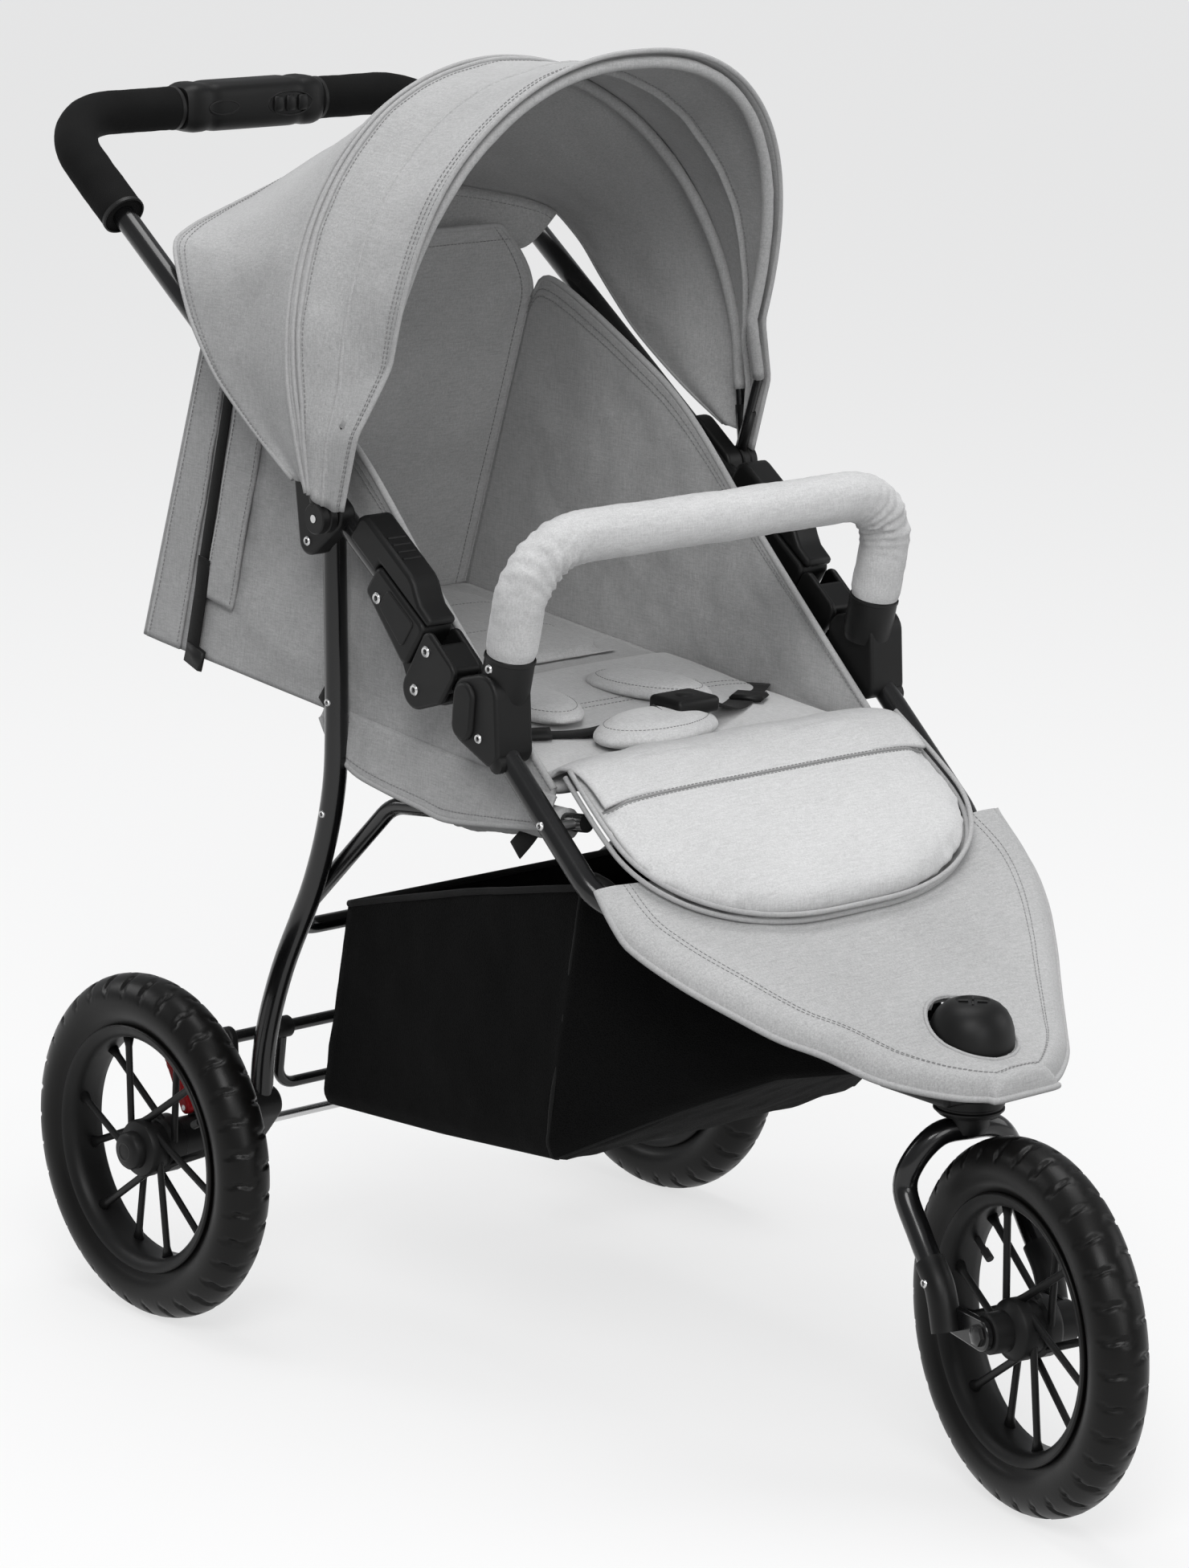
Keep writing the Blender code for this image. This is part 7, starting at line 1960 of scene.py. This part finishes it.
    def oval(self, name: str, centre: Vector, half: tuple, thickness: float, turn: float,
             finish: Finish) -> bpy.types.Object:
        """Small oval cushion with a quilted line round it."""
        rotation = Matrix.Rotation(turn, 3, "Z")

        def disc(u: float, v: float) -> tuple:
            w = 2 * v - 1
            return u * math.sqrt(max(0.0, 1 - w * w / 2)), w * math.sqrt(max(0.0, 1 - u * u / 2))

        def lower(u: float, v: float) -> Vector:
            x, y = disc(u, v)
            rim = min(1.0, x * x + y * y)
            return centre + rotation @ Vector((x * half[0], y * half[1], thickness * 0.30 * rim ** 2))

        def upper(u: float, v: float) -> Vector:
            x, y = disc(u, v)
            rim = min(1.0, x * x + y * y)
            place = lower(u, v)
            groove = 0.0016 * math.exp(-((math.sqrt(rim) - 0.80) / 0.05) ** 2)
            place.z = centre.z + thickness * (1 - 0.55 * rim ** 2.5) - groove
            return place

        pad = cushion_piece(name, upper, lower, 26, 26, finish, Body.FRONT)
        puffed(pad, 0.0035, 1.0, 0.0012)
        ring = [centre + rotation @ Vector((half[0] * 0.82 * math.cos(a), half[1] * 0.82 * math.sin(a), 0.05))
                for a in spread(0, math.tau, 70)]
        stitch_piece(f"{name}_stitches", [drop_onto(pad, ring, DOWN, 0.0002)], Body.FRONT, 0.0036, 0.0025)
        return pad

    def outer_details(self) -> None:
        """Wrap strip, pocket flap and straps on the outside of the side walls."""
        out = self.half_width + 0.0040
        for side in Side:
            self.patch(f"rear_wrap_{side.label}", side, out,
                       ((0.066, 0.832), (0.030, 0.838), (0.105, 0.553), (0.152, 0.557)), 0.0022)
            self.patch(f"pocket_flap_{side.label}", side, out,
                       ((0.012, 0.830), (-0.026, 0.812), (0.030, 0.600), (0.068, 0.607)), 0.0030)
            strip = smooth_path([side.at(out - 0.0008, 0.024, 0.832), side.at(out - 0.0006, 0.058, 0.690),
                                 side.at(out - 0.0008, 0.090, 0.556)])
            gusset = strap_piece(f"rear_gusset_{side.label}", strip, 0.013, 0.0012, side.out)
            webbing = smooth_path([side.at(out + 0.0022, 0.066, 0.640), side.at(out + 0.0024, 0.073, 0.600),
                                   side.at(out + 0.0020, 0.083, 0.560), side.at(out + 0.0004, 0.086, 0.546)])
            strap = strap_piece(f"rear_webbing_{side.label}", webbing, 0.017, 0.0015, side.out)
            path = [side.at(out + 0.0018, 0.078, 0.560), side.at(out + 0.0018, 0.0835, 0.543)]
            clip = swept_piece(f"rear_clip_{side.label}", path, strap_section(0.026, 0.0055), Finish.PLASTIC,
                               Body.FRONT, up=side.out)
            crushed((gusset, strap, clip))

    def patch(self, name: str, side: Side, out: float, corners: tuple, thickness: float) -> None:
        """Flat cloth patch between four (y, z) corners, with a stitched edge."""
        a, b, c, d = (side.at(out, y, z) for y, z in corners)

        def surface(u: float, v: float) -> Vector:
            share = (u + 1) / 2
            place = a.lerp(b, share).lerp(d.lerp(c, share), v)
            return place + side.out * wrinkle(place, 0.05, 0.0010, 4.0)

        piece = sheet_piece(name, surface, 14, 50, thickness, Finish.LINEN, Body.FRONT)
        f"seat_side_{side.label}"
        rows = [[surface(u, v) + side.out * (thickness / 2 + 0.0003) for v in spread(0.02, 0.98, 60)]
                for u in (-0.86, 0.86)]
        crushed((piece, stitch_piece(f"{name}_stitches", rows, Body.FRONT)))


@dataclass
class BumperBar:
    """Padded lift-off bar with gathered cloth at its bends."""

    half_width: float = 0.2000
    rod_radius: float = 0.0080
    pad_radius: float = 0.0210
    bend: float = 0.0550

    def build(self) -> None:
        """Make the bar and its cover."""
        leg, corner = LINES.bumper_foot, LINES.bumper_corner
        up = (corner - leg).normalized()
        feet = [LINES.beside(s, self.half_width, leg) for s in Side]
        ends = [LINES.beside(s, self.half_width, corner) for s in Side]
        path = fillet_path((feet[0], ends[0], ends[1], feet[1]), (self.bend,) * 2, 4.0)
        rod = tube_piece("bumper_rod", path, self.rod_radius, Finish.PAINT, Body.BUMPER)
        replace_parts(rod, "bumper_bar")
        cover = [path[0] + up * 0.0335] + path[1:-1] + [path[-1] + up * 0.0335]
        cover = even_path(cover, 0.0032)
        bends = [self.share_of(cover, e) for e in ends]

        def gathers(share: float, angle: float, place: Vector) -> float:
            near = max(math.exp(-((share - b) / 0.055) ** 2) for b in bends)
            inner = 0.5 + 0.5 * math.cos(math.tau * (angle - 0.75))
            folds = math.sin(share * 330 + 2.5 * math.sin(angle * math.tau * 2)) * 0.0015
            fine = wrinkle(place, 0.012, 0.0017, 1.0)
            broad = wrinkle(place, 0.05, 0.0008, 6.0)
            hem = -0.0016 * max(0.0, 1 - min(share, 1 - share) / 0.012)
            return near * (folds + fine) * (0.5 + 0.5 * inner) + broad + fine * 0.25 + hem

        pad = swept_piece("bumper_cover", cover, ring_section(self.pad_radius, 56), Finish.PAD, Body.BUMPER,
                          ripple=gathers)
        sharpened(pad, 70)
        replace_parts(pad, "bumper_pad")
        seam = [p + Vector((0, 0.004, -0.0207)) for p in cover[40:-40]]
        stitch_piece("bumper_seam_stitches", [seam], Body.BUMPER)

    def share_of(self, path: Sequence[Vector], place: Vector) -> float:
        """Share of a path's length nearest to a place."""
        return min(range(len(path)), key=lambda i: (path[i] - place).length) / (len(path) - 1)


@dataclass
class FootPanel:
    """Foot panel with a turned hem and a round opening for the knob."""

    thickness: float = 0.0075
    hem: float = 0.0180
    hem_drop: float = 0.0190
    knob_radius: float = 0.0351
    binding_radius: float = 0.03708

    def rows(self) -> list:
        """(y, top z, half width, sag) from the seat to the tip."""
        corner_y, corner_z = -0.4750, 0.4596
        slope = (corner_z - 0.3510) / (corner_y + 0.6550)

        def top(y: float) -> float:
            return corner_z + (y - corner_y) * slope + 0.0275

        return [(-0.492, top(-0.492), 0.2200, 0.0120), (-0.530, top(-0.530), 0.2210, 0.0120),
                (-0.570, top(-0.570), 0.2030, 0.0070), (-0.610, top(-0.610), 0.1740, 0.0020),
                (-0.635, top(-0.635), 0.1530, 0.0), (-0.660, 0.3800, 0.1310, 0.0), (-0.690, 0.3640, 0.1060, 0.0),
                (-0.715, 0.3560, 0.0830, 0.0), (-0.735, 0.3500, 0.0560, 0.0), (-0.746, 0.3480, 0.0350, 0.0)]

    def row(self, v: float) -> tuple:
        """Smoothly interpolated row."""
        rows = self.rows()
        place = v * (len(rows) - 1)
        i = min(len(rows) - 2, int(place))
        t = place - i
        p = [rows[max(0, i - 1)], rows[i], rows[i + 1], rows[min(len(rows) - 1, i + 2)]]
        return tuple(between(*four, t) for four in zip(*p))

    def surface(self, u: float, v: float) -> Vector:
        """Top surface of the panel; the last part of v is the front hem."""
        body_share = 0.93
        y, z, half, sag = self.row(min(1.0, v / body_share))
        inner = max(0.005, half - self.hem)
        ease = 0.84
        hem_drop = self.hem_drop * (0.3 + 0.7 * min(1.0, v / 0.10))
        if abs(u) < ease:
            x = inner * abs(u) / ease
            share = abs(u) / ease
            drop = sag * (1 - share ** 2) + (0.0020 + sag * 0.25) * share ** 2
        else:
            t = (abs(u) - ease) / (1 - ease)
            x = inner + (half - inner) * math.sin(t * math.pi / 2)
            drop = 0.0020 + sag * 0.25 + (hem_drop - 0.0020 - sag * 0.25) * (1 - math.cos(t * math.pi / 2))
        if v > body_share:
            t = (v - body_share) / (1 - body_share)
            y -= 0.008 * math.sin(t * math.pi / 2)
            drop = drop + (self.hem_drop - min(drop, self.hem_drop)) * (1 - math.cos(t * math.pi / 2))
        place = Vector((math.copysign(x, u), y, z - drop))
        return place + Vector((0, 0, wrinkle(place, 0.07, 0.0016, 7.0) * edge_fade(u, min(1.0, v), 0.3)))

    def build(self) -> None:
        """Make the panel, its bound edge and its stitch lines."""
        columns, rows = 120, 110
        centre = Vector((0.0, LINES.head_y))
        places = {}
        verts, faces = [], []
        for r in range(rows + 1):
            for c in range(columns + 1):
                point = self.surface(-1 + 2 * c / columns, r / rows)
                flat = Vector((point.x, point.y)) - centre
                if flat.length < self.knob_radius + 0.004:
                    share = max(1e-6, flat.length)
                    if flat.length < self.knob_radius:
                        places[(r, c)] = None
                        continue
                    point = Vector((centre.x + flat.x / share * self.knob_radius,
                                    centre.y + flat.y / share * self.knob_radius, point.z))
                places[(r, c)] = len(verts)
                verts.append(point)
        for r in range(rows):
            for c in range(columns):
                corners = [places[(r, c)], places[(r, c + 1)], places[(r + 1, c + 1)], places[(r + 1, c)]]
                if all(i is not None for i in corners):
                    faces.append(tuple(corners))
        panel = drawn_object("foot_panel_cloth", verts, faces)
        thickened(panel, self.thickness, 1.0)
        rounded(panel, 0.0022, 2, 60.0)
        finish_piece(panel, Finish.LINEN, Body.FRONT)
        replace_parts(panel, "footrest_panel")
        self.trim(panel)

    def trim(self, panel: bpy.types.Object) -> None:
        """Stitch rows inside the hem, piping along it and round the opening."""
        vs = spread(0.0, 1.0, 130)
        lines = [[self.surface(sign * u, v) + UP * 0.03 for v in vs if v < 0.90] for u in (0.80, 0.775)
                 for sign in (-1, 1)]
        lines += [[self.surface(u, v) + UP * 0.03 for u in spread(-0.80, 0.80, 90)] for v in (0.90, 0.885)]
        sewn_rows("foot_panel_stitches", panel, lines, Body.FRONT)
        edge = [self.surface(-1, v) for v in vs] + [self.surface(u, 1.0) for u in spread(-1, 1, 60)[1:]]
        edge += [self.surface(1, v) for v in reversed(vs[:-1])]
        cord_piece("foot_panel_piping", [p - UP * 0.001 for p in edge], 0.0028, Body.FRONT)
        ring = [Vector((self.binding_radius * math.cos(a), LINES.head_y + self.binding_radius * math.sin(a), 0.40))
                for a in spread(0, math.tau, 60)]
        swept_piece("knob_hole_binding", drop_onto(panel, ring, DOWN, 0.0002), ring_section(0.0016, 10),
                    Finish.PIPING, Body.FRONT)


@dataclass
class Basket:
    """Deep net basket with bound seams and a tab at each side."""

    half: float = 0.1750
    wall: float = 0.0020

    def sections(self) -> list:
        """Bottom (y, z), top (y, z), bottom and top half widths."""
        h = self.half
        return [((-0.084, 0.184), (-0.124, 0.373), h - 0.004, h), ((-0.240, 0.197), (-0.280, 0.417), h, h),
                ((-0.388, 0.212), (-0.428, 0.452), h, h), ((-0.470, 0.262), (-0.500, 0.418), h * 0.66, h * 0.80),
                ((-0.545, 0.302), (-0.560, 0.376), h * 0.42, h * 0.50), ((-0.612, 0.318), (-0.617, 0.334), h * 0.20,
                                                                         h * 0.22)]

    def station(self, v: float) -> tuple:
        """Section values at a share of the length, eased between the given ones."""
        sections = self.sections()
        place = v * (len(sections) - 1)
        i = min(len(sections) - 2, int(place))
        t = place - i

        def mix(a, b):
            return a + (b - a) * t

        a, b = sections[i], sections[i + 1]
        return ((mix(a[0][0], b[0][0]), mix(a[0][1], b[0][1])), (mix(a[1][0], b[1][0]), mix(a[1][1], b[1][1])),
                mix(a[2], b[2]), mix(a[3], b[3]))

    def surface(self, u: float, v: float) -> Vector:
        """Shell of the basket; u runs from one rim under the floor to the other."""
        bottom, top, low, high = self.station(v)
        profile = ((0.0, 0.0), (0.30, 0.0), (0.46, 0.0), (0.52, 0.015), (0.58, 0.08), (0.78, 0.50), (1.0, 1.0))
        share = abs(u)
        for (a, b) in zip(profile, profile[1:]):
            if share <= b[0] + 1e-9:
                t = (share - a[0]) / (b[0] - a[0])
                rise = a[1] + (b[1] - a[1]) * t
                break
        across = min(1.0, share / 0.50) if share < 0.50 else 1.0
        round_corner = 0.05 * math.exp(-((share - 0.5) / 0.05) ** 2)
        width = (low + (high - low) * rise) * (across - round_corner)
        y = bottom[0] + (top[0] - bottom[0]) * rise
        z = bottom[1] + (top[1] - bottom[1]) * rise
        place = Vector((math.copysign(width, u), y, z))
        slack = 0.0050 * math.sin(math.pi * rise) * math.sin(math.pi * min(1.0, v * 2.5) if v < 0.4 else 1.0)
        crumple = wrinkle(place, 0.07, 0.0050, 8.0)
        sag = -0.004 * (1 - share / 0.5) if share < 0.5 else 0.0
        return place + Vector((math.copysign(-slack - crumple * (0.6 if share > 0.5 else 0), u), 0,
                               sag + (crumple * 0.5 if share < 0.5 else 0)))

    def build(self) -> None:
        """Make the shell, its rear wall, bindings and tabs."""
        shell = sheet_piece("basket_net", self.surface, 96, 90, self.wall, Finish.MESH, Body.FRONT)
        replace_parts(shell, "basket")
        trims = self.bindings()
        for piece in [shell] + trims:
            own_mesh(piece)

    def bindings(self) -> list:
        """Rear wall, rim bindings, side seams, gussets and tabs."""
        back_y, back_z = -0.124, 0.373

        def rear(u: float, v: float) -> Vector:
            place = self.surface(u * 0.5, 0.0).lerp(Vector((u * (self.half - 0.002), back_y, back_z)), v)
            return place + Vector((0, wrinkle(place, 0.08, 0.004, 2.0) * (1 - u * u), 0))

        rear_wall = sheet_piece("basket_rear_net", rear, 50, 30, self.wall, Finish.MESH, Body.FRONT)
        pieces = [rear_wall]
        for side in Side:
            for label, u, radius in (("rim", 1.0, 0.0030), ("seam", 0.5, 0.0018)):
                line = [self.surface(side.value * u, v) for v in spread(0, 1, 90)]
                pieces.append(cord_piece(f"basket_{label}_{side.label}", line, radius, Body.FRONT, 10, 0.008,
                                         Finish.WEBBING))
            gusset = [self.surface(side.value * u, 0.395) + side.out * 0.0012 for u in spread(0.48, 1.0, 40)]
            pieces.append(swept_piece(f"basket_gusset_{side.label}", gusset, ring_section(0.0016, 10),
                                      Finish.WEBBING, Body.FRONT))
            tab = smooth_path([side.at(x, -0.4565, z) for x, z in ((0.163, 0.440), (0.178, 0.462), (0.1955, 0.474))])
            pieces.append(strap_piece(f"basket_tab_{side.label}", tab, 0.020, 0.0020, side.out + UP * 0.4))
        rim = [Vector((x, back_y, back_z)) for x in spread(-self.half, self.half, 30)]
        pieces.append(swept_piece("basket_rim_back", rim, ring_section(0.0030, 10), Finish.WEBBING, Body.FRONT))
        return pieces


@dataclass
class LooseStraps:
    """Webbing, fleece sleeves and hanging hems between the seat and the frame."""

    rail_slope: float = -0.139

    def build(self) -> None:
        """Make the straps, hems and sleeves seen under the seat."""
        for side in Side:
            path = smooth_path([side.at(0.1855, -0.098, 0.553), side.at(0.1862, -0.128, 0.531),
                                side.at(0.1865, -0.158, 0.508)])
            strap_piece(f"seat_strap_{side.label}", path, 0.016, 0.0015, side.out)
            tab = smooth_path([side.at(0.1780, -0.372, 0.497), side.at(0.1840, -0.366, 0.484),
                               side.at(0.1890, -0.356, 0.470)])
            strap_piece(f"rail_tab_{side.label}", tab, 0.020, 0.0016, side.out + UP * 0.3)
            self.hem_over_rail(side)
        for side in Side:
            line = [side.at(0.1765, y, 0.5030 + self.rail_slope * (y + 0.420)) for y in spread(-0.405, -0.272, 30)]
            sleeve = swept_piece(f"rail_sleeve_{side.label}", line, ring_section(0.0132, 22), Finish.LINEN, Body.RAIL,
                                 ripple=lambda share, angle, place: wrinkle(place, 0.02, 0.0020, 3.0))

    def hem_over_rail(self, side: Side) -> None:
        """Lower edge of a side wall, which hangs down and wraps the rail."""
        tub = SeatTub()
        points = ((-0.398, 0.497), (-0.330, 0.486), (-0.270, 0.478), (-0.235, 0.482), (-0.190, 0.487),
                  (-0.147, 0.495), (-0.118, 0.514), (-0.104, 0.533))
        edge = even_path(smooth_path([(0, y, z) for y, z in points]), 0.003)

        def surface(u: float, v: float) -> Vector:
            low = edge[min(len(edge) - 1, round((u + 1) / 2 * (len(edge) - 1)))]
            z = tub.floor_z(low.y) + 0.006
            wave = wrinkle(Vector((0, low.y, v * 0.04)), 0.03, 0.0016, 5.0 + side.value) * math.sin(math.pi * v)
            return side.at(0.1822 + 0.0088 * v ** 0.6 + wave, low.y, z + (low.z - z) * v)

        flap = sheet_piece(f"side_hem_{side.label}", surface, 80, 14, 0.0026, Finish.LINEN, None)
        us = spread(-1, 1, 90)
        cord = cord_piece(f"side_hem_piping_{side.label}", [surface(u, 1.0) for u in us], 0.0026, None)
        row = [surface(u, 0.84) + side.out * 0.0016 for u in us]
        stitches = stitch_piece(f"side_hem_stitches_{side.label}", [row], None)
        for piece in (flap, cord, stitches):
            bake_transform(piece)


@dataclass
class Studio:
    """Camera, lamps and floor.

    Args:
        place: Camera's place in the drawing frame.
        right: Camera's right-hand direction.
        up: Camera's upward direction.
        back: Direction from the seat to the camera.
        lens: Focal length in millimetres on a 36 mm sensor.
        pale: Grey of the background that the camera sees.
    """

    place: tuple = (-2.78404, -3.43368, 1.51600)
    right: tuple = (0.75724, -0.65287, 0.01864)
    up: tuple = (0.14226, 0.19272, 0.97089)
    back: tuple = (-0.63745, -0.73255, 0.23881)
    lens: float = 118.71
    pale: float = 0.86

    def build(self) -> None:
        """Make the whole studio."""
        self.camera()
        self.world()
        self.floor()
        self.lamp("key", (-2.6, -2.6, 3.6), 2.2, 100.0)
        self.lamp("fill", (3.4, -2.2, 2.0), 2.8, 34.0)
        self.lamp("top", (0.2, 0.6, 4.2), 2.4, 70.0)
        self.lamp("rim", (-1.8, 3.6, 2.4), 1.8, 30.0)
        self.lamp("front", (-0.9, -3.4, 1.5), 1.6, 26.0)
        bpy.context.scene.view_settings.view_transform = "Standard"

    def camera(self) -> None:
        """Camera at the photograph's angle."""
        data = bpy.data.cameras.new("camera")
        data.lens, data.sensor_width, data.sensor_fit = self.lens, 36.0, "AUTO"
        camera = add_object("camera", data)
        matrix = Matrix((self.right, self.up, self.back)).transposed().to_4x4()
        matrix.translation = shifted([self.place])[0]
        camera.matrix_world = matrix
        bpy.context.scene.camera = camera

    def world(self) -> None:
        """Soft surrounding light, pale to the camera and in reflections."""
        world = bpy.data.worlds.new("studio")
        world.use_nodes = True
        bpy.context.scene.world = world
        kit = ShaderKit(world.node_tree)
        path = kit.node("ShaderNodeLightPath").outputs
        seen = kit.highest(path["Is Camera Ray"], path["Is Transmission Ray"])
        kit.feed(world.node_tree.nodes["Background"], {
            "Color": kit.mix(seen, (0.80, 0.81, 0.83, 1), grey(self.pale)),
            "Strength": kit.remap(seen, 0.0, 1.0, 0.45, 1.0),
        })

    def floor(self) -> None:
        """Pale floor that keeps the pushchair's shadow."""
        reach = 40
        mesh = bpy.data.meshes.new("floor")
        corners = [(-reach, -reach, 0), (reach, -reach, 0), (reach, reach, 0), (-reach, reach, 0)]
        mesh.from_pydata(corners, [], [(0, 1, 2, 3)])
        floor = add_object("floor", mesh)
        material, kit, shader = new_material("floor_pale")
        path = kit.node("ShaderNodeLightPath").outputs
        seen = kit.highest(path["Is Camera Ray"], path["Is Glossy Ray"], path["Is Transmission Ray"])
        kit.feed(shader, {
            "Base Color": grey(0.26),
            "Roughness": 0.9,
            "Specular IOR Level": 0.1,
            "Emission Color": grey(1),
            "Emission Strength": kit.math("MULTIPLY", seen, 0.68),
        })
        mesh.materials.append(material)

    def lamp(self, name: str, place: tuple, size: float, power: float) -> None:
        """Large soft area lamp aimed at the seat."""
        data = bpy.data.lights.new(name, "AREA")
        data.shape, data.size, data.energy = "DISK", size, power
        lamp = add_object(name, data)
        lamp.location = place
        lamp.rotation_euler = (Vector((0, 0, 0.6)) - Vector(place)).to_track_quat("-Z", "Y").to_euler()


def dress_cad() -> None:
    """Give every CAD node that stays visible its own detailed finish."""
    slots = {row["node"]: row["material_slot"] for row in frame["record"]["subparts"]}
    by_slot = {finish.value: finish for finish in Finish}
    for name, node in frame["nodes"].items():
        finish = by_slot.get(slots.get(name, ""), Finish.PLASTIC)
        for place in node.material_slots:
            place.material = PALETTE[finish]


def wheels() -> list:
    """The three wheels."""
    front = Wheel("front", Body.WHEEL_FRONT, LINES.in_fork(0, -LINES.trail, LINES.wheel_radius),
                  (LINES.in_fork(1, 0, 0) - LINES.in_fork(0, 0, 0)).normalized(), False)
    return [front] + [Wheel(f"rear_{side.label}", side.body("wheel_rear"),
                            side.at(LINES.track_half, 0, LINES.wheel_radius), side.out, True) for side in Side]


def main() -> None:
    """Build the studio and every sub-assembly, and log each one's name."""
    logging.basicConfig(level=logging.INFO, format="%(message)s")
    Studio().build()
    dress_cad()
    assemblies = [FrameTubes(), FoldHinges(), HandleGrips(), SteeringHead(), RearGear(), Canopy(), SeatTub(),
                  BumperBar(), FootPanel(), Basket(), LooseStraps()] + wheels()
    for assembly in assemblies:
        assembly.build()
        LOG.info("built %s", type(assembly).__name__)


if __name__ == "__main__":
    main()
